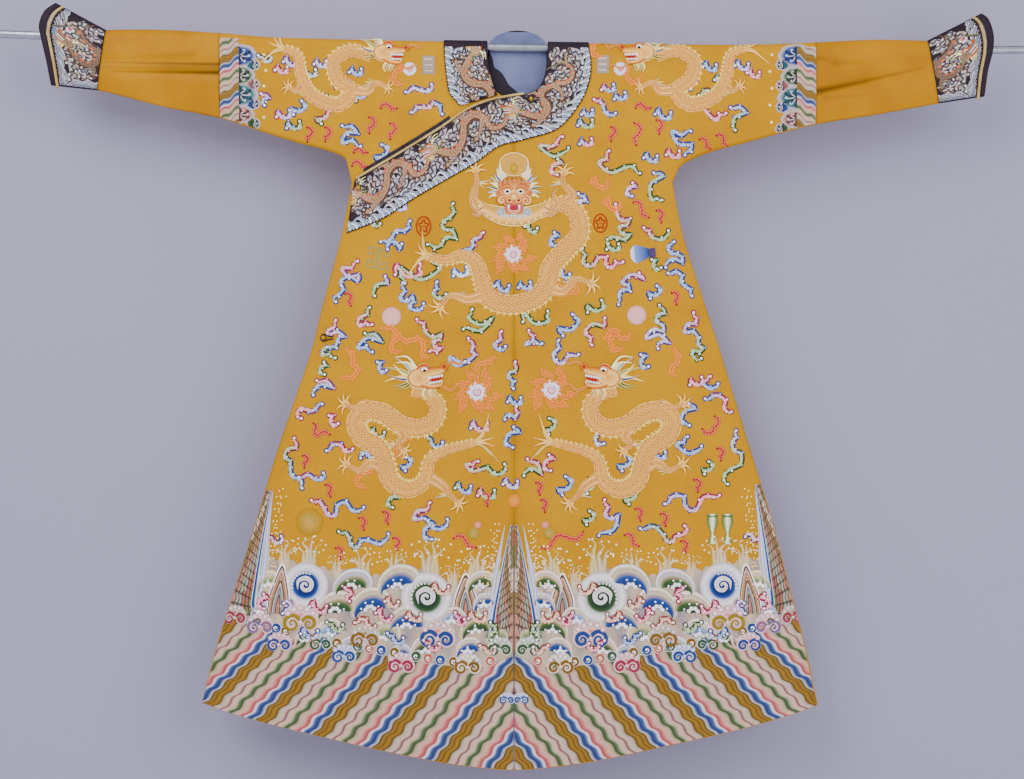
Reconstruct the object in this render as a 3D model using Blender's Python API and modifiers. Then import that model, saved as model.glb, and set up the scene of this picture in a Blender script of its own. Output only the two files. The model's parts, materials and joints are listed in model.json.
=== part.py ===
"""Chinese dragon robe hung flat on a steel rod that runs through both sleeves.

The frame is in metres: X to the viewer's right, Y away from the viewer, Z up. The origin is on
the rod's axis at the middle of the robe. The robe faces the viewer, so the wearer's left side
is at +X. Every cloth piece is an open sheet, laid out in its own outline and hung at a depth
that one function gives, with a wall from Solidify. Sheets that meet at a seam stay SEAM_GAP
apart, and what lies on a panel is made from that panel's depth, moved out.
"""

import math
from collections import namedtuple

import bmesh
import bpy
from mathutils import Vector

# ---------------------------------------------------------------- driving dimensions, metres

CLOTH_WALL = 0.0020      # silk, interlining and lining together
BAND_WALL = 0.0016       # embroidered band, laid on the panels
LINING_WALL = 0.0010
SEAM_GAP = 0.0003
SEAT_GAP = 0.0005        # under a button or its loop, where the cloth curves

ROD_RADIUS = 0.008
ROD_HALF_LENGTH = 1.06
ROD_TILT = -0.01514      # rise of the rod for each metre towards +X
ROD_BOW = 0.0112         # lift of the rod one metre from the middle, as it sags under the robe
ROD_STATIONS = 13

RESTING_RISE = ROD_RADIUS + SEAM_GAP + CLOTH_WALL / 2.0 + 0.0001
FOLD_DEPTH = 0.0115      # half the depth of the fold that lies over the rod
HEM_DEPTH = 0.0250       # half the depth of the robe at its hem
DEPTH_POWER = 0.80
EDGE_ROUND = 0.070       # width of the rounding beside the side and underarm seams
FULL_LENGTH = 1.440

ARMPIT = -0.270          # height at which the side seam and the underarm seam meet
NECK_DEPTH = 0.1035      # front neck, below the rod's axis
NECK_POWER = 2.8         # a squarer curve than a circle's
BACK_NECK_DEPTH = 0.015
NECK_HALF = {1: 0.067, -1: 0.053}

HEM_TIP = -1.4394        # lowest point of the hem, at the middle
HEM_RISE = 0.131         # rise of the hem from its tip to a side seam
HEM_HALF = 0.624
HEM_POWER = 1.42
SLIT_TOP = -0.924        # the centre seams open into slits below this height
SLIT_GAP = 0.0024

UNDERLAP_DROP = 0.0034   # the hidden front hangs this far behind the outer one
UNDERLAP_CENTRE = 0.012
UNDERLAP_LENGTH = 0.970  # share of the skirt that the hidden front reaches

BAND_LIFT = 0.0030       # from a panel's middle to the middle of the band that lies on it
PIPING_RADIUS = 0.0026
PIPING_LIFT = 0.0017
EDGE_TUCK = 0.0030       # the overlap's edge stays this far inside the band's
EDGING_WIDTH = 0.0075
EDGING_LIFT = 0.0024
CUFF_ROUND = 0.030       # rounding along the top edge at a cuff's mouth
CUFF_PIPING_RADIUS = 0.0028
CUFF_PIPING_PLACE = 0.86  # share of the way from the seam to the mouth
BUTTON_RADIUS = 0.0052
LOOP_RADIUS = 0.0014

BODY_COLUMNS = 12
SKIRT_ROWS = 12
OVERLAP_ROWS = 4
BAND_ROWS = 34

SideRow = namedtuple("SideRow", "height minus plus")
SIDE_SEAM = (            # distance of each side seam from the centre line
    SideRow(-1.320, 0.6270, 0.6080),
    SideRow(-1.190, 0.5920, 0.5800),
    SideRow(-1.052, 0.5480, 0.5430),
    SideRow(-0.942, 0.5140, 0.5150),
    SideRow(-0.804, 0.4720, 0.4720),
    SideRow(-0.598, 0.4020, 0.4090),
    SideRow(-0.534, 0.3870, 0.3880),
    SideRow(-0.374, 0.3440, 0.3370),
    SideRow(ARMPIT, 0.3235, 0.3165),
)

ArmRow = namedtuple("ArmRow", "reach height")
UNDERARM = {             # underside of each sleeve, from the armpit out to the cuff
    -1: (
        ArmRow(0.3235, ARMPIT),
        ArmRow(0.3320, -0.2280),
        ArmRow(0.3620, -0.2090),
        ArmRow(0.4390, -0.1876),
        ArmRow(0.5280, -0.1590),
        ArmRow(0.5880, -0.1400),
        ArmRow(0.6960, -0.1180),
        ArmRow(0.8320, -0.0848),
        ArmRow(0.9252, -0.0748),
    ),
    1: (
        ArmRow(0.3165, ARMPIT),
        ArmRow(0.3260, -0.2440),
        ArmRow(0.3470, -0.2270),
        ArmRow(0.3900, -0.2090),
        ArmRow(0.4560, -0.1910),
        ArmRow(0.6030, -0.1530),
        ArmRow(0.7180, -0.1340),
        ArmRow(0.8480, -0.1110),
        ArmRow(0.9400, -0.0970),
    ),
}

CrestRow = namedtuple("CrestRow", "x rise")
CREST = (                # rise of the folded cloth above the rod's axis
    CrestRow(-0.840, 0.0140),
    CrestRow(-0.720, 0.0190),
    CrestRow(-0.600, 0.0165),
    CrestRow(-0.460, RESTING_RISE),
    CrestRow(0.450, RESTING_RISE),
    CrestRow(0.603, 0.0150),
    CrestRow(0.720, 0.0205),
    CrestRow(0.850, 0.0175),
)

SEAM_X = {-1: 0.588, 1: 0.603}   # where the embroidered sleeve ends and the satin begins

FoldRow = namedtuple("FoldRow", "place height width")
FOLDS = {                # soft hanging folds: place across a half, height at the hem, width
    ("front", -1): (FoldRow(0.20, 0.0060, 0.10), FoldRow(0.52, -0.0050, 0.12),
                    FoldRow(0.80, 0.0055, 0.09)),
    ("front", 1): (FoldRow(0.24, 0.0050, 0.11), FoldRow(0.50, -0.0055, 0.10),
                   FoldRow(0.76, 0.0065, 0.11)),
    ("back", -1): (FoldRow(0.12, -0.0045, 0.10), FoldRow(0.42, 0.0065, 0.13),
                   FoldRow(0.74, -0.0050, 0.10)),
    ("back", 1): (FoldRow(0.15, -0.0040, 0.10), FoldRow(0.46, 0.0060, 0.12),
                  FoldRow(0.78, -0.0055, 0.11)),
}

CreaseRow = namedtuple("CreaseRow", "x0 z0 x1 z1 depth width")
CREASES = {              # pressed creases of the satin sleeves
    ("front", -1): (CreaseRow(-0.600, -0.030, -0.810, -0.028, 0.0030, 0.009),
                    CreaseRow(-0.596, -0.055, -0.800, -0.050, 0.0022, 0.008)),
    ("front", 1): (CreaseRow(0.612, -0.086, 0.700, -0.066, 0.0030, 0.010),
                   CreaseRow(0.700, -0.066, 0.800, -0.047, 0.0026, 0.010)),
    ("back", -1): (CreaseRow(-0.600, -0.046, -0.800, -0.040, 0.0026, 0.010),),
    ("back", 1): (CreaseRow(0.612, -0.060, 0.830, -0.050, 0.0028, 0.010),),
}

BandRow = namedtuple("BandRow", "inner_x inner_z outer_x outer_z")
FRONT_BAND = (           # from the +X shoulder, round the neck, along the overlap to the side
    BandRow(0.067, 0.000, 0.149, 0.000),
    BandRow(0.065, -0.032, 0.154, -0.030),
    BandRow(0.060, -0.060, 0.151, -0.068),
    BandRow(0.047, -0.084, 0.131, -0.115),
    BandRow(0.024, -0.095, 0.088, -0.164),
    BandRow(-0.010, -0.101, 0.022, -0.186),
    BandRow(-0.052, -0.110, -0.030, -0.200),
    BandRow(-0.094, -0.128, -0.075, -0.232),
    BandRow(-0.146, -0.164, -0.120, -0.258),
    BandRow(-0.220, -0.210, -0.196, -0.302),
    BandRow(-0.276, -0.243, -0.262, -0.344),
    BandRow(-0.318, -0.266, -0.334, -0.372),
)
NECK_BAND = (            # on the -X shoulder, from the rod down to the overlap's edge
    BandRow(-0.053, 0.000, -0.140, 0.000),
    BandRow(-0.051, -0.030, -0.138, -0.034),
    BandRow(-0.047, -0.055, -0.134, -0.068),
    BandRow(-0.041, -0.075, -0.128, -0.094),
    BandRow(-0.033, -0.096, -0.108, -0.118),
)
NapeRow = namedtuple("NapeRow", "x low")
BACK_BAND = (            # lower edge of the band behind the neck, shoulder to shoulder
    NapeRow(-0.140, -0.0060),
    NapeRow(-0.118, -0.0230),
    NapeRow(-0.064, -0.0420),
    NapeRow(0.007, -0.0500),
    NapeRow(0.078, -0.0420),
    NapeRow(0.130, -0.0230),
    NapeRow(0.149, -0.0060),
)
NAPE_RISE = 0.0370       # the band stands this far above the rod's axis at the nape
NAPE_MIDDLE = 0.0070
NAPE_HALF = 0.0590

MouthRow = namedtuple("MouthRow", "share x z")
CUFF_MOUTH = {           # outer edge of each hoof-shaped cuff, from its upper tip down
    -1: (MouthRow(0.00, -0.916, 0.0890), MouthRow(0.14, -0.936, 0.0720),
         MouthRow(0.32, -0.947, 0.0440), MouthRow(0.46, -0.944, 0.0220),
         MouthRow(0.72, -0.933, -0.0260), MouthRow(1.00, -0.925, -0.0748)),
    1: (MouthRow(0.00, 0.934, 0.0680), MouthRow(0.14, 0.946, 0.0560),
        MouthRow(0.32, 0.956, 0.0240), MouthRow(0.46, 0.955, -0.0060),
        MouthRow(0.72, 0.945, -0.0480), MouthRow(1.00, 0.940, -0.0970)),
}
CUFF_SEAM = {            # straight seam between the satin and the cuff
    -1: (MouthRow(0.00, -0.814, 0.0340), MouthRow(1.00, -0.832, -0.0848)),
    1: (MouthRow(0.00, 0.825, 0.0130), MouthRow(1.00, 0.848, -0.1110)),
}

ClosureRow = namedtuple("ClosureRow", "name x z layer")
CLOSURES = (             # where each ball button sits, and the sheet it is sewn to
    ClosureRow("neck", 0.034, -0.1050, "band"),
    ClosureRow("underarm", -0.308, -0.2820, "band"),
    ClosureRow("side", -0.378, -0.5800, "panel"),
)

FRONT_UPPER = (1.0, 0.85, 0.70, 0.57, 0.46, 0.384, 0.369, 0.336, 0.275, 0.187, 0.088, 0.0)
BACK_UPPER = (0.0, 0.030, 0.048, 0.056, 0.16, 0.34, 0.56, 0.78, 1.0)
FOLD_ANGLES = (67.5, 45.0, 22.5, 0.0, -22.5, -45.0, -67.5)
SATIN_FRONT = (1.0, 0.86, 0.72, 0.60, 0.50, 0.44, 0.38, 0.32, 0.26, 0.20, 0.14, 0.07, 0.0)
SATIN_BACK = (0.0, 0.12, 0.22, 0.30, 0.38, 0.46, 0.56, 0.70, 0.85, 1.0)

ROBE_YELLOW = (0.722, 0.381, 0.030)
SATIN_YELLOW = (0.658, 0.343, 0.022)
BAND_INK = (0.028, 0.020, 0.036)
PIPING_TAN = (0.604, 0.452, 0.238)
LINING_GREY = (0.362, 0.392, 0.526)
GILT = (0.600, 0.420, 0.160)
STEEL = (0.480, 0.480, 0.490)


# ---------------------------------------------------------------- reading the tables

def smooth_read(table, key, column, value):
    """Reads a column of a table at a value of its key, on a smooth curve through the rows."""
    rows = sorted(table, key=lambda row: getattr(row, key))
    keys = [getattr(row, key) for row in rows]
    column_values = [getattr(row, column) for row in rows]
    value = min(max(value, keys[0]), keys[-1])
    here = max(i for i in range(len(keys) - 1) if keys[i] <= value or i == 0)

    def slope(i):
        low = max(i - 1, 0)
        high = min(i + 1, len(keys) - 1)
        return (column_values[high] - column_values[low]) / (keys[high] - keys[low])

    span = keys[here + 1] - keys[here]
    t = (value - keys[here]) / span
    rise = column_values[here + 1] - column_values[here]
    start, end = slope(here) * span, slope(here + 1) * span
    return (column_values[here] + start * t + (3.0 * rise - 2.0 * start - end) * t * t
            + (start + end - 2.0 * rise) * t * t * t)


def rod_height(x):
    """Height of the rod's axis."""
    return ROD_TILT * x + ROD_BOW * x * x


def crest_rise(x):
    """Rise of the folded cloth's middle above the rod's axis."""
    return max(smooth_read(CREST, "x", "rise", x), RESTING_RISE)


def side_reach(side, height):
    """Distance of a side seam from the centre line at a height."""
    return smooth_read(SIDE_SEAM, "height", "plus" if side > 0 else "minus", height)


def underarm_height(side, reach):
    """Height of a sleeve's underside at a distance from the centre line."""
    return smooth_read(UNDERARM[side], "reach", "height", reach)


def hem_height(x):
    """Height of the curved hem."""
    return HEM_TIP + HEM_RISE * (abs(x) / HEM_HALF) ** HEM_POWER


def seam_half(height):
    """Half the gap at the centre seams, which open into slits near the hem."""
    opened = min(max((SLIT_TOP - height) / 0.12, 0.0), 1.0)
    return (SEAM_GAP + (SLIT_GAP - SEAM_GAP) * opened) / 2.0


# ---------------------------------------------------------------- how the cloth hangs

def outline(side):
    """Plan points of a half's closed edge: the sleeve's underside, then the side seam."""
    sleeve = [(side * row.reach, row.height) for row in reversed(UNDERARM[side])]
    column = "plus" if side > 0 else "minus"
    seam = [(side * getattr(row, column), row.height) for row in reversed(SIDE_SEAM)]
    return sleeve + seam[1:]


OUTLINES = {side: outline(side) for side in (-1, 1)}


def distance_to_segment(x, z, x0, z0, x1, z1):
    """Distance in plan from a point to a straight run."""
    run_x, run_z = x1 - x0, z1 - z0
    share = ((x - x0) * run_x + (z - z0) * run_z) / (run_x * run_x + run_z * run_z)
    share = min(max(share, 0.0), 1.0)
    return math.hypot(x - x0 - share * run_x, z - z0 - share * run_z)


def edge_distance(x, z):
    """Distance in plan to the nearest side or underarm seam."""
    points = OUTLINES[1 if x > 0 else -1]
    return min(distance_to_segment(x, z, *a, *b) for a, b in zip(points, points[1:]))


def fold_height(face, side, x, z):
    """Depth that the hanging folds add, growing from the armpit to the hem."""
    if z > ARMPIT:
        return 0.0
    growth = ((ARMPIT - z) / (ARMPIT - HEM_TIP)) ** 1.3
    place = abs(x) / side_reach(side, z)
    return growth * sum(row.height * math.exp(-(((place - row.place) / row.width) ** 2))
                        for row in FOLDS[(face, side)])


def crease_depth(face, side, x, z):
    """Depth that the satin's pressed creases take away."""
    return sum(row.depth * math.exp(-((distance_to_segment(
        x, z, row.x0, row.z0, row.x1, row.z1) / row.width) ** 2))
        for row in CREASES[(face, side)])


def panel_depth(face, x, z, layer=0):
    """Distance from the robe's middle plane to the middle of a panel.

    layer 0 is the panel itself, 1 the outer front that closes over it, and -1 the hidden front
    under that one.
    """
    side = 1 if x > 0 else -1
    drop = max(rod_height(x) - z, 0.0)
    full = FOLD_DEPTH + (HEM_DEPTH - FOLD_DEPTH) * (drop / FULL_LENGTH) ** DEPTH_POWER
    full += fold_height(face, side, x, z) - crease_depth(face, side, x, z)
    if layer < 0:
        full -= UNDERLAP_DROP * min(drop / 0.05, 1.0)
    seam = (CLOTH_WALL + SEAM_GAP) / 2.0
    if layer > 0:
        seam += CLOTH_WALL + SEAM_GAP
    near = min(edge_distance(x, z) / EDGE_ROUND, 1.0)
    return seam + (full - seam) * (1.0 - (1.0 - near) ** 2)


def hung(face, x, z, layer=0, lift=0.0):
    """A point of a hanging sheet, moved out by lift."""
    depth = panel_depth(face, x, z, layer) + lift
    return Vector((x, -depth if face == "front" else depth, z))


def folded(x, angle, lift=0.0):
    """A point of the fold over the rod; 90 degrees is its front and -90 its back."""
    turn = math.radians(angle)
    y = -(FOLD_DEPTH + lift) * math.sin(turn)
    return Vector((x, y, rod_height(x) + (crest_rise(x) + lift) * math.cos(turn)))


# ---------------------------------------------------------------- meshes and materials

def finish(name, colour, roughness, metallic=0.0):
    """A Principled material for one sub-part."""
    material = bpy.data.materials.new(name)
    material.use_nodes = True
    shader = material.node_tree.nodes["Principled BSDF"]
    shader.inputs["Base Color"].default_value = (*colour, 1.0)
    shader.inputs["Roughness"].default_value = roughness
    shader.inputs["Metallic"].default_value = metallic
    return material


def add_object(name, data, material):
    """Puts a mesh or curve in the robe's collection, with its own material."""
    data.materials.append(material)
    made = bpy.data.objects.new(name, data)
    bpy.data.collections[COLLECTION].objects.link(made)
    return made


def sheet(name, rows, wall, material):
    """A cloth sheet through rows of points, which may differ in length at their far end."""
    shape = bmesh.new()
    grid = [[shape.verts.new(point) for point in row] for row in rows]
    for low, high in zip(grid, grid[1:]):
        for j in range(min(len(low), len(high)) - 1):
            shape.faces.new((low[j], low[j + 1], high[j + 1], high[j]))
    mesh = bpy.data.meshes.new(name)
    shape.to_mesh(mesh)
    shape.free()
    mesh.shade_smooth()
    made = add_object(name, mesh, material)
    thick = made.modifiers.new("wall", "SOLIDIFY")
    thick.thickness = wall
    thick.offset = 0.0
    thick.use_even_offset = True
    return made


def cord(name, points, radius, material, closed=False):
    """A round cord along points."""
    curve = bpy.data.curves.new(name, "CURVE")
    curve.dimensions = "3D"
    curve.bevel_depth = radius
    curve.bevel_resolution = 2
    curve.use_fill_caps = True
    spline = curve.splines.new("POLY")
    spline.points.add(len(points) - 1)
    for slot, point in zip(spline.points, points):
        slot.co = (*point, 1.0)
    spline.use_cyclic_u = closed
    return add_object(name, curve, material)


# ---------------------------------------------------------------- the main silk

def body_columns():
    """Shares of a half's width, closer together towards the side seam."""
    return [1.0 - (1.0 - j / BODY_COLUMNS) ** 1.3 for j in range(BODY_COLUMNS + 1)]


def skirt_plan(side, share, drop_share, centre=0.0):
    """Plan place in the skirt: share across from the centre line, drop_share down to the hem."""
    corner = side_reach(side, SIDE_SEAM[0].height)
    edge_height = ARMPIT + (hem_height(corner) - ARMPIT) * drop_share
    height = ARMPIT + (hem_height(corner * share) - ARMPIT) * drop_share
    inner = centre + seam_half(height)
    return side * (inner + (side_reach(side, edge_height) - inner) * share), height


def neck_reach(side, down, neck_down, centre=0.0):
    """Distance from the centre line to the inner edge, at a share of the way to the armpit."""
    if down >= neck_down:
        return centre + seam_half(0.0)
    open_share = (1.0 - (down / neck_down) ** NECK_POWER) ** (1.0 / NECK_POWER)
    return max(NECK_HALF[side] * open_share, centre + seam_half(0.0))


def sleeve_reaches(side):
    """Columns of the embroidered sleeve beyond the armpit."""
    return [row.reach for row in UNDERARM[side][1:] if row.reach < SEAM_X[side]] + [SEAM_X[side]]


def upper_row(side, face, down, layer=0, centre=0.0):
    """A row of the body above the armpit, run out along the sleeve to its seam."""
    neck_down = (NECK_DEPTH if face == "front" else BACK_NECK_DEPTH) / -ARMPIT
    inner = neck_reach(side, down, neck_down, centre)
    armpit_x = side_reach(side, ARMPIT)
    reaches = [inner + (armpit_x - inner) * share for share in body_columns()]
    lows = [ARMPIT] * len(reaches)
    reaches += sleeve_reaches(side)
    lows += [underarm_height(side, reach) for reach in sleeve_reaches(side)]
    row = []
    for reach, low in zip(reaches, lows):
        x = side * (reach - SEAM_GAP / 2.0 if reach == SEAM_X[side] else reach)
        top = rod_height(x)
        row.append(hung(face, x, top + (low - top) * down, layer))
    return row


def fold_row(side, angle):
    """A row of the fold over the rod, from the neck to the sleeve's seam."""
    inner = NECK_HALF[side]
    armpit_x = side_reach(side, ARMPIT)
    reaches = [inner + (armpit_x - inner) * share for share in body_columns()]
    reaches += sleeve_reaches(side)[:-1] + [SEAM_X[side] - SEAM_GAP / 2.0]
    return [folded(side * reach, angle) for reach in reaches]


def skirt_rows(side, face, layer=0, centre=0.0, length=1.0):
    """Rows of the skirt, from just below the armpit down to the hem."""
    rows = []
    for i in range(1, SKIRT_ROWS + 1):
        places = [skirt_plan(side, share, length * i / SKIRT_ROWS, centre)
                  for share in body_columns()]
        rows.append([hung(face, x, z, layer) for x, z in places])
    return rows


def build_body(name, side, material):
    """One length of silk: front, shoulder and back of a half, with its embroidered sleeve."""
    hidden_front = side < 0
    layer = -1 if hidden_front else 0
    centre = UNDERLAP_CENTRE if hidden_front else 0.0
    length = UNDERLAP_LENGTH if hidden_front else 1.0
    rows = list(reversed(skirt_rows(side, "front", layer, centre, length)))
    rows += [upper_row(side, "front", down, layer, centre) for down in FRONT_UPPER]
    rows += [fold_row(side, angle) for angle in FOLD_ANGLES]
    rows += [upper_row(side, "back", down) for down in BACK_UPPER]
    rows += skirt_rows(side, "back")
    return sheet(name, rows, CLOTH_WALL, material)


def overlap_edge(x):
    """Height of the overlap's slanting upper edge, where the band's inner edge runs."""
    rows = [row for row in FRONT_BAND if row.inner_x < 0.03]
    return smooth_read(rows, "inner_x", "inner_z", x) - EDGE_TUCK


def build_overlap(material):
    """The outer front that closes over the wearer's right side."""
    rows = []
    for i in range(OVERLAP_ROWS, 0, -1):
        row = []
        for share in body_columns():
            x, low = skirt_plan(-1, share, 0.0)
            x = max(x, -0.3200) if share == 1.0 else x
            height = low + (overlap_edge(x) - low) * i / OVERLAP_ROWS
            row.append(hung("front", x, height, 1))
        rows.append(row)
    places = [skirt_plan(-1, share, 0.0) for share in body_columns()]
    rows.append([hung("front", x, z, 1) for x, z in places])
    rows += skirt_rows(-1, "front", 1)
    return sheet("front_overlap", rows, CLOTH_WALL, material)


# ---------------------------------------------------------------- sleeves and cuffs

def build_satin(name, side, material):
    """The plain satin length of a sleeve, folded over the rod with its seam underneath."""
    columns = 7
    top_end, low_end = CUFF_SEAM[side]

    def reach_at(share, height):
        start = SEAM_X[side] + SEAM_GAP / 2.0
        down = (top_end.z - height) / (top_end.z - low_end.z)
        end = abs(top_end.x) + (abs(low_end.x) - abs(top_end.x)) * down - SEAM_GAP / 2.0
        return side * (start + (end - start) * share)

    shares = [j / columns for j in range(columns + 1)]

    def hung_row(face, down):
        row = []
        for share in shares:
            rough = reach_at(share, top_end.z + (low_end.z - top_end.z) * down)
            top = rod_height(rough)
            height = top + (underarm_height(side, abs(rough)) - top) * down
            row.append(hung(face, reach_at(share, height), height))
        return row

    def fold_over(angle):
        row = []
        for share in shares:
            rough = folded(reach_at(share, top_end.z), angle)
            row.append(folded(reach_at(share, rough.z), angle))
        return row

    rows = [hung_row("front", down) for down in SATIN_FRONT]
    rows += [fold_over(angle) for angle in FOLD_ANGLES]
    rows += [hung_row("back", down) for down in SATIN_BACK]
    return sheet(name, rows, CLOTH_WALL, material)


def cuff_point(side, share, down, face, lift=0.0, seam_extra=0.0):
    """A point of a cuff: share out from its seam to its mouth, down from its top edge."""
    plan = []
    for column in ("x", "z"):
        start = smooth_read(CUFF_SEAM[side], "share", column, down)
        end = smooth_read(CUFF_MOUTH[side], "share", column, down)
        plan.append(start + (end - start) * share)
    x, z = plan
    tops = (smooth_read(CUFF_SEAM[side], "share", "z", 0.0),
            smooth_read(CUFF_MOUTH[side], "share", "z", 0.0))
    lows = (smooth_read(CUFF_SEAM[side], "share", "z", 1.0),
            smooth_read(CUFF_MOUTH[side], "share", "z", 1.0))
    top = tops[0] + (tops[1] - tops[0]) * share
    low = lows[0] + (lows[1] - lows[0]) * share
    seam = (CLOTH_WALL + SEAM_GAP) / 2.0 + seam_extra
    rounding = crest_rise(x) + (CUFF_ROUND - crest_rise(x)) * share
    near_top = min(max((top - z) / rounding, 0.0), 1.0)
    near_low = min(max((z - low) / EDGE_ROUND, 0.0), 1.0)
    depth = FOLD_DEPTH * math.sqrt(1.0 - (1.0 - near_top) ** 2)
    depth = min(depth, seam + (FOLD_DEPTH - seam) * (1.0 - (1.0 - near_low) ** 2)) + lift
    return Vector((x, -depth if face == "front" else depth, z))


def cuff_downs():
    """Shares down a cuff, close together where its top edge is rounded."""
    return (0.003, 0.014, 0.035, 0.068, 0.11, 0.17, 0.25, 0.36, 0.48, 0.61, 0.74, 0.87, 1.0)


def cuff_rows(side, first, last, steps):
    """Rows round a cuff, from its seam underneath in front, over the top, to the seam behind."""
    shares = [first + (last - first) * j / steps for j in range(steps + 1)]
    rows = [[cuff_point(side, share, down, "front") for share in shares]
            for down in reversed(cuff_downs())]
    top = [cuff_point(side, share, 0.0, "front") for share in shares]
    rows.append([Vector((point.x, 0.0, point.z)) for point in top])
    rows += [[cuff_point(side, share, down, "back") for share in shares]
             for down in cuff_downs()]
    return rows


def build_cuff(prefix, side, cloth, piping):
    """A stiff hoof-shaped cuff: its field, the piping, and the edging strip at its mouth."""
    length = 0.086
    gap_share = (CUFF_PIPING_RADIUS + SEAM_GAP) / length
    seam_share = SEAM_GAP / length
    sheet(prefix, cuff_rows(side, seam_share, CUFF_PIPING_PLACE - gap_share, 5),
          CLOTH_WALL, cloth)
    sheet(prefix + "_edging", cuff_rows(side, CUFF_PIPING_PLACE + gap_share, 1.0, 1),
          CLOTH_WALL, cloth)
    ring = []
    for down in reversed(cuff_downs()[2:]):
        ring.append(cuff_point(side, CUFF_PIPING_PLACE, down, "front", 0.0, 0.0024))
    top = cuff_point(side, CUFF_PIPING_PLACE, 0.0, "front")
    ring.append(Vector((top.x, 0.0, top.z)))
    for down in cuff_downs()[2:]:
        ring.append(cuff_point(side, CUFF_PIPING_PLACE, down, "back", 0.0, 0.0024))
    low = cuff_point(side, CUFF_PIPING_PLACE, 1.0, "front")
    ring.append(Vector((low.x, 0.0, low.z - 0.0030)))
    cord(prefix + "_piping", ring, CUFF_PIPING_RADIUS, piping, closed=True)


# ---------------------------------------------------------------- band, piping and lining

def band_place(table, along, across):
    """Plan place in a band: along its length, across from its inner to its outer edge."""
    spot = along * (len(table) - 1)
    numbered = [NumberedRow(i, *row) for i, row in enumerate(table)]
    inner_x = smooth_read(numbered, "number", "inner_x", spot)
    inner_z = smooth_read(numbered, "number", "inner_z", spot)
    outer_x = smooth_read(numbered, "number", "outer_x", spot)
    outer_z = smooth_read(numbered, "number", "outer_z", spot)
    return inner_x + (outer_x - inner_x) * across, inner_z + (outer_z - inner_z) * across


NumberedRow = namedtuple("NumberedRow", ("number",) + BandRow._fields)
BAND_ACROSS = (0.0, 0.25, 0.5, 0.75, 1.0)


def shoulder_rows(row, lift):
    """Rows of a band where it folds over the rod, from the back to the front."""
    rows = []
    for angle in reversed(FOLD_ANGLES + (-90.0,)):
        rows.append([folded(row.inner_x + (row.outer_x - row.inner_x) * across, angle, lift)
                     for across in BAND_ACROSS])
    return rows


def band_layer(x):
    """The overlap is the outer front left of the centre line, the body's own front right."""
    return 1 if x < 0.0 else 0


def build_front_band(material):
    """The band over the wearer's left shoulder, round the neck and down the overlap's edge."""
    rows = shoulder_rows(FRONT_BAND[0], BAND_LIFT)
    for i in range(BAND_ROWS + 1):
        row = []
        for across in BAND_ACROSS:
            x, z = band_place(FRONT_BAND, i / BAND_ROWS, across)
            z = min(z, rod_height(x)) if i == 0 else z
            row.append(hung("front", x, z, band_layer(x), BAND_LIFT))
        rows.append(row)
    return sheet("collar_band_front", rows, BAND_WALL, material)


def build_neck_band(material):
    """The band on the wearer's right shoulder, which ends at the overlap's edge."""
    rows = shoulder_rows(NECK_BAND[0], BAND_LIFT)
    steps = 9
    for i in range(steps + 1):
        row = []
        for across in BAND_ACROSS:
            x, z = band_place(NECK_BAND, i / steps, across)
            z = min(z, rod_height(x)) if i == 0 else z
            row.append(hung("front", x, z, -1, BAND_LIFT))
        rows.append(row)
    return sheet("collar_band_shoulder", rows, BAND_WALL, material)


def standing(face, x, z, lift):
    """A point of a sheet that hangs below the rod and stands straight up above it."""
    below = min(z, rod_height(x))
    point = hung(face, x, below, 0, lift)
    return Vector((x, point.y, z))


def nape_top(x):
    """Upper edge of the band behind the neck, which stands up between the shoulders."""
    reach = abs(x - NAPE_MIDDLE) / NAPE_HALF
    shoulder = rod_height(x) - SEAM_GAP
    if reach >= 1.0:
        return shoulder
    return shoulder + (NAPE_RISE - shoulder) * math.sqrt(1.0 - reach * reach)


def build_back_band(material):
    """The band behind the neck, which stands above the rod at the nape."""
    shares = [1.0, 0.995, 0.96, 0.86, 0.66, 0.36, 0.0]
    columns = [NAPE_MIDDLE - NAPE_HALF * share for share in shares]
    columns += [NAPE_MIDDLE + NAPE_HALF * share for share in reversed(shares[:-1])]
    left = [BACK_BAND[0].x, BACK_BAND[0].x * 0.84, BACK_BAND[0].x * 0.60]
    right = [BACK_BAND[-1].x * 0.63, BACK_BAND[-1].x * 0.84, BACK_BAND[-1].x]
    rows = []
    for x in left + columns + right:
        low = smooth_read(BACK_BAND, "x", "low", x)
        top = nape_top(x)
        rows.append([standing("back", x, low + (top - low) * share, BAND_LIFT)
                     for share in BAND_ACROSS])
    return sheet("collar_band_back", rows, BAND_WALL, material)


def edge_line(start, end, steps, offset):
    """Plan points beside the front band's inner edge, offset towards the shoulder."""
    points = []
    for i in range(steps + 1):
        along = start + (end - start) * i / steps
        x, z = band_place(FRONT_BAND, along, 0.0)
        outer_x, outer_z = band_place(FRONT_BAND, along, 1.0)
        width = math.hypot(outer_x - x, outer_z - z)
        points.append((x + (x - outer_x) / width * offset, z + (z - outer_z) / width * offset))
    return points


def build_piping(material):
    """Piping along the overlap's slanting edge, from the neck button to the side."""
    places = edge_line(0.37, 0.992, 30, PIPING_RADIUS + SEAM_GAP)
    points = [hung("front", x, z, band_layer(x), PIPING_LIFT) for x, z in places]
    return cord("band_piping", points, PIPING_RADIUS, material)


def build_edging(material):
    """The narrow embroidered edging beyond the piping, which lies on the hidden front."""
    start = 2.0 * PIPING_RADIUS + 2.0 * SEAM_GAP
    rows = []
    lines = [edge_line(0.695, 0.960, 20, start + EDGING_WIDTH * k) for k in (0.0, 1.0)]
    for near, far in zip(*lines):
        rows.append([hung("front", x, z, -1, EDGING_LIFT) for x, z in (near, far)])
    return sheet("band_edging", rows, LINING_WALL, material)


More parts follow.
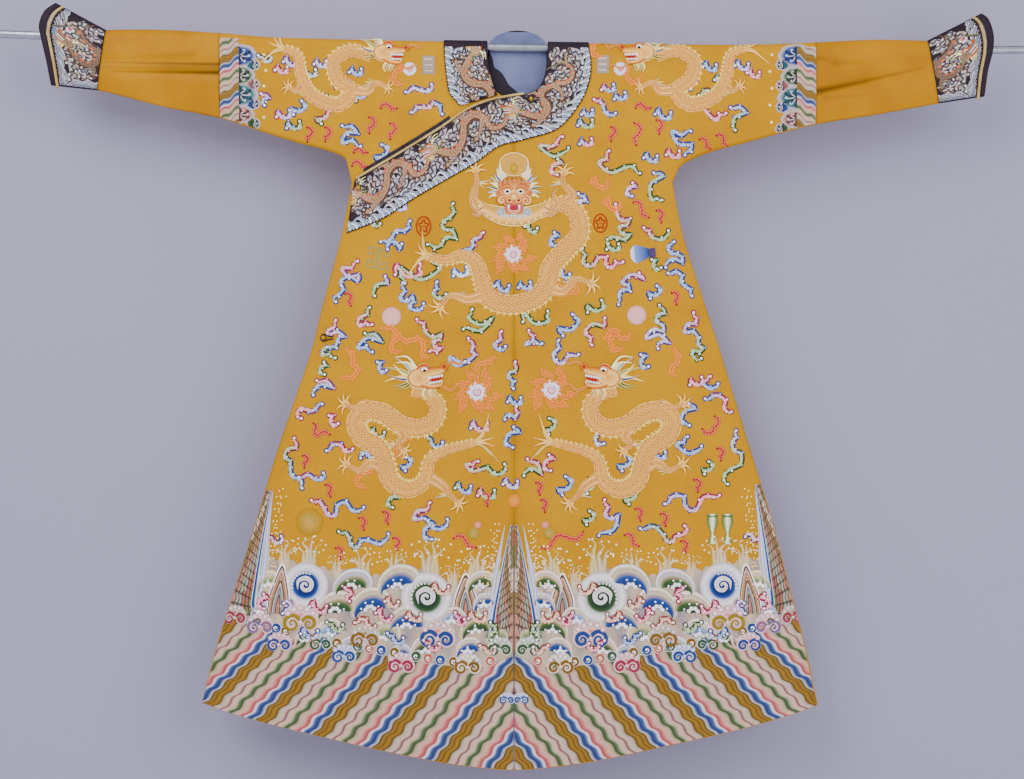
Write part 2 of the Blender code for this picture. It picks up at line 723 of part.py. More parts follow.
def build_lining(material):
    """The lining that shows in the neck, inside the back."""
    rows = []
    for z in (-0.120, -0.090, -0.060, -0.035, -0.012, 0.008, 0.020, 0.033):
        half = 0.0590 if z < 0.0 else 0.0580 * math.sqrt(1.0 - (z / 0.037) ** 2)
        lean = 0.0026 * min(max((z - 0.008) / 0.012, 0.0), 1.0)
        y = 0.0097 + lean
        middle = 0.007
        rows.append([Vector((middle + half * (2.0 * j / 6 - 1.0), y, z)) for j in range(7)])
    return sheet("neck_lining", rows, LINING_WALL, material)


# ---------------------------------------------------------------- buttons and rod

def surface_of(row):
    """Outer face of the sheet that a button is sewn to, at the button."""
    if row.layer == "band":
        return hung("front", row.x, row.z, band_layer(row.x), BAND_LIFT + BAND_WALL / 2.0)
    return hung("front", row.x, row.z, 1, CLOTH_WALL / 2.0)


def out_of_surface(row):
    """Direction straight out of the cloth at a button."""
    step = 0.004
    across = (surface_of(row._replace(x=row.x + step)) - surface_of(row._replace(x=row.x - step)))
    up = (surface_of(row._replace(z=row.z + step)) - surface_of(row._replace(z=row.z - step)))
    return across.cross(up).normalized()


def build_button(row, material):
    """A cast ball button, just clear of the cloth that it is sewn to."""
    shape = bmesh.new()
    bmesh.ops.create_uvsphere(shape, u_segments=14, v_segments=8, radius=BUTTON_RADIUS)
    centre = surface_of(row) + out_of_surface(row) * (BUTTON_RADIUS + SEAT_GAP)
    bmesh.ops.translate(shape, verts=shape.verts, vec=centre)
    mesh = bpy.data.meshes.new("ball_button_" + row.name)
    shape.to_mesh(mesh)
    shape.free()
    mesh.shade_smooth()
    return add_object("ball_button_" + row.name, mesh, material)


def build_loop(row, material):
    """The cord loop that holds a button: out from the cloth, round the ball, and back."""
    reach = BUTTON_RADIUS + LOOP_RADIUS + SEAT_GAP
    tail = 0.018
    side_step = 0.0022
    plan = [(tail, side_step)]
    for i in range(9):
        turn = math.radians(35.0 + 290.0 * i / 8)
        plan.append((reach * math.cos(turn), reach * math.sin(turn)))
    plan.append((tail, -side_step))
    points = []
    for across, up in plan:
        here = row._replace(x=row.x + across, z=row.z + up)
        points.append(surface_of(here) + out_of_surface(here) * (LOOP_RADIUS + SEAT_GAP))
    return cord("button_loop_" + row.name, points, LOOP_RADIUS, material)


def build_rod(material):
    """The steel rod through both sleeves, sagging a little under the robe."""
    points = []
    for i in range(ROD_STATIONS):
        x = ROD_HALF_LENGTH * (2.0 * i / (ROD_STATIONS - 1) - 1.0)
        points.append(Vector((x, 0.0, rod_height(x))))
    made = cord("rod", points, ROD_RADIUS, material)
    made.data.bevel_resolution = 4
    return made


# ---------------------------------------------------------------- the whole robe

COLLECTION = "chinese_dragon_robe"


def build_robe():
    """Builds every piece, each with its own material."""
    for old in list(bpy.data.objects):
        bpy.data.objects.remove(old, do_unlink=True)
    collection = bpy.data.collections.new(COLLECTION)
    bpy.context.scene.collection.children.link(collection)

    build_body("body_left", 1, finish("silk_left", ROBE_YELLOW, 0.55))
    build_body("body_right", -1, finish("silk_right", ROBE_YELLOW, 0.55))
    build_overlap(finish("silk_overlap", ROBE_YELLOW, 0.55))
    for side, word in ((1, "left"), (-1, "right")):
        build_satin("satin_sleeve_" + word, side, finish("satin_" + word, SATIN_YELLOW, 0.35))
        build_cuff("cuff_" + word, side, finish("cuff_silk_" + word, BAND_INK, 0.6),
                   finish("cuff_piping_" + word, PIPING_TAN, 0.6))
    build_front_band(finish("band_front", BAND_INK, 0.6))
    build_neck_band(finish("band_shoulder", BAND_INK, 0.6))
    build_back_band(finish("band_back", BAND_INK, 0.6))
    build_piping(finish("piping", PIPING_TAN, 0.6))
    build_edging(finish("edging", BAND_INK, 0.6))
    build_lining(finish("lining", LINING_GREY, 0.7))
    for row in CLOSURES:
        build_button(row, finish("gilt_" + row.name, GILT, 0.35, 1.0))
        build_loop(row, finish("loop_" + row.name, BAND_INK, 0.7))
    build_rod(finish("steel", STEEL, 0.3, 1.0))


build_robe()
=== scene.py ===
"""Looks of a Chinese dragon robe that hangs on a steel rod: silk shells, embroidery and studio.

The robe's solids come from the frame. Each cloth solid is replaced by a thinner, finer silk
shell on the same form, and the embroidery is sewn on it as raised satin stitch: every motif is
drawn in the squares of one chart, then laid on the hanging cloth, front and back.
"""

from __future__ import annotations

import json
import logging
import math
from dataclasses import dataclass, field
from enum import Enum
from typing import Callable, Iterable, Sequence

import bmesh
import bpy
import numpy as np
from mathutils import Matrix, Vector

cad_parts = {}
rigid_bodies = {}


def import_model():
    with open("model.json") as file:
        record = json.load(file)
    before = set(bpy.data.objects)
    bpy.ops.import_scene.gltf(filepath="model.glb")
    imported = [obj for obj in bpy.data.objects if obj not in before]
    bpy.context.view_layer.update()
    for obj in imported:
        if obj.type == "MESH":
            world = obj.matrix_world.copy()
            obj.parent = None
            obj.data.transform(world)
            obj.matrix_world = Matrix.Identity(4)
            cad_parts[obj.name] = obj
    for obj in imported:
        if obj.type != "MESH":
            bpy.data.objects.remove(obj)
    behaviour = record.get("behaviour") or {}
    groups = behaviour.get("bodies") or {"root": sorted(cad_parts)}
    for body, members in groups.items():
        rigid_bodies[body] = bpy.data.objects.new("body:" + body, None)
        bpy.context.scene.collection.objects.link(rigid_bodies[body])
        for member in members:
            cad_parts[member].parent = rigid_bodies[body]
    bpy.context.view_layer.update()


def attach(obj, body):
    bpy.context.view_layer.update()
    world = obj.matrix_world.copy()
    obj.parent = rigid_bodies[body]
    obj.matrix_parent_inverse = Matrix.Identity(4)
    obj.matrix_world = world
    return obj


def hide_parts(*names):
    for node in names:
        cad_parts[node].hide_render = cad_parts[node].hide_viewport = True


LOG = logging.getLogger("dragon_robe")
Array = np.ndarray
Material, Object = bpy.types.Material, bpy.types.Object
NodeTree, Node = bpy.types.NodeTree, bpy.types.Node
Point = tuple[float, float]
Colour = tuple[float, float, float]

CHART_SQUARE = 0.002     # one square of the embroidery chart, in metres
CHART_CENTRE = 514.0     # the chart's column on the robe's centre line
CHART_ROD = 48.0         # the chart's row at the rod's axis
STUDIO_LIGHT = 1.7       # how much light falls on the robe, where 1 shows white as white
PICTURE_LIFT = 4.5       # how much bright colours are raised before they are pictured
PICTURE_FADE = 0.25      # how much the picture pales colours
CLEARANCE = 0.00025      # how far stitches stay off the cloth under them, in metres
SEAM_MARGIN = 0.0012     # how far needlework stays off a seam, in metres
STAGGER = 0.618          # the part of a turn by which scattered motifs follow each other
TOWARDS_FRONT = Vector((0.0, -1.0, 0.0))
TOWARDS_BACK = Vector((0.0, 1.0, 0.0))


def silk(red: int, green: int, blue: int) -> Colour:
    """Turns a dyer's 0 to 255 colour into the reflectance that shows as it in the studio.

    The studio is brighter than a colour chart's white and its picture pales bright colours, so
    bright dyes are raised and all dyes are made a little stronger.

    Args:
        red: red, 0 to 255.
        green: green, 0 to 255.
        blue: blue, 0 to 255.

    Returns:
        The reflectance of red, green and blue.
    """
    plain_values = []
    for value in (red / 255.0, green / 255.0, blue / 255.0):
        plain_values.append(value / 12.92 if value <= 0.04045 else ((value + 0.055) / 1.055) ** 2.4)
    weights = (0.2126, 0.7152, 0.0722)
    light = sum(weight * value for weight, value in zip(weights, plain_values))
    raised = [value * (1.0 + PICTURE_LIFT * light ** 3) for value in plain_values]
    middle = sum(weight * value for weight, value in zip(weights, raised))
    return tuple(min(max(value + PICTURE_FADE * (value - middle), 0.0) / STUDIO_LIGHT, 0.96)
                 for value in raised)


class Silk(Enum):
    """The embroiderer's skeins."""

    CREAM = silk(230, 202, 142)
    PEACH = silk(222, 164, 96)
    PEACH_LIGHT = silk(236, 188, 128)
    ORANGE = silk(228, 112, 48)
    RED = silk(196, 62, 44)
    PINK = silk(226, 128, 138)
    PINK_DARK = silk(188, 66, 92)
    SALMON = silk(222, 132, 104)
    BLUE = silk(50, 84, 160)
    BLUE_DARK = silk(30, 50, 112)
    BLUE_LIGHT = silk(142, 168, 214)
    LILAC = silk(150, 128, 176)
    GREEN = silk(74, 104, 66)
    GREEN_DARK = silk(44, 66, 48)
    SAGE = silk(146, 166, 122)
    FOAM = silk(212, 210, 214)
    HALO = silk(190, 192, 198)
    OLIVE_GOLD = silk(158, 116, 26)
    BEIGE = silk(206, 182, 148)
    INK = silk(38, 30, 46)
    BLACK = silk(22, 18, 24)
    GREY_LILAC = silk(166, 158, 152)
    OLIVE = silk(178, 152, 52)
    CINNABAR = silk(176, 62, 16)


class Face(Enum):
    """The two sides of the robe."""

    FRONT = "front"
    BACK = "back"


class Curve:
    """A smooth curve through given rows."""

    def __init__(self, *rows: Point) -> None:
        """Takes the rows in any order.

        Args:
            rows: pairs of a place and the curve's value there.
        """
        ordered = sorted(rows)
        self.keys = np.array([row[0] for row in ordered], float)
        self.values = np.array([row[1] for row in ordered], float)
        low = np.maximum(np.arange(len(ordered)) - 1, 0)
        high = np.minimum(np.arange(len(ordered)) + 1, len(ordered) - 1)
        self.slopes = ((self.values[high] - self.values[low]) / (self.keys[high] - self.keys[low]))

    def __call__(self, value: Array | float) -> Array:
        """Reads the curve.

        Args:
            value: where to read it, held to the rows' range.

        Returns:
            The curve's value there.
        """
        value = np.clip(np.asarray(value, float), self.keys[0], self.keys[-1])
        here = np.clip(np.searchsorted(self.keys, value, side="right") - 1, 0, len(self.keys) - 2)
        span = self.keys[here + 1] - self.keys[here]
        t = (value - self.keys[here]) / span
        rise = self.values[here + 1] - self.values[here]
        start, end = self.slopes[here] * span, self.slopes[here + 1] * span
        return (self.values[here] + start * t + (3 * rise - 2 * start - end) * t ** 2
                + (start + end - 2 * rise) * t ** 3)


@dataclass(frozen=True)
class Crease:
    """A crease between two plan points.

    Where the cloth is shaped, a positive depth is a trough and a negative one a ridge, in metres;
    where the crease is only painted shade on the finish, it is how dark the painted shade is.
    """

    start: Point
    end: Point
    depth: float
    width: float

    @classmethod
    def each(cls, *rows: tuple[float, ...]) -> tuple[Crease, ...]:
        """Creases, each given by the x and z of its two ends, its depth and its width."""
        return tuple(cls(row[:2], row[2:4], *row[4:]) for row in rows)


@dataclass(frozen=True)
class HangingFold:
    """A fold that grows towards the hem: its place across a half, height and width."""

    place: float
    height: float
    width: float


def joined(*columns: Array) -> Array:
    """Rows that take one number from each column."""
    return np.stack(columns, axis=-1)


def headings(line: Array) -> Array:
    """The way that a line runs at each of its points, one unit long."""
    run = np.gradient(line, axis=0)
    return run / np.maximum(np.hypot(run[:, 0], run[:, 1]), 1e-9)[:, None]


def bearing(run: Sequence[float] | Array) -> float:
    """The angle of a run in degrees."""
    return math.degrees(math.atan2(run[1], run[0]))


def segment_distance(x: Array, z: Array, start: Point, end: Point) -> Array:
    """Distance in plan from points to a straight run.

    Args:
        x: distance to the right of the centre line.
        z: height above the rod's axis.
        start: the run's start.
        end: the run's end.

    Returns:
        The distances.
    """
    run_x, run_z = end[0] - start[0], end[1] - start[1]
    share = ((x - start[0]) * run_x + (z - start[1]) * run_z) / (run_x ** 2 + run_z ** 2)
    share = np.clip(share, 0.0, 1.0)
    return np.hypot(x - start[0] - share * run_x, z - start[1] - share * run_z)


@dataclass
class RobeForm:
    """The form in which the robe hangs, the same as its solids', in metres."""

    wall: float = 0.0018
    solid_wall: float = 0.002
    seam_gap: float = 0.0003
    rod_radius: float = 0.008
    rod_tilt: float = -0.01514
    rod_bow: float = 0.0112
    fold_depth: float = 0.0115
    hem_depth: float = 0.025
    depth_power: float = 0.8
    edge_round: float = 0.07
    full_length: float = 1.44
    armpit: float = -0.27
    neck_depth: float = 0.1035
    neck_power: float = 2.8
    back_neck_depth: float = 0.015
    hem_tip: float = -1.4394
    hem_rise: float = 0.131
    hem_half: float = 0.624
    hem_power: float = 1.42
    underlap_drop: float = 0.0034
    underlap_run: float = 0.05
    rod_clearance: float = 0.0001
    fold_growth: float = 1.3
    edge_margin: float = 0.0016
    neck_half: dict[int, float] = field(default_factory=lambda: {1: 0.067, -1: 0.053})
    seam_x: dict[int, float] = field(default_factory=lambda: {1: 0.603, -1: 0.588})

    def __post_init__(self) -> None:
        """Sets the curves of the outline."""
        self.side = {
            -1: Curve((-1.320, 0.6270), (-1.190, 0.5920), (-1.052, 0.5480), (-0.942, 0.5140),
                      (-0.804, 0.4720), (-0.598, 0.4020), (-0.534, 0.3870), (-0.374, 0.3440),
                      (self.armpit, 0.3235)),
            1: Curve((-1.320, 0.6080), (-1.190, 0.5800), (-1.052, 0.5430), (-0.942, 0.5150),
                     (-0.804, 0.4720), (-0.598, 0.4090), (-0.534, 0.3880), (-0.374, 0.3370),
                     (self.armpit, 0.3165)),
        }
        self.arm = {
            -1: Curve((0.3235, self.armpit), (0.3320, -0.2280), (0.3620, -0.2090),
                      (0.4390, -0.1876), (0.5280, -0.1590), (0.5880, -0.1400),
                      (0.6960, -0.1180), (0.8320, -0.0848), (0.9252, -0.0748)),
            1: Curve((0.3165, self.armpit), (0.3260, -0.2440), (0.3470, -0.2270),
                     (0.3900, -0.2090), (0.4560, -0.1910), (0.6030, -0.1530),
                     (0.7180, -0.1340), (0.8480, -0.1110), (0.9400, -0.0970)),
        }
        resting = (self.rod_radius + self.seam_gap + self.solid_wall / 2.0 + self.rod_clearance)
        self.resting_rise = resting
        self.crest = Curve((-0.840, 0.0140), (-0.720, 0.0190), (-0.600, 0.0165),
                           (-0.460, resting), (0.450, resting), (0.603, 0.0150),
                           (0.720, 0.0205), (0.850, 0.0175))
        self.overlap = Curve((0.024, -0.095), (-0.010, -0.101), (-0.052, -0.110),
                             (-0.094, -0.128), (-0.146, -0.164), (-0.220, -0.210),
                             (-0.276, -0.243), (-0.318, -0.266))
        self.folds = {key: tuple(HangingFold(*row) for row in rows) for key, rows in {
            (Face.FRONT, -1): ((0.20, 0.0060, 0.10), (0.52, -0.0050, 0.12), (0.80, 0.0055, 0.09)),
            (Face.FRONT, 1): ((0.24, 0.0050, 0.11), (0.50, -0.0055, 0.10), (0.76, 0.0065, 0.11)),
            (Face.BACK, -1): ((0.12, -0.0045, 0.10), (0.42, 0.0065, 0.13), (0.74, -0.0050, 0.10)),
            (Face.BACK, 1): ((0.15, -0.0040, 0.10), (0.46, 0.0060, 0.12), (0.78, -0.0055, 0.11))}.items()}
        self.creases = {
            (Face.FRONT, -1): Crease.each(
                (-0.600, -0.030, -0.810, -0.028, 0.0030, 0.009),
                (-0.596, -0.055, -0.800, -0.050, 0.0022, 0.008),
                (-0.620, -0.042, -0.790, -0.040, -0.0012, 0.006),
                (-0.590, -0.090, -0.700, -0.080, 0.0010, 0.012),
                (-0.340, -0.398, -0.255, -0.385, 0.0016, 0.008),
                (-0.330, -0.430, -0.200, -0.400, 0.0010, 0.014),
                (-0.310, -0.250, -0.440, -0.080, 0.0012, 0.020)),
            (Face.FRONT, 1): Crease.each(
                (0.612, -0.086, 0.700, -0.066, 0.0030, 0.010),
                (0.700, -0.066, 0.800, -0.047, 0.0026, 0.010),
                (0.625, -0.066, 0.760, -0.036, -0.0012, 0.008),
                (0.640, -0.030, 0.820, -0.022, 0.0010, 0.010),
                (0.310, -0.260, 0.430, -0.090, 0.0012, 0.020),
                (0.330, -0.420, 0.220, -0.380, 0.0010, 0.014)),
            (Face.BACK, -1): Crease.each(
                (-0.600, -0.046, -0.800, -0.040, 0.0026, 0.010),
                (-0.610, -0.080, -0.740, -0.070, 0.0012, 0.010),
                (-0.310, -0.250, -0.430, -0.090, 0.0012, 0.020)),
            (Face.BACK, 1): Crease.each(
                (0.612, -0.060, 0.830, -0.050, 0.0028, 0.010),
                (0.620, -0.090, 0.740, -0.078, 0.0012, 0.010),
                (0.310, -0.250, 0.430, -0.090, 0.0012, 0.020))}
        self.outlines = {side: self._outline(side) for side in (-1, 1)}

    def _outline(self, side: int) -> list[Point]:
        """Plan points of a half's closed edge: the sleeve's underside, then the side seam.

        Args:
            side: 1 for the half at +X, -1 for the other one.

        Returns:
            The points, from the cuff to the hem.
        """
        arm, seam = self.arm[side], self.side[side]
        sleeve = [(side * reach, low) for reach, low in zip(arm.keys[::-1], arm.values[::-1])]
        body = [(side * reach, low) for reach, low in zip(seam.values[::-1], seam.keys[::-1])]
        return sleeve + body[1:]

    def rod_height(self, x: Array | float) -> Array:
        """Height of the rod's axis."""
        return self.rod_tilt * np.asarray(x) + self.rod_bow * np.asarray(x) ** 2

    def crest_rise(self, x: Array | float) -> Array:
        """Rise of the folded cloth's middle above the rod's axis."""
        return np.maximum(self.crest(x), self.resting_rise)

    def hem_height(self, x: Array | float) -> Array:
        """Height of the curved hem."""
        return self.hem_tip + self.hem_rise * (np.abs(x) / self.hem_half) ** self.hem_power

    def _half_depth(self, face: Face, side: int, x: Array, z: Array, layer: Array) -> Array:
        """Depth of one half's panel, as depth() gives it.

        Args:
            face: the front or the back.
            side: 1 for the half at +X, -1 for the other one.
            x: distance to the right of the centre line.
            z: height above the rod's axis.
            layer: 1 on the outer front, -1 on the hidden front under it, else 0.

        Returns:
            The distances from the middle plane.
        """
        drop = np.maximum(self.rod_height(x) - z, 0.0)
        full = self.fold_depth + ((self.hem_depth - self.fold_depth)
                                  * (drop / self.full_length) ** self.depth_power)
        low = np.minimum(z, self.armpit)
        growth = ((self.armpit - low) / (self.armpit - self.hem_tip)) ** self.fold_growth
        place = np.abs(x) / self.side[side](low)
        for fold in self.folds[(face, side)]:
            full += growth * fold.height * np.exp(-(((place - fold.place) / fold.width) ** 2))
        for crease in self.creases[(face, side)]:
            away = segment_distance(x, z, crease.start, crease.end)
            full -= crease.depth * np.exp(-((away / crease.width) ** 2))
        sunk = self.underlap_drop * np.minimum(drop / self.underlap_run, 1.0)
        full -= np.where(layer < 0, sunk, 0.0)
        seam = (self.solid_wall + self.seam_gap) / 2.0
        seam = seam + np.where(layer > 0, self.solid_wall + self.seam_gap, 0.0)
        runs = self.outlines[side]
        edge = np.min([segment_distance(x, z, a, b) for a, b in zip(runs, runs[1:])], axis=0)
        near = np.minimum(edge / self.edge_round, 1.0)
        return seam + (full - seam) * (1.0 - (1.0 - near) ** 2)

    def depth(self, face: Face, x: Array, z: Array, layer: Array | int = 0) -> Array:
        """Distance from the robe's middle plane to the middle of a panel.

        Args:
            face: the front or the back.
            x: distance to the right of the centre line.
            z: height above the rod's axis.
            layer: 1 on the outer front, -1 on the hidden front under it, else 0.

        Returns:
            The distances.
        """
        layer = np.broadcast_to(layer, np.shape(x))
        found = np.empty(np.shape(x))
        for side, half in ((-1, x <= 0.0), (1, x > 0.0)):
            if half.any():
                found[half] = self._half_depth(face, side, x[half], z[half], layer[half])
        return found

    def kept(self, x: Array, z: Array) -> tuple[Array, Array]:
        """Draws plan points that lie past the outline back to its nearer edge.

        Args:
            x: distance to the right of the centre line.
            z: height above the rod's axis.

        Returns:
            The x and z of each point.
        """
        x, z = np.array(x, float), np.array(z, float)
        for side in (-1, 1):
            seam = self.side[side](np.minimum(z, self.armpit)) - self.edge_margin
            reach = np.maximum(side * x, self.side[side](self.armpit))
            low = self.arm[side](reach) + self.edge_margin
            past, short = side * x - seam, low - z
            out = (past > 0.0) & (short > 0.0)
            x = np.where(out & (past <= short), side * seam, x)
            z = np.where(out & (past > short), low, z)
        return x, z

    def top_layer(self, x: Array, z: Array) -> Array:
        """Which front sheet is outermost at plan points."""
        closed = np.where(z < self.overlap(x), 1, -1)
        return np.where(x > 0.0, 0, closed)

    def place(self, face: Face, x: Array, z: Array, lift: Array | float = 0.0,
              layer: Array | int | None = None) -> Array:
        """Lays plan points on the cloth; what reaches above the rod's axis goes round the fold.

        Args:
            face: the front or the back.
            x: distance to the right of the centre line.
            z: height above the rod's axis, measured along the cloth.
            lift: distance out of the cloth's middle.
            layer: the front sheet, or None for the outermost one.

        Returns:
            One row of x, y and z for each point.
        """
        x, z = np.asarray(x, float), np.asarray(z, float)
        if layer is None:
            layer = self.top_layer(x, z) if face is Face.FRONT else 0
        rod, rise = self.rod_height(x), self.crest_rise(x)
        arc = math.pi / 4.0 * (self.fold_depth + rise)
        turn = np.clip((z - rod) / arc, 0.0, 2.0) * math.pi / 2.0
        hangs = z <= rod
        out = np.where(hangs, self.depth(face, x, np.minimum(z, rod), layer) + lift,
                       (self.fold_depth + lift) * np.cos(turn))
        high = np.where(hangs, z, rod + (rise + lift) * np.sin(turn))
        return joined(x, out if face is Face.BACK else -out, high)


FORM = RobeForm()


# ------------------------------------------------------------------------------ cloth shells

class BandPlan:
    """The plan of a band: each station has the x and z of its inner edge, then the outer's."""

    def __init__(self, *stations: tuple[float, float, float, float]) -> None:
        """Takes the stations in order."""
        self.last = float(len(stations) - 1)
        self.curves = [Curve(*enumerate(column)) for column in zip(*stations)]

    def __call__(self, along: Array, across: Array) -> tuple[Array, Array]:
        """Plan place in the band.

        Args:
            along: share of the way from the first station to the last.
            across: share of the way from the inner edge to the outer one.

        Returns:
            The x and z of each place.
        """
        spot = np.asarray(along) * self.last
        inner_x, inner_z, outer_x, outer_z = [curve(spot) for curve in self.curves]
        return inner_x + (outer_x - inner_x) * across, inner_z + (outer_z - inner_z) * across


FRONT_BAND = BandPlan(
    (0.067, 0.000, 0.149, 0.000), (0.065, -0.032, 0.154, -0.030), (0.060, -0.060, 0.151, -0.068),
    (0.047, -0.084, 0.131, -0.115), (0.024, -0.095, 0.088, -0.164), (-0.010, -0.101, 0.022, -0.186),
    (-0.052, -0.110, -0.030, -0.200), (-0.094, -0.128, -0.075, -0.232),
    (-0.146, -0.164, -0.120, -0.258), (-0.220, -0.210, -0.196, -0.302),
    (-0.276, -0.243, -0.262, -0.344), (-0.318, -0.266, -0.334, -0.372))
SHOULDER_BAND = BandPlan(
    (-0.053, 0.000, -0.140, 0.000), (-0.051, -0.030, -0.138, -0.034), (-0.047, -0.055, -0.134, -0.068),
    (-0.041, -0.075, -0.128, -0.094), (-0.033, -0.096, -0.108, -0.118))


def new_object(name: str, mesh: bpy.types.Mesh) -> Object:
    """Links a mesh as an object of the scene.

    Args:
        name: the object's name.
        mesh: its mesh.

    Returns:
        The object.
    """
    made = bpy.data.objects.new(name, mesh)
    bpy.context.scene.collection.objects.link(made)
    return made


@dataclass
class Lattice:
    """A cloth sheet under construction: grids of points that are joined along shared edges."""

    shape: bmesh.types.BMesh = field(default_factory=bmesh.new)
    weld: float = 0.00005

    def add(self, columns: Array, rows: Array, place: Callable[[Array, Array], Array]) -> None:
        """Adds a grid and moves its points to their places on the FORM.

        Args:
            columns: the value that each column stands for.
            rows: the value that each row stands for.
            place: turns a column and a row value into a point.
        """
        made = bmesh.ops.create_grid(self.shape, x_segments=len(columns) - 1,
                                     y_segments=len(rows) - 1, size=1.0)["verts"]
        flat = np.array([vert.co[:2] for vert in made])
        flat = (flat - flat.min(axis=0)) / np.ptp(flat, axis=0)
        steps = np.rint(flat * [len(columns) - 1, len(rows) - 1]).astype(int)
        points = place(columns[steps[:, 0]], rows[steps[:, 1]])
        for vert, point in zip(made, points):
            vert.co = point

    def cut(self, name: str, wall: float, finish: Material, inside: Material | None = None,
            outward: Vector = TOWARDS_FRONT) -> Object:
        """Sews the grids into one sheet and gives it its wall.

        Args:
            name: the piece's name.
            wall: thickness of the cloth.
            finish: the outer side's material.
            inside: the inner side's material, or None for the same one.
            outward: the way that the first grid's first face looks.

        Returns:
            The sheet's object.
        """
        bmesh.ops.remove_doubles(self.shape, verts=self.shape.verts, dist=self.weld)
        self.shape.faces.ensure_lookup_table()
        self.shape.normal_update()
        if self.shape.faces[0].normal.dot(outward) < 0.0:
            bmesh.ops.reverse_faces(self.shape, faces=self.shape.faces)
        mesh = bpy.data.meshes.new(name)
        self.shape.to_mesh(mesh)
        self.shape.free()
        mesh.shade_smooth()
        mesh.materials.append(finish)
        mesh.materials.append(inside or finish)
        made = new_object(name, mesh)
        thick = made.modifiers.new("wall", "SOLIDIFY")
        thick.thickness = wall
        thick.offset = 0.0
        thick.use_even_offset = True
        thick.material_offset = 1
        thick.material_offset_rim = 0
        return made


def stations(*runs: tuple[float, float, int]) -> Array:
    """Joins evenly divided runs, each given by its start, end and number of steps."""
    parts = [np.linspace(start, end, steps + 1)[:-1] for start, end, steps in runs]
    return np.concatenate(parts + [[runs[-1][1]]])


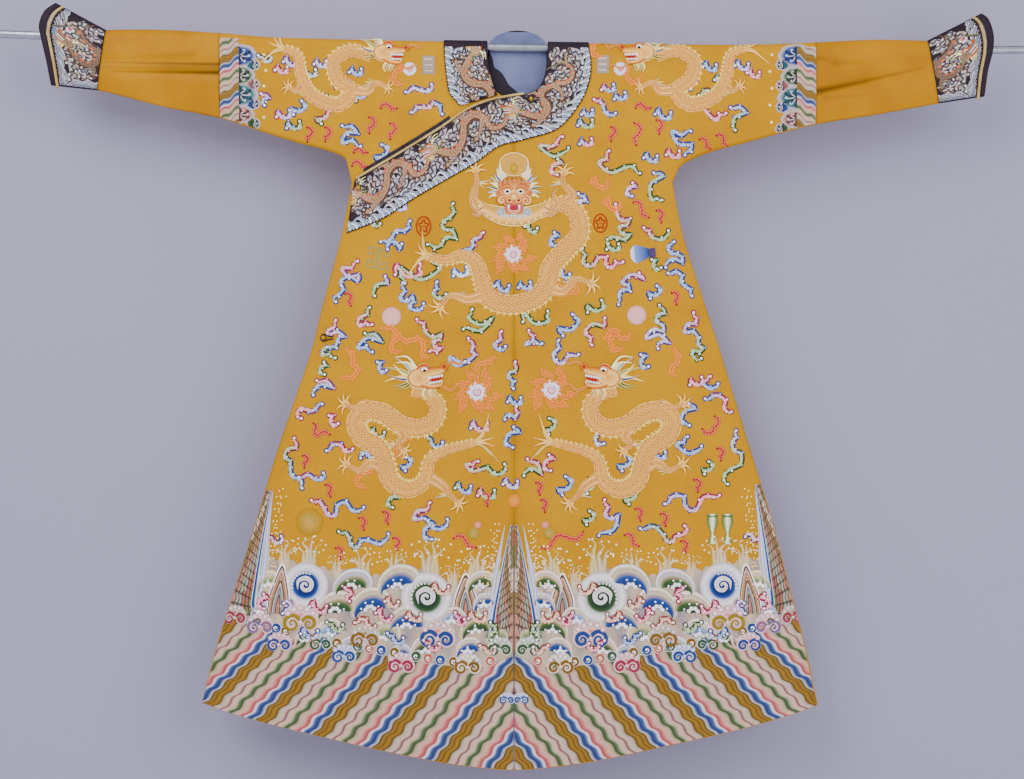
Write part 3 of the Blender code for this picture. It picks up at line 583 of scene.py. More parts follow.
@dataclass
class BodySilk:
    """One length of the robe's silk: the front, shoulder and back of a half, and its sleeve.

    Rows run from 0 at the front hem, through 1 at the armpit, 2 and 3 on the two sides of the
    rod and 4 at the armpit again, to 5 at the back hem.
    """

    side: int
    columns: int = 40
    sleeve_columns: int = 24
    underlap_centre: float = 0.012
    underlap_length: float = 0.97
    slit_top: float = -0.924
    slit_gap: float = 0.0024
    slit_run: float = 0.12
    skirt_rows: int = 70
    upper_rows: int = 24
    fold_rows: int = 14
    crowding: float = 1.3

    def shares(self) -> Array:
        """Shares from the centre line to the side, closer together near the side."""
        return 1.0 - (1.0 - stations((0.0, 1.0, self.columns))) ** self.crowding

    def seam_half(self, height: Array) -> Array:
        """Half the gap at the centre seams, which open into slits near the hem.

        Args:
            height: height above the rod's axis.

        Returns:
            Half the gap at each height.
        """
        opened = np.clip((self.slit_top - height) / self.slit_run, 0.0, 1.0)
        gap = FORM.seam_gap
        return (gap + (self.slit_gap - gap) * opened) / 2.0

    def skirt_plan(self, share: Array, drop: Array, centre: float = 0.0) -> tuple[Array, Array]:
        """Plan place in the skirt.

        Args:
            share: share of the way from the centre line to the side seam.
            drop: share of the way from the armpit down to the hem.
            centre: how far the sheet reaches past the centre line's gap.

        Returns:
            The x and z of each place.
        """
        reach = FORM.side[self.side]
        corner = reach(reach.keys[0])
        edge_height = FORM.armpit + (FORM.hem_height(corner) - FORM.armpit) * drop
        height = FORM.armpit + (FORM.hem_height(corner * share) - FORM.armpit) * drop
        inner = centre + self.seam_half(height)
        return self.side * (inner + (reach(edge_height) - inner) * share), height

    def neck_reach(self, face: Face, down: Array, centre: float) -> Array:
        """Distance from the centre line to the sheet's inner edge above the armpit.

        Args:
            face: the front or the back.
            down: share of the way from the rod down to the armpit.
            centre: how far the sheet reaches past the centre line's gap.

        Returns:
            The distances.
        """
        depth = FORM.neck_depth if face is Face.FRONT else FORM.back_neck_depth
        share = np.clip(down / (depth / -FORM.armpit), 0.0, 1.0)
        opening = (1.0 - share ** FORM.neck_power) ** (1.0 / FORM.neck_power)
        closed = centre + self.seam_half(np.zeros_like(down))
        return np.maximum(FORM.neck_half[self.side] * opening, closed)

    def _hang(self, face: Face, x: Array, z: Array) -> Array:
        """Hangs points of this sheet's front or back."""
        hidden = face is Face.FRONT and self.side < 0
        return FORM.place(face, x, z, 0.0, -1 if hidden else 0)

    def _fold(self, reach: Array, row: Array) -> Array:
        """Points of the fold over the rod, for rows from 2 to 3.

        Args:
            reach: distance from the centre line.
            row: row, as the class counts them.

        Returns:
            One row of x, y and z for each point.
        """
        x = self.side * reach
        turn = (row - 2.0) * math.pi
        out = -FORM.fold_depth * np.cos(turn)
        return joined(x, out, FORM.rod_height(x) + FORM.crest_rise(x) * np.sin(turn))

    def body(self, share: Array, row: Array) -> Array:
        """Points of the body, by share across the half and row.

        Args:
            share: share of the way from the inner edge to the side.
            row: row, as the class counts them.

        Returns:
            One row of x, y and z for each point.
        """
        points = np.zeros((len(share), 3))
        armpit_x = FORM.side[self.side](FORM.armpit)
        for face, near, far in ((Face.FRONT, row < 1.0, (row >= 1.0) & (row < 2.0)),
                                (Face.BACK, row > 4.0, (row > 3.0) & (row <= 4.0))):
            hidden = face is Face.FRONT and self.side < 0
            centre = self.underlap_centre if hidden else 0.0
            length = self.underlap_length if hidden else 1.0
            drop = (1.0 - row if face is Face.FRONT else row - 4.0)[near]
            x, z = self.skirt_plan(share[near], drop * length, centre)
            points[near] = self._hang(face, x, z)
            down = (2.0 - row if face is Face.FRONT else row - 3.0)[far]
            inner = self.neck_reach(face, down, centre)
            x = self.side * (inner + (armpit_x - inner) * share[far])
            rod = FORM.rod_height(x)
            points[far] = self._hang(face, x, rod + (FORM.armpit - rod) * down)
        over = (row >= 2.0) & (row <= 3.0)
        inner = FORM.neck_half[self.side]
        points[over] = self._fold(inner + (armpit_x - inner) * share[over], row[over])
        return points

    def sleeve(self, reach: Array, row: Array) -> Array:
        """Points of the embroidered sleeve, by distance from the centre line and row.

        Args:
            reach: distance from the centre line.
            row: row, as the class counts them.

        Returns:
            One row of x, y and z for each point.
        """
        points = np.zeros((len(reach), 3))
        x = self.side * reach
        rod = FORM.rod_height(x)
        low = FORM.arm[self.side](reach)
        for face, here in ((Face.FRONT, row < 2.0), (Face.BACK, row > 3.0)):
            down = (2.0 - row if face is Face.FRONT else row - 3.0)[here]
            z = rod[here] + (low[here] - rod[here]) * down
            points[here] = self._hang(face, x[here], z)
        over = (row >= 2.0) & (row <= 3.0)
        points[over] = self._fold(reach[over], row[over])
        return points

    def build(self, name: str, finish: Material, inside: Material) -> Object:
        """Builds the sheet.

        Args:
            name: the piece's name.
            finish: the outer side's material.
            inside: the inner side's material.

        Returns:
            The sheet's object.
        """
        upper = stations((1.0, 2.0, self.upper_rows), (2.0, 3.0, self.fold_rows),
                         (3.0, 4.0, self.upper_rows))
        whole = np.concatenate([stations((0.0, 1.0, self.skirt_rows))[:-1], upper,
                                stations((4.0, 5.0, self.skirt_rows))[1:]])
        armpit_x = float(FORM.side[self.side](FORM.armpit))
        seam = FORM.seam_x[self.side] - FORM.seam_gap / 2.0
        lattice = Lattice()
        lattice.add(self.shares(), whole, self.body)
        lattice.add(stations((armpit_x, seam, self.sleeve_columns)), upper, self.sleeve)
        return lattice.cut(name, FORM.wall, finish, inside)


@dataclass
class OuterFront(BodySilk):
    """The outer front that closes over the wearer's right side."""

    side: int = -1
    edge_tuck: float = 0.003
    upper_rows: int = 26
    last_share: float = 0.997

    def outer(self, share: Array, row: Array) -> Array:
        """Points of the sheet: rows from 0 at the hem, through 1, to 2 at the slanting edge.

        Args:
            share: share of the way from the centre line to the side.
            row: row from 0 at the hem to 2 at the slanting edge.

        Returns:
            One row of x, y and z for each point.
        """
        drop = np.clip(1.0 - row, 0.0, 1.0)
        x, z = self.skirt_plan(share, drop)
        top = FORM.overlap(x) - self.edge_tuck
        z = np.where(row > 1.0, z + (top - z) * (row - 1.0), z)
        return FORM.place(Face.FRONT, x, z, 0.0, 1)

    def build(self, name: str, finish: Material, inside: Material) -> Object:
        """Builds the sheet.

        Args:
            name: the piece's name.
            finish: the outer side's material.
            inside: the inner side's material.

        Returns:
            The sheet's object.
        """
        shares = self.shares()
        shares[-1] = self.last_share
        lattice = Lattice()
        rows = stations((0.0, 1.0, self.skirt_rows), (1.0, 2.0, self.upper_rows))
        lattice.add(shares, rows, self.outer)
        return lattice.cut(name, FORM.wall, finish, inside)


@dataclass(frozen=True)
class SleeveEnd:
    """The slanting seam between a sleeve's satin and its cuff, and the cuff's mouth."""

    seam_top: Point
    seam_low: Point
    mouth: tuple[tuple[float, float, float], ...]


SLEEVE_ENDS = {
    -1: SleeveEnd((-0.814, 0.0340), (-0.832, -0.0848),
                  ((0.00, -0.916, 0.0890), (0.14, -0.936, 0.0720), (0.32, -0.947, 0.0440),
                   (0.46, -0.944, 0.0220), (0.72, -0.933, -0.0260), (1.00, -0.925, -0.0748))),
    1: SleeveEnd((0.825, 0.0130), (0.848, -0.1110),
                 ((0.00, 0.934, 0.0680), (0.14, 0.946, 0.0560), (0.32, 0.956, 0.0240),
                  (0.46, 0.955, -0.0060), (0.72, 0.945, -0.0480), (1.00, 0.940, -0.0970))),
}


@dataclass
class SatinSleeve:
    """The plain satin length of a sleeve, folded over the rod; rows are those of BodySilk."""

    side: int
    columns: int = 44

    def reach_at(self, share: Array, height: Array) -> Array:
        """The x of a share of the way from the inner seam to the slanting one.

        Args:
            share: share of the way from the inner seam to the other one.
            height: height above the rod's axis.

        Returns:
            The x of each place.
        """
        end = SLEEVE_ENDS[self.side]
        start = FORM.seam_x[self.side] + FORM.seam_gap / 2.0
        down = (end.seam_top[1] - height) / (end.seam_top[1] - end.seam_low[1])
        far = abs(end.seam_top[0]) + (abs(end.seam_low[0]) - abs(end.seam_top[0])) * down
        return self.side * (start + (far - FORM.seam_gap / 2.0 - start) * share)

    def points(self, share: Array, row: Array) -> Array:
        """Points of the sleeve, by share along it and row.

        Args:
            share: share of the way from the inner seam to the other one.
            row: row, as the class counts them.

        Returns:
            One row of x, y and z for each point.
        """
        end = SLEEVE_ENDS[self.side]
        found = np.zeros((len(share), 3))
        for face, here in ((Face.FRONT, row < 2.0), (Face.BACK, row > 3.0)):
            down = (2.0 - row if face is Face.FRONT else row - 3.0)[here]
            rough = self.reach_at(share[here], end.seam_top[1]
                                  + (end.seam_low[1] - end.seam_top[1]) * down)
            rod = FORM.rod_height(rough)
            z = rod + (FORM.arm[self.side](np.abs(rough)) - rod) * down
            found[here] = FORM.place(face, self.reach_at(share[here], z), z, 0.0, 0)
        over = (row >= 2.0) & (row <= 3.0)
        turn = (row[over] - 2.0) * math.pi
        rough = self.reach_at(share[over], np.full(over.sum(), end.seam_top[1]))
        height = FORM.rod_height(rough) + FORM.crest_rise(rough) * np.sin(turn)
        x = self.reach_at(share[over], height)
        height = FORM.rod_height(x) + FORM.crest_rise(x) * np.sin(turn)
        found[over] = joined(x, -FORM.fold_depth * np.cos(turn), height)
        return found

    def build(self, name: str, finish: Material, inside: Material) -> Object:
        """Builds the sheet.

        Args:
            name: the piece's name.
            finish: the outer side's material.
            inside: the inner side's material.

        Returns:
            The sheet's object.
        """
        lattice = Lattice()
        rows = stations((1.0, 2.0, 34), (2.0, 3.0, 14), (3.0, 4.0, 26))
        lattice.add(stations((0.0, 1.0, self.columns)), rows, self.points)
        return lattice.cut(name, FORM.wall, finish, inside)


@dataclass
class HoofCuff:
    """A stiff hoof-shaped cuff, by share out from its seam and share down from its top."""

    side: int
    length: float = 0.086
    mouth_round: float = 0.03
    piping_radius: float = 0.0028
    piping_place: float = 0.86

    def __post_init__(self) -> None:
        """Sets the curves of the cuff's two ends."""
        end = SLEEVE_ENDS[self.side]
        self.seam_x = Curve((0.0, end.seam_top[0]), (1.0, end.seam_low[0]))
        self.seam_z = Curve((0.0, end.seam_top[1]), (1.0, end.seam_low[1]))
        self.mouth_x = Curve(*[(share, x) for share, x, _ in end.mouth])
        self.mouth_z = Curve(*[(share, z) for share, _, z in end.mouth])

    def place(self, face: Face, share: Array, down: Array,
              lift: Array | float = 0.0) -> Array:
        """Lays points on the cuff.

        Args:
            face: the front or the back.
            share: share of the way from the seam to the mouth.
            down: share of the way from the top edge to the lower one.
            lift: distance out of the cloth's middle.

        Returns:
            One row of x, y and z for each point.
        """
        share, down = np.broadcast_arrays(np.asarray(share, float), np.asarray(down, float))
        x = self.seam_x(down) + (self.mouth_x(down) - self.seam_x(down)) * share
        z = self.seam_z(down) + (self.mouth_z(down) - self.seam_z(down)) * share
        top = self.seam_z(0.0) + (self.mouth_z(0.0) - self.seam_z(0.0)) * share
        low = self.seam_z(1.0) + (self.mouth_z(1.0) - self.seam_z(1.0)) * share
        seam = (FORM.solid_wall + FORM.seam_gap) / 2.0
        rounding = FORM.crest_rise(x) + (self.mouth_round - FORM.crest_rise(x)) * share
        near_top = np.clip((top - z) / rounding, 0.0, 1.0)
        near_low = np.clip((z - low) / FORM.edge_round, 0.0, 1.0)
        depth = FORM.fold_depth * np.sqrt(1.0 - (1.0 - near_top) ** 2)
        under = seam + (FORM.fold_depth - seam) * (1.0 - (1.0 - near_low) ** 2)
        depth = np.minimum(depth, under)
        closed = (down <= 0.0) & (np.asarray(lift) == 0.0)
        depth = np.where(closed, 0.0, depth + lift)
        return joined(x, depth if face is Face.BACK else -depth, z)

    def _round(self, share: Array, row: Array) -> Array:
        """Points round the cuff: rows from -1 underneath in front to 1 underneath behind.

        Args:
            share: share of the way from the seam to the mouth.
            row: row from -1 to 1, with 0 at the top edge.

        Returns:
            One row of x, y and z for each point.
        """
        down = np.abs(row) ** 1.8
        front = self.place(Face.FRONT, share, down)
        back = self.place(Face.BACK, share, down)
        return np.where((row < 0.0)[:, None], front, back)

    def build(self, prefix: str, finish: Material, inside: Material) -> list[Object]:
        """Builds the cuff's field and the strip at its mouth.

        Args:
            prefix: how the names of both pieces start.
            finish: the outer side's material.
            inside: the inner side's material.

        Returns:
            The field and the strip.
        """
        gap = (self.piping_radius + FORM.seam_gap) / self.length
        first = FORM.seam_gap / self.length
        rows = stations((-1.0, 1.0, 72))
        made = []
        for name, start, end, steps in (("field", first, self.piping_place - gap, 20),
                                        ("edge_strip", self.piping_place + gap, 1.0, 3)):
            lattice = Lattice()
            lattice.add(stations((start, end, steps)), rows, self._round)
            made.append(lattice.cut(f"{prefix}_{name}", FORM.wall, finish, inside))
        return made


@dataclass
class CollarBand:
    """The dark band: over the shoulders, round the neck, and down the overlap's edge."""

    wall: float = 0.0015
    lift: float = 0.003
    nape_rise: float = 0.037
    nape_middle: float = 0.007
    nape_half: float = 0.059
    across: int = 16

    def __post_init__(self) -> None:
        """Sets the lower edge of the band behind the neck."""
        self.nape_low = Curve((-0.140, -0.0060), (-0.118, -0.0230), (-0.064, -0.0420),
                              (0.007, -0.0500), (0.078, -0.0420), (0.130, -0.0230),
                              (0.149, -0.0060))

    def _band(self, plan: BandPlan, across: Array, row: Array) -> Array:
        """Points of a front band: rows from -1 to 0 over the shoulder, then 0 to 1 along it.

        Args:
            plan: the band's plan.
            across: share of the way from the inner edge to the outer one.
            row: row from -1 behind the shoulder to 1 at the far end.

        Returns:
            One row of x, y and z for each point.
        """
        x, z = plan(np.clip(row, 0.0, 1.0), across)
        z = np.minimum(z, FORM.rod_height(x))
        layer = np.where(x >= 0.0, 0, 1 if plan is FRONT_BAND else -1)
        points = FORM.place(Face.FRONT, x, z, self.lift, layer)
        over = row < 0.0
        turn = (row[over] + 0.5) * math.pi
        y = -(FORM.fold_depth + self.lift) * np.sin(turn)
        rise = (FORM.crest_rise(x[over]) + self.lift) * np.cos(turn)
        points[over] = joined(x[over], y, FORM.rod_height(x[over]) + rise)
        return points

    def nape_top(self, x: Array) -> Array:
        """Upper edge of the band behind the neck, which stands between the shoulders.

        Args:
            x: distance to the right of the centre line.

        Returns:
            The heights.
        """
        shoulder = FORM.rod_height(x) - FORM.seam_gap
        reach = np.clip(np.abs(x - self.nape_middle) / self.nape_half, 0.0, 1.0)
        return shoulder + (self.nape_rise - shoulder) * np.sqrt(1.0 - reach ** 2)

    def stand(self, x: Array, z: Array, lift: Array | float) -> Array:
        """Points behind the neck: below the rod they hang, above it they stand straight up.

        Args:
            x: distance to the right of the centre line.
            z: height above the rod's axis.
            lift: distance out of the cloth's middle.

        Returns:
            One row of x, y and z for each point.
        """
        below = np.minimum(z, FORM.rod_height(x))
        points = FORM.place(Face.BACK, x, below, lift)
        points[:, 2] = z
        return points

    def _nape(self, x: Array, share: Array) -> Array:
        """Points of the band behind the neck, by x and share of its height."""
        low = self.nape_low(x)
        return self.stand(x, low + (self.nape_top(x) - low) * share, self.lift)

    def build(self, finish: Material) -> list[Object]:
        """Builds the three lengths of the band.

        Args:
            finish: the band's material.

        Returns:
            The three lengths.
        """
        shares = stations((0.0, 1.0, self.across))
        front = Lattice()
        front.add(shares, stations((-1.0, 0.0, 16), (0.0, 1.0, 110)),
                  lambda u, v: self._band(FRONT_BAND, u, v))
        shoulder = Lattice()
        shoulder.add(shares, stations((-1.0, 0.0, 16), (0.0, 1.0, 24)),
                     lambda u, v: self._band(SHOULDER_BAND, u, v))
        turn = np.linspace(-1.0, 1.0, 29)
        bulge = self.nape_middle + self.nape_half * np.sin(turn * math.pi / 2.0)
        columns = np.concatenate([np.linspace(-0.140, bulge[0], 9)[:-1], bulge,
                                  np.linspace(bulge[-1], 0.149, 9)[1:]])
        back = Lattice()
        back.add(columns, stations((0.0, 1.0, 14)), self._nape)
        return [lattice.cut(name, self.wall, finish, outward=TOWARDS_BACK)
                for lattice, name in ((front, "band_over_front"), (shoulder, "band_over_shoulder"),
                                      (back, "band_behind_neck"))]


@dataclass
class NeckLining:
    """The lining that shows inside the neck, behind the rod."""

    wall: float = 0.001
    middle: float = 0.007
    half: float = 0.0588
    low: float = -0.119
    high: float = 0.0335
    round_top: float = 0.037
    ripple: float = 0.0006
    ripple_run: float = 0.05
    behind: float = 0.0097
    back_step: float = 0.0026
    step_start: float = 0.008
    step_run: float = 0.012

    def _points(self, share: Array, z: Array) -> Array:
        """Points of the lining: it hangs behind the rod and narrows round the neck's back.

        Args:
            share: share of the way out from the middle, -1 to 1.
            z: height above the rod's axis.

        Returns:
            One row of x, y and z for each point.
        """
        narrow = np.sqrt(np.maximum(1.0 - (np.maximum(z, 0.0) / self.round_top) ** 2, 0.0))
        x = self.middle + self.half * narrow * share
        ripple = (self.ripple * np.sin(share * 4.2 + z * 40.0)
                  * np.clip(-z / self.ripple_run, 0.0, 1.0))
        back = self.back_step * np.clip((z - self.step_start) / self.step_run, 0.0, 1.0)
        y = self.behind + back + ripple
        return joined(x, y, z)

    def build(self, finish: Material) -> Object:
        """Builds the lining.

        Args:
            finish: the lining's material.

        Returns:
            The lining's object.
        """
        lattice = Lattice()
        lattice.add(np.linspace(-1.0, 1.0, 41), np.linspace(self.low, self.high, 49), self._points)
        return lattice.cut("lining_of_neck", self.wall, finish)

    def ground(self) -> Ground:
        """The lining as a ground.

        Returns:
            The ground.
        """
        def place(x: Array, z: Array, lift: Array) -> Array:
            """Lays chart places on the lining's front."""
            points = self._points(np.clip((x - self.middle) / self.half, -1.0, 1.0), z)
            return points - joined(0.0 * x, lift, 0.0 * x)
        return Ground(place, self.wall / 2.0 + 0.0002, False)

    @staticmethod
    def facing(pen: Pen) -> None:
        """Sews a dark strip on the lining, widening downwards, on the side where the front laps under."""
        pen.ribbon(((487, 49), (489, 58), (490, 69), (495, 76), (499, 87), (504, 98)),
                   (2, 7, 10, 17, 21, 30), plain(silk(44, 38, 50), 0.0003), spacing=3.0)


# ------------------------------------------------------------------------------ needlework

@dataclass(frozen=True)
class Row:
    """One row of stitches in a ribbon: where it lies across, how high, and its silk."""

    across: float
    rise: float
    colour: Colour


def dyed(dye: Silk | Colour) -> Colour:
    """The colour of a named silk, or the colour itself."""
    return dye.value if isinstance(dye, Silk) else dye


def shade(dye: Silk | Colour, share: float, other: Silk | Colour) -> Colour:
    """Mixes two silks; share is how much of the other one is in it."""
    return tuple(a + (b - a) * share for a, b in zip(dyed(dye), dyed(other)))


def rows_of(*stops: tuple[float, Silk | Colour], rise: float = 0.0005) -> tuple[Row, ...]:
    """Rows of stitches with a rounded top; each stop is a place across and its silk.

    Args:
        stops: pairs of a place across, -1 to 1, and its silk.
        rise: height of the middle over the edges.

    Returns:
        The rows.
    """
    made = []
    for across, dye in stops:
        made.append(Row(across, rise * math.sqrt(max(1.0 - across * across, 0.0)), dyed(dye)))
    return tuple(made)


def bordered(core: Silk | Colour, edge: Silk | Colour, share: float = 0.6,
             rise: float = 0.0005) -> tuple[Row, ...]:
    """Rows of a ribbon with a plain core and an edge of another silk on both sides."""
    return rows_of((-1.0, edge), (-share, edge), (0.12 - share, core), (share - 0.12, core),
                   (share, edge), (1.0, edge), rise=rise)


def plain(dye: Silk | Colour, rise: float = 0.0005) -> tuple[Row, ...]:
    """Rows of a ribbon in one silk."""
    return rows_of((-1.0, dye), (0.0, dye), (1.0, dye), rise=rise)


@dataclass(frozen=True)
class Patch:
    """A unit patch that stitches are stamped from."""

    first: Array
    second: Array
    faces: tuple[Array, ...]

    def turned(self, flip: bool) -> Patch:
        """The patch, laid the other way round where flip is true."""
        return Patch(self.first, self.second, tuple(f[:, ::-1] if flip else f for f in self.faces))


PATCHES: dict[tuple[str, int, int], Patch] = {}


def strip_patch(steps: int, columns: int) -> Patch:
    """A strip of quads, by step along it and column across it.

    Args:
        steps: number of steps along it.
        columns: columns across it.

    Returns:
        The patch, which is made once for each size.
    """
    key = ("strip", steps, columns)
    if key not in PATCHES:
        shape = bmesh.new()
        bmesh.ops.create_grid(shape, x_segments=steps, y_segments=columns, size=1.0)
        flat = np.array([vert.co[:2] for vert in shape.verts])
        flat = np.rint((flat + 1.0) / 2.0 * [steps, columns]).astype(int)
        faces = np.array([[vert.index for vert in face.verts] for face in shape.faces])
        shape.free()
        PATCHES[key] = Patch(flat[:, 0], flat[:, 1], (faces,))
    return PATCHES[key]


def disc_patch(sides: int, rings: int) -> Patch:
    """A disc, by ring from its rim (0) to its centre and by angle; the angle is in sides.

    Args:
        sides: number of its sides.
        rings: number of bands from rim to middle.

    Returns:
        The patch, which is made once for each size.
    """
    key = ("disc", sides, rings)
    if key not in PATCHES:
        shape = bmesh.new()
        bmesh.ops.create_circle(shape, cap_ends=True, segments=sides, radius=1.0)
        inner = shape.faces[:]
        for _ in range(rings - 1):
            bmesh.ops.inset_region(shape, faces=inner, thickness=0.8 / rings,
                                   use_even_offset=False, use_boundary=True)
        bmesh.ops.poke(shape, faces=inner)
        shape.verts.index_update()
        places = np.array([vert.co[:2] for vert in shape.verts])
        reach = np.hypot(places[:, 0], places[:, 1])
        levels = np.unique(np.round(reach, 3))[::-1]
        ring = np.argmin(np.abs(reach[:, None] - levels[None, :]), axis=1)
        turn = np.arctan2(places[:, 1], places[:, 0])
        faces = [[vert.index for vert in face.verts] for face in shape.faces]
        quads = np.array([face for face in faces if len(face) == 4], int).reshape(-1, 4)
        threes = np.array([face for face in faces if len(face) == 3], int).reshape(-1, 3)
        shape.free()
        PATCHES[key] = Patch(ring, turn, (quads, threes))
    return PATCHES[key]


@dataclass
class Ground:
    """A cloth surface that embroidery is sewn on."""

    place: Callable[[Array, Array, Array], Array]
    surface: float
    flip: bool


@dataclass
class Needlework:
    """Stitches that are sewn on one ground and become one joined mesh."""

    name: str
    ground: Ground
    finish: Material
    plans: list[Array] = field(default_factory=list)
    lifts: list[Array] = field(default_factory=list)
    colours: list[Array] = field(default_factory=list)
    threads: list[Array] = field(default_factory=list)
    faces: list[Array] = field(default_factory=list)
    count: int = 0

    def add(self, patch: Patch, plan: Array, lift: Array, colour: Array, thread: Array) -> None:
        """Adds one stamped patch.

        Args:
            patch: the patch that it is stamped from.
            plan: where its points lie in plan, in metres.
            lift: how far they lie above the cloth.
            colour: their silks.
            thread: where they lie along and across the threads.
        """
        self.faces += [faces + self.count for faces in patch.faces if len(faces)]
        self.plans.append(plan)
        self.lifts.append(lift)
        self.colours.append(colour)
        self.threads.append(thread)
        self.count += len(plan)

    def sew(self) -> Object:
        """Lays all stitches on the ground and makes the mesh.

        Returns:
            The needlework's object.
        """
        plan, lift = np.concatenate(self.plans), np.concatenate(self.lifts)
        points = self.ground.place(plan[:, 0], plan[:, 1], self.ground.surface + lift)
        loops = np.concatenate([(part[:, ::-1] if self.ground.flip else part).ravel()
                                for part in self.faces])
        sizes = np.concatenate([np.full(len(part), part.shape[1]) for part in self.faces])
        mesh = bpy.data.meshes.new(self.name)
        mesh.vertices.add(len(points))
        mesh.vertices.foreach_set("co", points.astype(np.float32).ravel())
        mesh.loops.add(len(loops))
        mesh.loops.foreach_set("vertex_index", loops.astype(np.int32))
        mesh.polygons.add(len(sizes))
        starts = np.concatenate([[0], np.cumsum(sizes)[:-1]])
        mesh.polygons.foreach_set("loop_start", starts.astype(np.int32))
        mesh.update(calc_edges=True)
        threads = np.concatenate(self.threads)[loops].astype(np.float32)
        mesh.uv_layers.new(name="threads").data.foreach_set("uv", threads.ravel())
        silks = mesh.color_attributes.new(name="silk", type="FLOAT_COLOR", domain="POINT")
        colour = np.ones((len(points), 4), np.float32)
        colour[:, :3] = np.concatenate(self.colours)
        silks.data.foreach_set("color", colour.ravel())
        mesh.shade_smooth()
        mesh.materials.append(self.finish)
        made = new_object(self.name, mesh)
        LOG.info("%s: %d triangles", self.name, int((sizes - 2).sum()))
        return made


def smooth_line(points: Array, spacing: float) -> Array:
    """Reads a smooth line through points, about spacing apart.

    Args:
        points: what the line runs through.
        spacing: greatest distance between what is read.

    Returns:
        The points read.
    """
    if len(points) < 3:
        length = float(np.hypot(*(points[-1] - points[0])))
        share = np.linspace(0.0, 1.0, max(int(math.ceil(length / spacing)), 1) + 1)[:, None]
        return points[0] + (points[-1] - points[0]) * share
    closed = np.vstack([2.0 * points[0] - points[1], points, 2.0 * points[-1] - points[-2]])
    parts = []
    for p0, p1, p2, p3 in zip(closed, closed[1:], closed[2:], closed[3:]):
        steps = max(int(math.ceil(float(np.hypot(*(p2 - p1))) / spacing)), 1)
        t = (np.arange(steps) / steps)[:, None]
        parts.append(0.5 * (2.0 * p1 + (p2 - p0) * t + (2.0 * p0 - 5.0 * p1 + 4.0 * p2 - p3)
                            * t ** 2 + (3.0 * p1 - p0 - 3.0 * p2 + p3) * t ** 3))
    return np.vstack(parts + [points[-1:]])


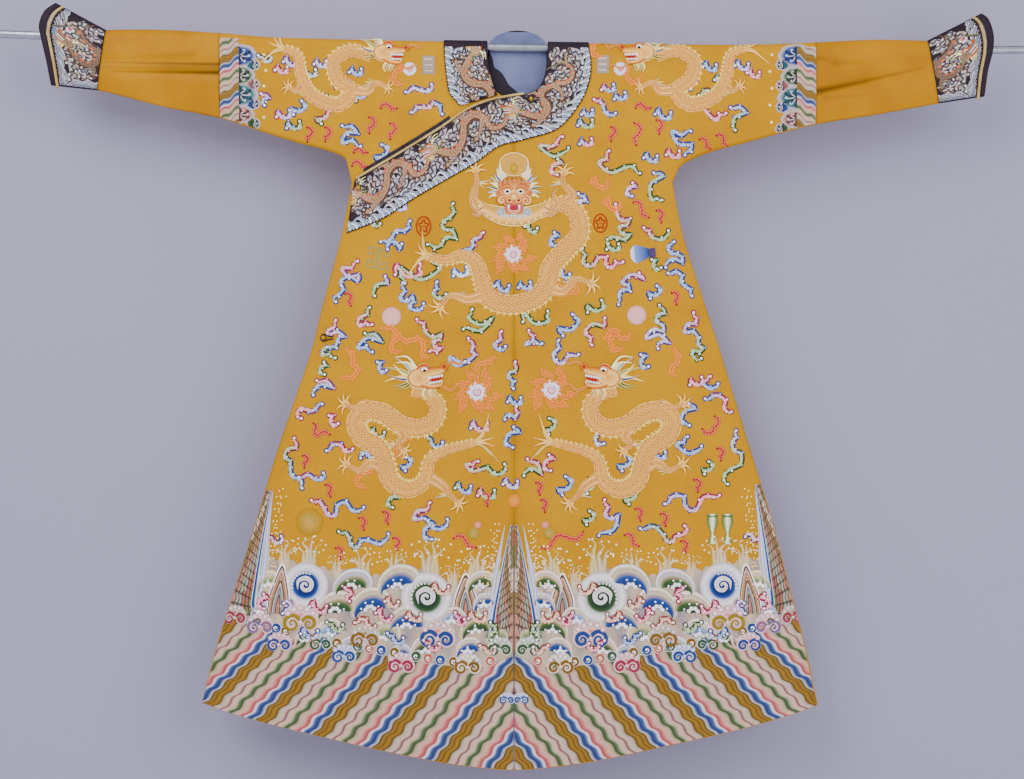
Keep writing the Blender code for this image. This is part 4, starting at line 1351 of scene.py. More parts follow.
@dataclass(frozen=True)
class Pen:
    """Draws motifs in chart squares on one piece of needlework.

    The chart's x runs right and its y runs down; turn is clockwise as one looks at the chart.
    """

    work: Needlework
    centre: Point = (0.0, 0.0)
    turn: float = 0.0
    scale: float = 1.0
    mirror: bool = False
    lift: float = 0.0

    def moved(self, centre: Point, turn: float = 0.0, scale: float = 1.0,
              mirror: bool = False, lift: float = 0.0) -> Pen:
        """A pen whose own chart lies at a place of this one's.

        Args:
            centre: where the new chart's origin lies.
            turn: how far the new chart is turned, in degrees.
            scale: size of the new chart's squares in this one's.
            mirror: whether the new chart is mirrored left to right first.
            lift: how far above this pen's stitches the new ones lie.

        Returns:
            The new pen.
        """
        origin = self.chart(np.array([centre], float))[0]
        return Pen(self.work, (origin[0], origin[1]),
                   self.turn + (-turn if self.mirror else turn), self.scale * scale,
                   self.mirror != mirror, self.lift + lift)

    def chart(self, points: Array) -> Array:
        """Turns this pen's squares into the whole chart's.

        Args:
            points: places in this pen's squares.

        Returns:
            The places in the whole chart's squares.
        """
        x = points[:, 0] * (-self.scale if self.mirror else self.scale)
        y = points[:, 1] * self.scale
        angle = math.radians(self.turn)
        cos, sin = math.cos(angle), math.sin(angle)
        return joined(self.centre[0] + x * cos - y * sin, self.centre[1] + x * sin + y * cos)

    def plan(self, points: Sequence[Point] | Array) -> Array:
        """Turns this pen's squares into metres in plan.

        Args:
            points: places in this pen's squares.

        Returns:
            The places in plan, in metres.
        """
        squares = self.chart(np.asarray(points, float))
        return joined((squares[:, 0] - CHART_CENTRE) * CHART_SQUARE,
                         (CHART_ROD - squares[:, 1]) * CHART_SQUARE)

    def ribbon(self, path: Sequence[Point] | Array, width: float | Sequence[float],
               rows: tuple[Row, ...], end_rows: tuple[Row, ...] | None = None,
               spacing: float = 2.2, lift: float = 0.0, soft: bool = True) -> None:
        """Sews a ribbon of satin stitch along a path.

        Args:
            path: points of its middle line, in squares.
            width: its whole width in squares, or widths evenly spread along it.
            rows: its rows of stitches at the start.
            end_rows: the silks at its end, or None for the same ones.
            spacing: length of a step along it, in squares.
            lift: how far it lies above the pen's level, in metres.
            soft: whether the path is rounded at its points.
        """
        line = self.plan(path)
        if soft:
            line = smooth_line(line, spacing * self.scale * CHART_SQUARE)
        if self.mirror:
            line = line[::-1]
        run = headings(line)
        normal = joined(-run[:, 1], run[:, 0])
        share = np.linspace(0.0, 1.0, len(line))
        if self.mirror:
            share = share[::-1]
        widths = np.atleast_1d(np.asarray(width, float))
        half = np.interp(share, np.linspace(0.0, 1.0, len(widths)), widths) if len(widths) > 1 \
            else np.full(len(line), widths[0])
        half = np.maximum(half, 0.12) * self.scale * CHART_SQUARE / 2.0
        patch = strip_patch(len(line) - 1, len(rows) - 1)
        step, column = patch.first, patch.second
        across = np.array([row.across for row in rows])[column]
        rise = np.array([row.rise for row in rows])[column]
        start = np.array([row.colour for row in rows])
        end = start if end_rows is None else np.array([row.colour for row in end_rows])
        mix = share[step][:, None]
        colour = start[column] * (1.0 - mix) + end[column] * mix
        plan = line[step] + normal[step] * (across * half[step])[:, None]
        length = np.concatenate([[0.0], np.cumsum(np.hypot(*np.diff(line, axis=0).T))])
        thread = joined(length[step], across * half[step])
        narrow = np.minimum(half[step] / (0.9 * CHART_SQUARE), 1.0)
        self.work.add(patch, plan, self.lift + lift + rise * narrow, colour, thread)

    def disc(self, centre: Point, radii: float | tuple[float, float],
             rings: Sequence[tuple[float, Silk | Colour]], turn: float = 0.0, sides: int = 12,
             rise: float = 0.0005, lift: float = 0.0, lobes: int = 0,
             lobe: float = 0.0) -> None:
        """Sews a round or oval patch.

        Args:
            centre: its middle, in squares.
            radii: its radius, or its two radii.
            rings: pairs of a share of the radius and a silk, from the rim to the middle; where
                they end before it, the middle has the last one's silk.
            turn: how far it is turned, in degrees.
            sides: number of its sides.
            rise: height of its middle over its rim.
            lift: how far it lies above the pen's level.
            lobes: number of scallops round its rim.
            lobe: depth of the scallops, as a share of the radius.
        """
        if rings[-1][0] > 0.0:
            rings = (*rings, (0.0, rings[-1][1]))
        patch = disc_patch(sides, len(rings) - 1)
        reach = np.array([ring[0] for ring in rings])[patch.first]
        dyes = np.array([dyed(ring[1]) for ring in rings])
        wave = 1.0 + lobe * np.cos(lobes * patch.second) * reach
        across, down = (radii, radii) if isinstance(radii, (int, float)) else radii
        x = across * reach * wave * np.cos(patch.second)
        y = down * reach * wave * np.sin(patch.second)
        angle = math.radians(turn)
        points = joined(centre[0] + x * math.cos(angle) - y * math.sin(angle),
                           centre[1] + x * math.sin(angle) + y * math.cos(angle))
        plan = self.plan(points)
        height = self.lift + lift + rise * np.sqrt(np.maximum(1.0 - reach ** 2, 0.0))
        # the chart's y runs down, so an unmirrored disc is laid the other way round
        self.work.add(patch.turned(not self.mirror), plan, height, dyes[patch.first], plan)

    def curl(self, centre: Point, radius: float, turns: float, start: float,
             width: float | Sequence[float], rows: tuple[Row, ...],
             end_rows: tuple[Row, ...] | None = None, inner: float = 0.12, way: int = 1,
             spacing: float = 1.4, lift: float = 0.0) -> None:
        """Sews a spiral that winds inwards.

        Args:
            centre: its middle.
            radius: its outer radius.
            turns: how many turns it makes.
            start: angle of its outer end in degrees, clockwise from the right.
            width: its width, or widths along it.
            rows: its rows of stitches.
            end_rows: the silks at its inner end.
            inner: its inner radius as a share of the outer one.
            way: 1 where it winds clockwise, -1 the other way.
            spacing: length of a step along it.
            lift: how far it lies above the pen's level.
        """
        steps = max(int(turns * 7), 5)
        share = np.linspace(0.0, 1.0, steps)
        angle = math.radians(start) + way * share * turns * math.tau
        reach = radius * (1.0 - (1.0 - inner) * share)
        path = joined(centre[0] + reach * np.cos(angle), centre[1] + reach * np.sin(angle))
        self.ribbon(path, width, rows, end_rows, spacing, lift)


# ------------------------------------------------------------------------------ finishes

def add_node(tree: NodeTree, kind: str, **values: object) -> Node:
    """Adds a shader node; a key that starts with in_ sets the input of that name or number.

    Args:
        tree: the tree that it goes in.
        kind: its type, without ShaderNode before it.
        values: its properties, and its inputs by in_ and their name.

    Returns:
        The node.
    """
    node = tree.nodes.new(f"ShaderNode{kind}")
    for key, value in values.items():
        if key.startswith("in_"):
            label = key[3:].replace("_", " ")
            node.inputs[int(label) if label.isdigit() else label].default_value = value
        else:
            setattr(node, key, value)
    return node


def wire(tree: NodeTree, *runs: tuple) -> None:
    """Links nodes; each run is a node and its output, then the next node and its input."""
    for source, output, target, entry in runs:
        tree.links.new(source.outputs[output], target.inputs[entry])


def open_group(name: str, vectors: Sequence[str], numbers: dict[str, float],
               results: Sequence[str]) -> tuple[NodeTree, Node,
                                                Node]:
    """Starts a node group.

    Args:
        name: the group's name.
        vectors: names of its vector inputs.
        numbers: its number inputs and their first values.
        results: names of its number outputs.

    Returns:
        The group, the node that its inputs come from and the node that its outputs go to.
    """
    group = bpy.data.node_groups.new(name, "ShaderNodeTree")
    new = group.interface.new_socket
    for label in vectors:
        new(label, in_out="INPUT", socket_type="NodeSocketVector")
    for label, value in numbers.items():
        new(label, in_out="INPUT", socket_type="NodeSocketFloat").default_value = value
    for label in results:
        new(label, in_out="OUTPUT", socket_type="NodeSocketFloat")
    return group, group.nodes.new("NodeGroupInput"), group.nodes.new("NodeGroupOutput")


def thread_group() -> NodeTree:
    """Fine threads: a value for colour and a height for bump, on any vector.

    Returns:
        The group.
    """
    name = "silk_threads"
    if name in bpy.data.node_groups:
        return bpy.data.node_groups[name]
    group, enter, leave = open_group(
        name, ("Vector",), {"Pitch": 2200.0, "Stretch": 60.0, "Contrast": 0.25},
        ("Value", "Height"))
    size = add_node(group, "CombineXYZ")
    grow = add_node(group, "VectorMath", operation="MULTIPLY")
    noise = add_node(group, "TexNoise", in_Scale=1.0, in_Detail=2.0)
    span = add_node(group, "MapRange", in_From_Min=0.3, in_From_Max=0.7)
    less = add_node(group, "Math", operation="SUBTRACT", in_0=1.0)
    more = add_node(group, "Math", operation="ADD", in_0=1.0)
    wire(group, (enter, "Pitch", size, "X"), (enter, "Stretch", size, "Y"),
         (enter, "Stretch", size, "Z"), (enter, "Vector", grow, 0), (size, 0, grow, 1),
         (grow, 0, noise, "Vector"), (enter, "Contrast", less, 1), (enter, "Contrast", more, 1),
         (noise, "Fac", span, "Value"), (less, 0, span, "To Min"), (more, 0, span, "To Max"),
         (span, 0, leave, "Value"), (noise, "Fac", leave, "Height"))
    return group


def crease_shade_group() -> NodeTree:
    """A painted-shade mask round the line from one point to another, square on, that tapers to its end.

    Returns:
        The group.
    """
    name = "pressed_crease"
    if name in bpy.data.node_groups:
        return bpy.data.node_groups[name]
    group, enter, leave = open_group(name, ("Vector", "Start", "Finish"), {"Width": 0.0}, ("Mask",))
    away = add_node(group, "VectorMath", operation="SUBTRACT")
    run = add_node(group, "VectorMath", operation="SUBTRACT")
    part = add_node(group, "VectorMath", operation="DOT_PRODUCT")
    whole = add_node(group, "VectorMath", operation="DOT_PRODUCT")
    share = add_node(group, "Math", operation="DIVIDE", use_clamp=True)
    along = add_node(group, "VectorMath", operation="SCALE")
    off = add_node(group, "VectorMath", operation="SUBTRACT")
    flat = add_node(group, "VectorMath", operation="MULTIPLY", in_1=(1.0, 0.0, 1.0))
    reach = add_node(group, "VectorMath", operation="LENGTH")
    fade = add_node(group, "MapRange", interpolation_type="SMOOTHSTEP", in_To_Min=1.0,
                    in_To_Max=0.0)
    taper = add_node(group, "Math", operation="MULTIPLY_ADD", in_1=-0.75, in_2=1.0)
    thin = add_node(group, "Math", operation="MULTIPLY")
    mask = add_node(group, "Math", operation="MULTIPLY")
    wire(group, (enter, "Vector", away, 0), (enter, "Start", away, 1), (enter, "Finish", run, 0),
         (enter, "Start", run, 1), (away, "Vector", part, 0), (run, "Vector", part, 1),
         (run, "Vector", whole, 0), (run, "Vector", whole, 1), (part, "Value", share, 0),
         (whole, "Value", share, 1), (run, "Vector", along, 0), (share, 0, along, "Scale"),
         (away, "Vector", off, 0), (along, "Vector", off, 1), (off, "Vector", flat, 0),
         (flat, "Vector", reach, 0), (reach, "Value", fade, "Value"), (share, 0, taper, 0),
         (enter, "Width", thin, 0), (taper, 0, thin, 1), (thin, 0, fade, "From Max"),
         (fade, 0, mask, 0), (taper, 0, mask, 1), (mask, 0, leave, "Mask"))
    return group


@dataclass(frozen=True)
class Finish:
    """What every finish has: a name, a roughness, a metallic value and a gloss."""

    name: str
    roughness: float = 0.5
    metallic: float = 0.0
    gloss: float = 0.12

    def start(self) -> tuple[Material, NodeTree, Node]:
        """Makes the material and returns it with its tree and its shader.

        Returns:
            The material, its tree and its shader.
        """
        material = bpy.data.materials.new(self.name)
        material.use_nodes = True
        shader = material.node_tree.nodes["Principled BSDF"]
        for label, value in (("Roughness", self.roughness), ("Metallic", self.metallic),
                             ("Specular IOR Level", self.gloss), ("Sheen Roughness", 0.4)):
            shader.inputs[label].default_value = value
        return material, material.node_tree, shader

    @staticmethod
    def mixed(tree: NodeTree, first: Colour, second: Colour) -> Node:
        """A mix of two colours, whose factor is still open."""
        return add_node(tree, "Mix", data_type="RGBA", in_A=(*first, 1.0), in_B=(*second, 1.0))


@dataclass(frozen=True)
class Cloth(Finish):
    """Woven silk: two close colours, soft wear, threads that run two ways, and painted crease shade."""

    colour: Colour = (0.5, 0.5, 0.5)
    worn: Colour = (0.5, 0.5, 0.5)
    patch_size: float = 9.0
    pitch: float = 1500.0
    stretch: float = 90.0
    contrast: float = 0.06
    bump: float = 0.00006
    # lines of painted shade: they darken the colour along creases and leave the cloth's shape alone
    painted_crease_shade: tuple[Crease, ...] = ()

    def crease(self, tree: NodeTree, place: Node, value: Node) -> Node:
        """Darkens a value along each crease as painted shade, and gives the node of what comes of it.

        Args:
            tree: the material's tree.
            place: the node of the coordinates.
            value: the node of the value.

        Returns:
            The node of the darkened value.
        """
        if not self.painted_crease_shade:
            return value
        darkest = None
        for fold in self.painted_crease_shade:
            line = add_node(tree, "Group", node_tree=crease_shade_group(),
                            in_Start=(fold.start[0], 0.0, fold.start[1]),
                            in_Finish=(fold.end[0], 0.0, fold.end[1]), in_Width=fold.width)
            deep = add_node(tree, "Math", operation="MULTIPLY", in_1=fold.depth)
            wire(tree, (place, "Object", line, "Vector"), (line, "Mask", deep, 0))
            if darkest is not None:
                both = add_node(tree, "Math", operation="MAXIMUM")
                wire(tree, (darkest, 0, both, 0), (deep, 0, both, 1))
                deep = both
            darkest = deep
        light = add_node(tree, "Math", operation="SUBTRACT", in_0=1.0)
        less = add_node(tree, "Math", operation="MULTIPLY")
        wire(tree, (darkest, 0, light, 1), (value, 0, less, 0), (light, 0, less, 1))
        return less

    def make(self) -> Material:
        """Builds the material.

        Returns:
            The material.
        """
        material, tree, shader = self.start()
        place = add_node(tree, "TexCoord")
        wear = add_node(tree, "TexNoise", in_Scale=self.patch_size, in_Detail=5.0)
        tone = self.mixed(tree, self.colour, self.worn)
        weft, warp = [add_node(tree, "Group", node_tree=thread_group(), in_Pitch=pitch,
                               in_Stretch=stretch, in_Contrast=self.contrast)
                      for pitch, stretch in ((self.pitch, self.stretch),
                                             (self.stretch, self.pitch))]
        both = add_node(tree, "Math", operation="MULTIPLY")
        tint = add_node(tree, "HueSaturation")
        high = add_node(tree, "Math", operation="ADD")
        bump = add_node(tree, "Bump", in_Strength=0.6, in_Distance=self.bump)
        span = add_node(tree, "MapRange", in_From_Min=0.35, in_From_Max=0.65)
        wire(tree, (place, "Object", weft, "Vector"), (place, "Object", warp, "Vector"),
             (place, "Object", wear, "Vector"), (wear, "Fac", span, "Value"),
             (span, 0, tone, "Factor"), (weft, "Value", both, 0), (warp, "Value", both, 1),
             (tone, "Result", tint, "Color"))
        # the crease lines darken the colour here as painted shade
        wire(tree, (self.crease(tree, place, both), 0, tint, "Value"),
             (tint, "Color", shader, "Base Color"), (weft, "Height", high, 0),
             (warp, "Height", high, 1), (high, 0, bump, "Height"),
             (bump, "Normal", shader, "Normal"))
        return material


@dataclass(frozen=True)
class StitchedSilk(Finish):
    """Embroidery silk: each stitch row's own colour, with threads across the row."""

    pitch: float = 1700.0
    stretch: float = 120.0
    contrast: float = 0.16
    bump: float = 0.00015

    def make(self) -> Material:
        """Builds the material.

        Returns:
            The material.
        """
        material, tree, shader = self.start()
        dye = add_node(tree, "Attribute", attribute_name="silk")
        laid = add_node(tree, "UVMap", uv_map="threads")
        threads = add_node(tree, "Group", node_tree=thread_group(), in_Pitch=self.pitch,
                           in_Stretch=self.stretch, in_Contrast=self.contrast)
        tint = add_node(tree, "HueSaturation")
        bump = add_node(tree, "Bump", in_Strength=0.7, in_Distance=self.bump)
        gloss = add_node(tree, "MapRange", in_To_Min=self.roughness - 0.08,
                         in_To_Max=self.roughness + 0.10)
        wire(tree, (laid, "UV", threads, "Vector"), (dye, "Color", tint, "Color"),
             (threads, "Value", tint, "Value"), (tint, "Color", shader, "Base Color"),
             (threads, "Height", gloss, "Value"), (gloss, 0, shader, "Roughness"),
             (threads, "Height", bump, "Height"), (bump, "Normal", shader, "Normal"))
        return material


@dataclass(frozen=True)
class Metal(Finish):
    """Bare or gilt metal with fine scratches and dull patches."""

    colour: Colour = (0.5, 0.5, 0.5)
    dull: Colour = (0.3, 0.3, 0.3)
    grain: float = 60.0

    def make(self) -> Material:
        """Builds the material.

        Returns:
            The material.
        """
        material, tree, shader = self.start()
        place = add_node(tree, "TexCoord")
        noise = add_node(tree, "TexNoise", in_Scale=self.grain, in_Detail=6.0)
        tone = self.mixed(tree, self.colour, self.dull)
        gloss = add_node(tree, "MapRange", in_To_Min=self.roughness - 0.1,
                         in_To_Max=self.roughness + 0.15)
        bump = add_node(tree, "Bump", in_Strength=0.15, in_Distance=0.0004)
        wire(tree, (place, "Object", noise, "Vector"), (noise, "Fac", tone, "Factor"),
             (tone, "Result", shader, "Base Color"), (noise, "Fac", gloss, "Value"),
             (gloss, 0, shader, "Roughness"), (noise, "Fac", bump, "Height"),
             (bump, "Normal", shader, "Normal"))
        return material


@dataclass(frozen=True)
class Wall(Finish):
    """A plain backdrop that only its front shows, so that the robe can be seen from behind."""

    colour: Colour = (0.5, 0.5, 0.5)

    def make(self) -> Material:
        """Builds the material.

        Returns:
            The material.
        """
        material, tree, shader = self.start()
        place = add_node(tree, "TexCoord")
        noise = add_node(tree, "TexNoise", in_Scale=1.6, in_Detail=3.0)
        tone = self.mixed(tree, self.colour, shade(self.colour, 0.06, (0.0, 0.0, 0.0)))
        side = add_node(tree, "NewGeometry")
        ray = add_node(tree, "LightPath")
        either = add_node(tree, "Math", operation="MAXIMUM")
        clear = add_node(tree, "BsdfTransparent")
        mix = add_node(tree, "MixShader")
        wire(tree, (place, "Object", noise, "Vector"), (noise, "Fac", tone, "Factor"),
             (tone, "Result", shader, "Base Color"), (side, "Backfacing", either, 0),
             (ray, "Is Shadow Ray", either, 1), (either, 0, mix, 0), (shader, 0, mix, 1),
             (clear, 0, mix, 2), (mix, 0, tree.nodes["Material Output"], "Surface"))
        return material


# ------------------------------------------------------------------------------ scrolls

THREADS = {
    "b": (silk(44, 62, 128), silk(96, 122, 188), silk(172, 188, 220)),
    "g": (silk(44, 72, 42), silk(104, 136, 90), silk(178, 196, 158)),
    "p": (silk(150, 40, 78), silk(222, 108, 132), silk(238, 172, 182)),
    "l": (silk(82, 60, 124), silk(150, 124, 186), silk(204, 192, 222)),
    "s": (silk(56, 80, 84), silk(118, 144, 138), silk(188, 202, 192)),
    "w": (silk(66, 92, 152), silk(136, 160, 206), silk(204, 212, 228)),
    "r": (silk(150, 28, 44), silk(214, 70, 72), silk(238, 136, 110)),
    "o": (silk(170, 62, 26), silk(226, 112, 54), silk(242, 166, 98)),
    "n": (silk(142, 72, 66), silk(206, 132, 116), silk(230, 188, 170)),
}


@dataclass(frozen=True)
class Scroll:
    """A cloud, a bat or a flame: a winding stem with small curls on alternate sides."""

    silks: str
    points: tuple[Point, ...]
    size: float = 2.5
    pitch: float = 5.6

    def draw(self, pen: Pen) -> None:
        """Sews the stem, one silk after another, then its curls.

        Args:
            pen: the pen that sews it.
        """
        line = smooth_line(self._winding(), 2.5)
        share = np.linspace(0.0, 1.0, len(line))
        widths = 2.0 * self.size * np.interp(share, (0.0, 0.12, 0.88, 1.0), (0.4, 1.0, 1.0, 0.4))
        count = len(self.silks)
        for i in range(count):
            part = slice(i * len(line) // count, (i + 1) * len(line) // count + 1)
            if len(line[part]) > 1:
                after = self.silks[min(i + 1, count - 1)]
                pen.ribbon(line[part], widths[part], self._stem(self.silks[i]),
                           self._stem(after), soft=False, lift=0.0002 + 0.00001 * i)
        pitch = 4.0 if self.silks[0] == "r" else self.pitch
        line = smooth_line(self._winding(), pitch)
        for i, ((x, y), way) in enumerate(zip(line, headings(line))):
            letter = self.silks[min(i * count // len(line), count - 1)]
            out = self.size * (0.62 if i % 2 else -0.62)
            ending = i in (0, len(line) - 1)
            size = self.size * (1.15 if ending else 0.8 + 0.14 * math.sin(2.2 * i))
            spot = (x - way[1] * out, y + way[0] * out)
            if letter == "o":
                tip = (spot[0] + way[0] * 3.0 - way[1] * 2.2 * out, spot[1] + way[1] * 3.0
                       + way[0] * 2.2 * out)
                pen.ribbon(((x, y), spot, tip), (3.0, 2.4, 0.4), self._stem(letter), spacing=2.0,
                           lift=0.00025)
                continue
            if letter == "r":
                pen.disc((x + way[1] * out * 0.2, y - way[0] * out * 0.2), 1.35,
                         ((1.0, THREADS["r"][1]), (0.7, THREADS["r"][0])),
                         sides=6, lift=0.0003)
                continue
            pen.disc(spot, size, self._curl(letter, ending or i % 3 == 0), turn=37.0 * i,
                     sides=7, lift=0.0003 + 0.00002 * (i % 5))

    def _winding(self) -> Array:
        """The stem's points, with a bend between each two given ones and hooked ends.

        Returns:
            The points, in squares.
        """
        points = [np.array(point, float) for point in self.points]
        if len(points) == 2:
            run = points[1] - points[0]
            hook = np.array([-run[1], run[0]]) * 0.55
            points = [points[0] + hook - 0.1 * run, points[0] - 0.25 * run, points[1] + 0.25 * run,
                      points[1] - hook + 0.1 * run]
        made = [points[0]]
        for i, (start, end) in enumerate(zip(points, points[1:])):
            run = end - start
            bow = np.array([-run[1], run[0]]) * (0.28 if i % 2 else -0.28)
            made += [(start + end) / 2.0 + bow, end]
        return np.array(made)

    @staticmethod
    def _stem(letter: str) -> tuple[Row, ...]:
        """Rows of a stem: a dark line beside a pale band, or one on each side of a bright one.

        Args:
            letter: the letter of its silks.

        Returns:
            The rows.
        """
        dark, middle, pale = THREADS[letter]
        if letter in "ro":
            return rows_of((-1.0, dark), (-0.72, pale), (0.0, middle), (0.72, pale), (1.0, dark))
        return rows_of((-1.0, middle), (-0.7, pale), (0.08, pale), (0.3, dark), (1.0, dark))

    @staticmethod
    def _curl(letter: str, hearted: bool) -> tuple[tuple[float, Colour], ...]:
        """Rings of a curl: a dark one round a white heart, or round a pale one.

        Args:
            letter: the letter of its silks.
            hearted: whether its heart is white.

        Returns:
            The rings.
        """
        dark, _, pale = THREADS[letter]
        heart = Silk.FOAM if hearted else pale
        return ((1.0, dark), (0.56, dark), (0.42, heart))


def scrolls(*rows: tuple[str | int, ...]) -> tuple[Scroll, ...]:
    """Scrolls, each given by its silks and then the x and y of every point."""
    return tuple(Scroll(row[0], tuple(zip(row[1::2], row[2::2]))) for row in rows)


# ------------------------------------------------------------------------------ sea and hem

@dataclass
class StandingWater:
    """Slanting wavy stripes above the hem; both halves are alike."""

    repeat: float = 0.13
    start: float = -0.03
    level: float = -1.2
    centre_slope: float = 51.0
    side_slope: float = 42.0
    wave: float = 0.0024
    wave_length: float = 0.035
    steps: int = 66
    rise: float = 0.0007

    STOPS = ((0.00, silk(118, 90, 48)), (0.035, silk(162, 126, 72)), (0.070, silk(126, 98, 54)),
             (0.086, silk(76, 66, 56)), (0.104, silk(190, 182, 178)), (0.145, silk(116, 130, 168)),
             (0.165, silk(44, 54, 104)), (0.205, silk(66, 86, 144)), (0.236, silk(92, 108, 156)),
             (0.262, silk(186, 188, 202)), (0.295, silk(212, 184, 180)), (0.312, silk(146, 70, 86)),
             (0.330, silk(200, 100, 104)), (0.365, silk(208, 124, 122)),
             (0.392, silk(208, 162, 150)), (0.445, silk(202, 172, 156)),
             (0.500, silk(170, 160, 130)), (0.522, silk(66, 78, 60)), (0.550, silk(84, 108, 76)),
             (0.580, silk(106, 124, 92)), (0.602, silk(172, 168, 140)), (0.640, silk(204, 176, 158)),
             (0.700, silk(202, 172, 156)), (0.720, silk(124, 90, 92)), (0.742, silk(164, 118, 118)),
             (0.772, silk(202, 174, 160)), (0.835, silk(188, 174, 164)),
             (0.870, silk(176, 158, 132)), (0.892, silk(80, 68, 54)), (0.915, silk(146, 110, 54)),
             (0.955, silk(166, 130, 74)), (1.0, silk(118, 90, 48)))
    HEADS = ((0.0, Silk.OLIVE_GOLD), (0.225, Silk.BLUE), (0.425, Silk.SALMON), (0.63, Silk.GREEN))

    def __post_init__(self) -> None:
        """Sets the line where the stripes begin under the sea."""
        self.top = Curve((0.0, -1.206), (0.06, -1.228), (0.15, -1.222), (0.25, -1.206),
                         (0.35, -1.190), (0.45, -1.166), (0.53, -1.140), (0.60, -1.118))

    def dyes(self, share: Array) -> Array:
        """Colour at a share of the stripes' repeat.

        Args:
            share: share of the repeat.

        Returns:
            One colour for each share.
        """
        places = [stop[0] for stop in self.STOPS]
        table = np.array([dyed(stop[1]) for stop in self.STOPS])
        return joined(*[np.interp(share % 1.0, places, table[:, i]) for i in range(3)])

    def line(self, start: Array, run: Array) -> tuple[Array, Array]:
        """Plan place on a stripe's line.

        Args:
            start: the line's x where it crosses the level at which stripes are counted.
            run: distance along the line, down and outwards.

        Returns:
            The x and z of each place on the half at +X.
        """
        lean = np.clip(start / 0.55, 0.0, 1.0)
        slope = np.radians(self.centre_slope + (self.side_slope - self.centre_slope) * lean)
        turn = (run + 0.25 * start) / self.wave_length * math.tau
        sway = self.wave * (np.sin(turn) + 0.3 * np.sin(0.53 * turn + 9.0 * start))
        x = start + run * np.cos(slope) + sway * np.sin(slope)
        return x, self.level - run * np.sin(slope) + sway * np.cos(slope)

    def inside(self, side: int, x: Array, z: Array) -> Array:
        """Distance inside the striped field, negative outside it.

        Args:
            side: 1 for the half at +X, -1 for the other one.
            x: distance from the centre line.
            z: height above the rod's axis.

        Returns:
            The distances.
        """
        seam = FORM.side[side](z) - SEAM_MARGIN
        return np.min([x - SEAM_MARGIN, self.top(x) - z,
                       z - FORM.hem_height(x) - SEAM_MARGIN, seam - x], axis=0)

    def draw(self, pen: Pen, side: int) -> None:
        """Sews the stripes of one half and the scrolls at their heads.

        Args:
            pen: the pen that sews it.
            side: 1 for the half at +X, -1 for the other one.
        """
        runs = np.linspace(-0.3, 0.42, 720)
        places = np.array([stop[0] for stop in self.STOPS[:-1]])
        starts = self.start + self.repeat * (np.arange(-2, 6)[:, None] + places).ravel()
        x, z = self.line(starts[:, None], runs[None, :])
        clear = self.inside(side, x, z)
        entry, leave, kept = [], [], []
        for i, row in enumerate(clear):
            found = np.flatnonzero(row > 0.0)
            if len(found) < 4 or found[0] == 0 or found[-1] == len(runs) - 1:
                continue
            a, b = found[0], found[-1]
            step = runs[1] - runs[0]
            entry.append(runs[a] - step * row[a] / (row[a] - row[a - 1]))
            leave.append(runs[b] + step * row[b] / (row[b] - row[b + 1]))
            kept.append(starts[i])
        lines, entries, leaves = np.array(kept), np.array(entry), np.array(leave)
        patch = strip_patch(self.steps, len(lines) - 1)
        share = patch.first / self.steps
        start = lines[patch.second]
        run = entries[patch.second] * (1.0 - share) + leaves[patch.second] * share
        x, z = self.line(start, run)
        phase = (start - self.start) / self.repeat
        colour = self.dyes(phase)
        ends = np.minimum(np.minimum(share, 1.0 - share) * 14.0, 1.0)
        swell = 0.5 + 0.5 * np.cos(phase * math.tau * 4.0)
        lift = pen.lift + self.rise * (0.35 + 0.65 * swell) * ends
        plan = joined(side * x, z)
        thread = joined(run, start)
        # columns run outwards and steps down, so the half at -X is laid the other way round
        pen.work.add(patch.turned(side < 0), plan, lift, colour, thread)
        self._heads(pen, side, lines, entries)

    def _heads(self, pen: Pen, side: int, lines: Array, entries: Array) -> None:
        """Sews a small scroll at the head of each coloured stripe.

        Args:
            pen: the pen that sews it.
            side: 1 for the half at +X, -1 for the other one.
            lines: where each line of the stripes starts.
            entries: how far along itself each line enters the field.
        """
        for turn in range(-3, 7):
            for i, (share, dye) in enumerate(self.HEADS):
                start = self.start + (turn + share) * self.repeat
                if not lines[0] < start < lines[-1]:
                    continue
                x, z = self.line(np.array(start), np.interp(start, lines, entries))
                if self.top(x) - z > 0.004 or x > FORM.side[side](z) - 0.014 or x < 0.012:
                    continue
                square = (CHART_CENTRE + side * float(x) / CHART_SQUARE,
                          CHART_ROD - float(z) / CHART_SQUARE)
                here = pen.moved(square, mirror=side > 0, lift=0.0016)
                deep = shade(dye, 0.35, Silk.INK)
                here.disc((0.0, -1.5), 5.4, ((1.0, Silk.FOAM), (0.86, deep), (0.60, dye),
                                             (0.46, Silk.FOAM)), sides=12)
                here.curl((0.0, -1.5), 4.2, 1.3, 90.0 + 25.0 * (i % 2), (2.2, 2.2, 1.2),
                          plain(deep), lift=0.0005)


@dataclass(frozen=True)
class Crest:
    """A round-headed wave: its middle, radius, the angles that it spans, and its silk."""

    x: float
    y: float
    radius: float
    start: float
    end: float
    dye: Silk
    squash: float = 1.0


@dataclass(frozen=True)
class Breaker:
    """A large wave that rolls up into a spiral."""

    x: float
    y: float
    radius: float
    dye: Silk
    dark: Silk
    start: float
    way: int


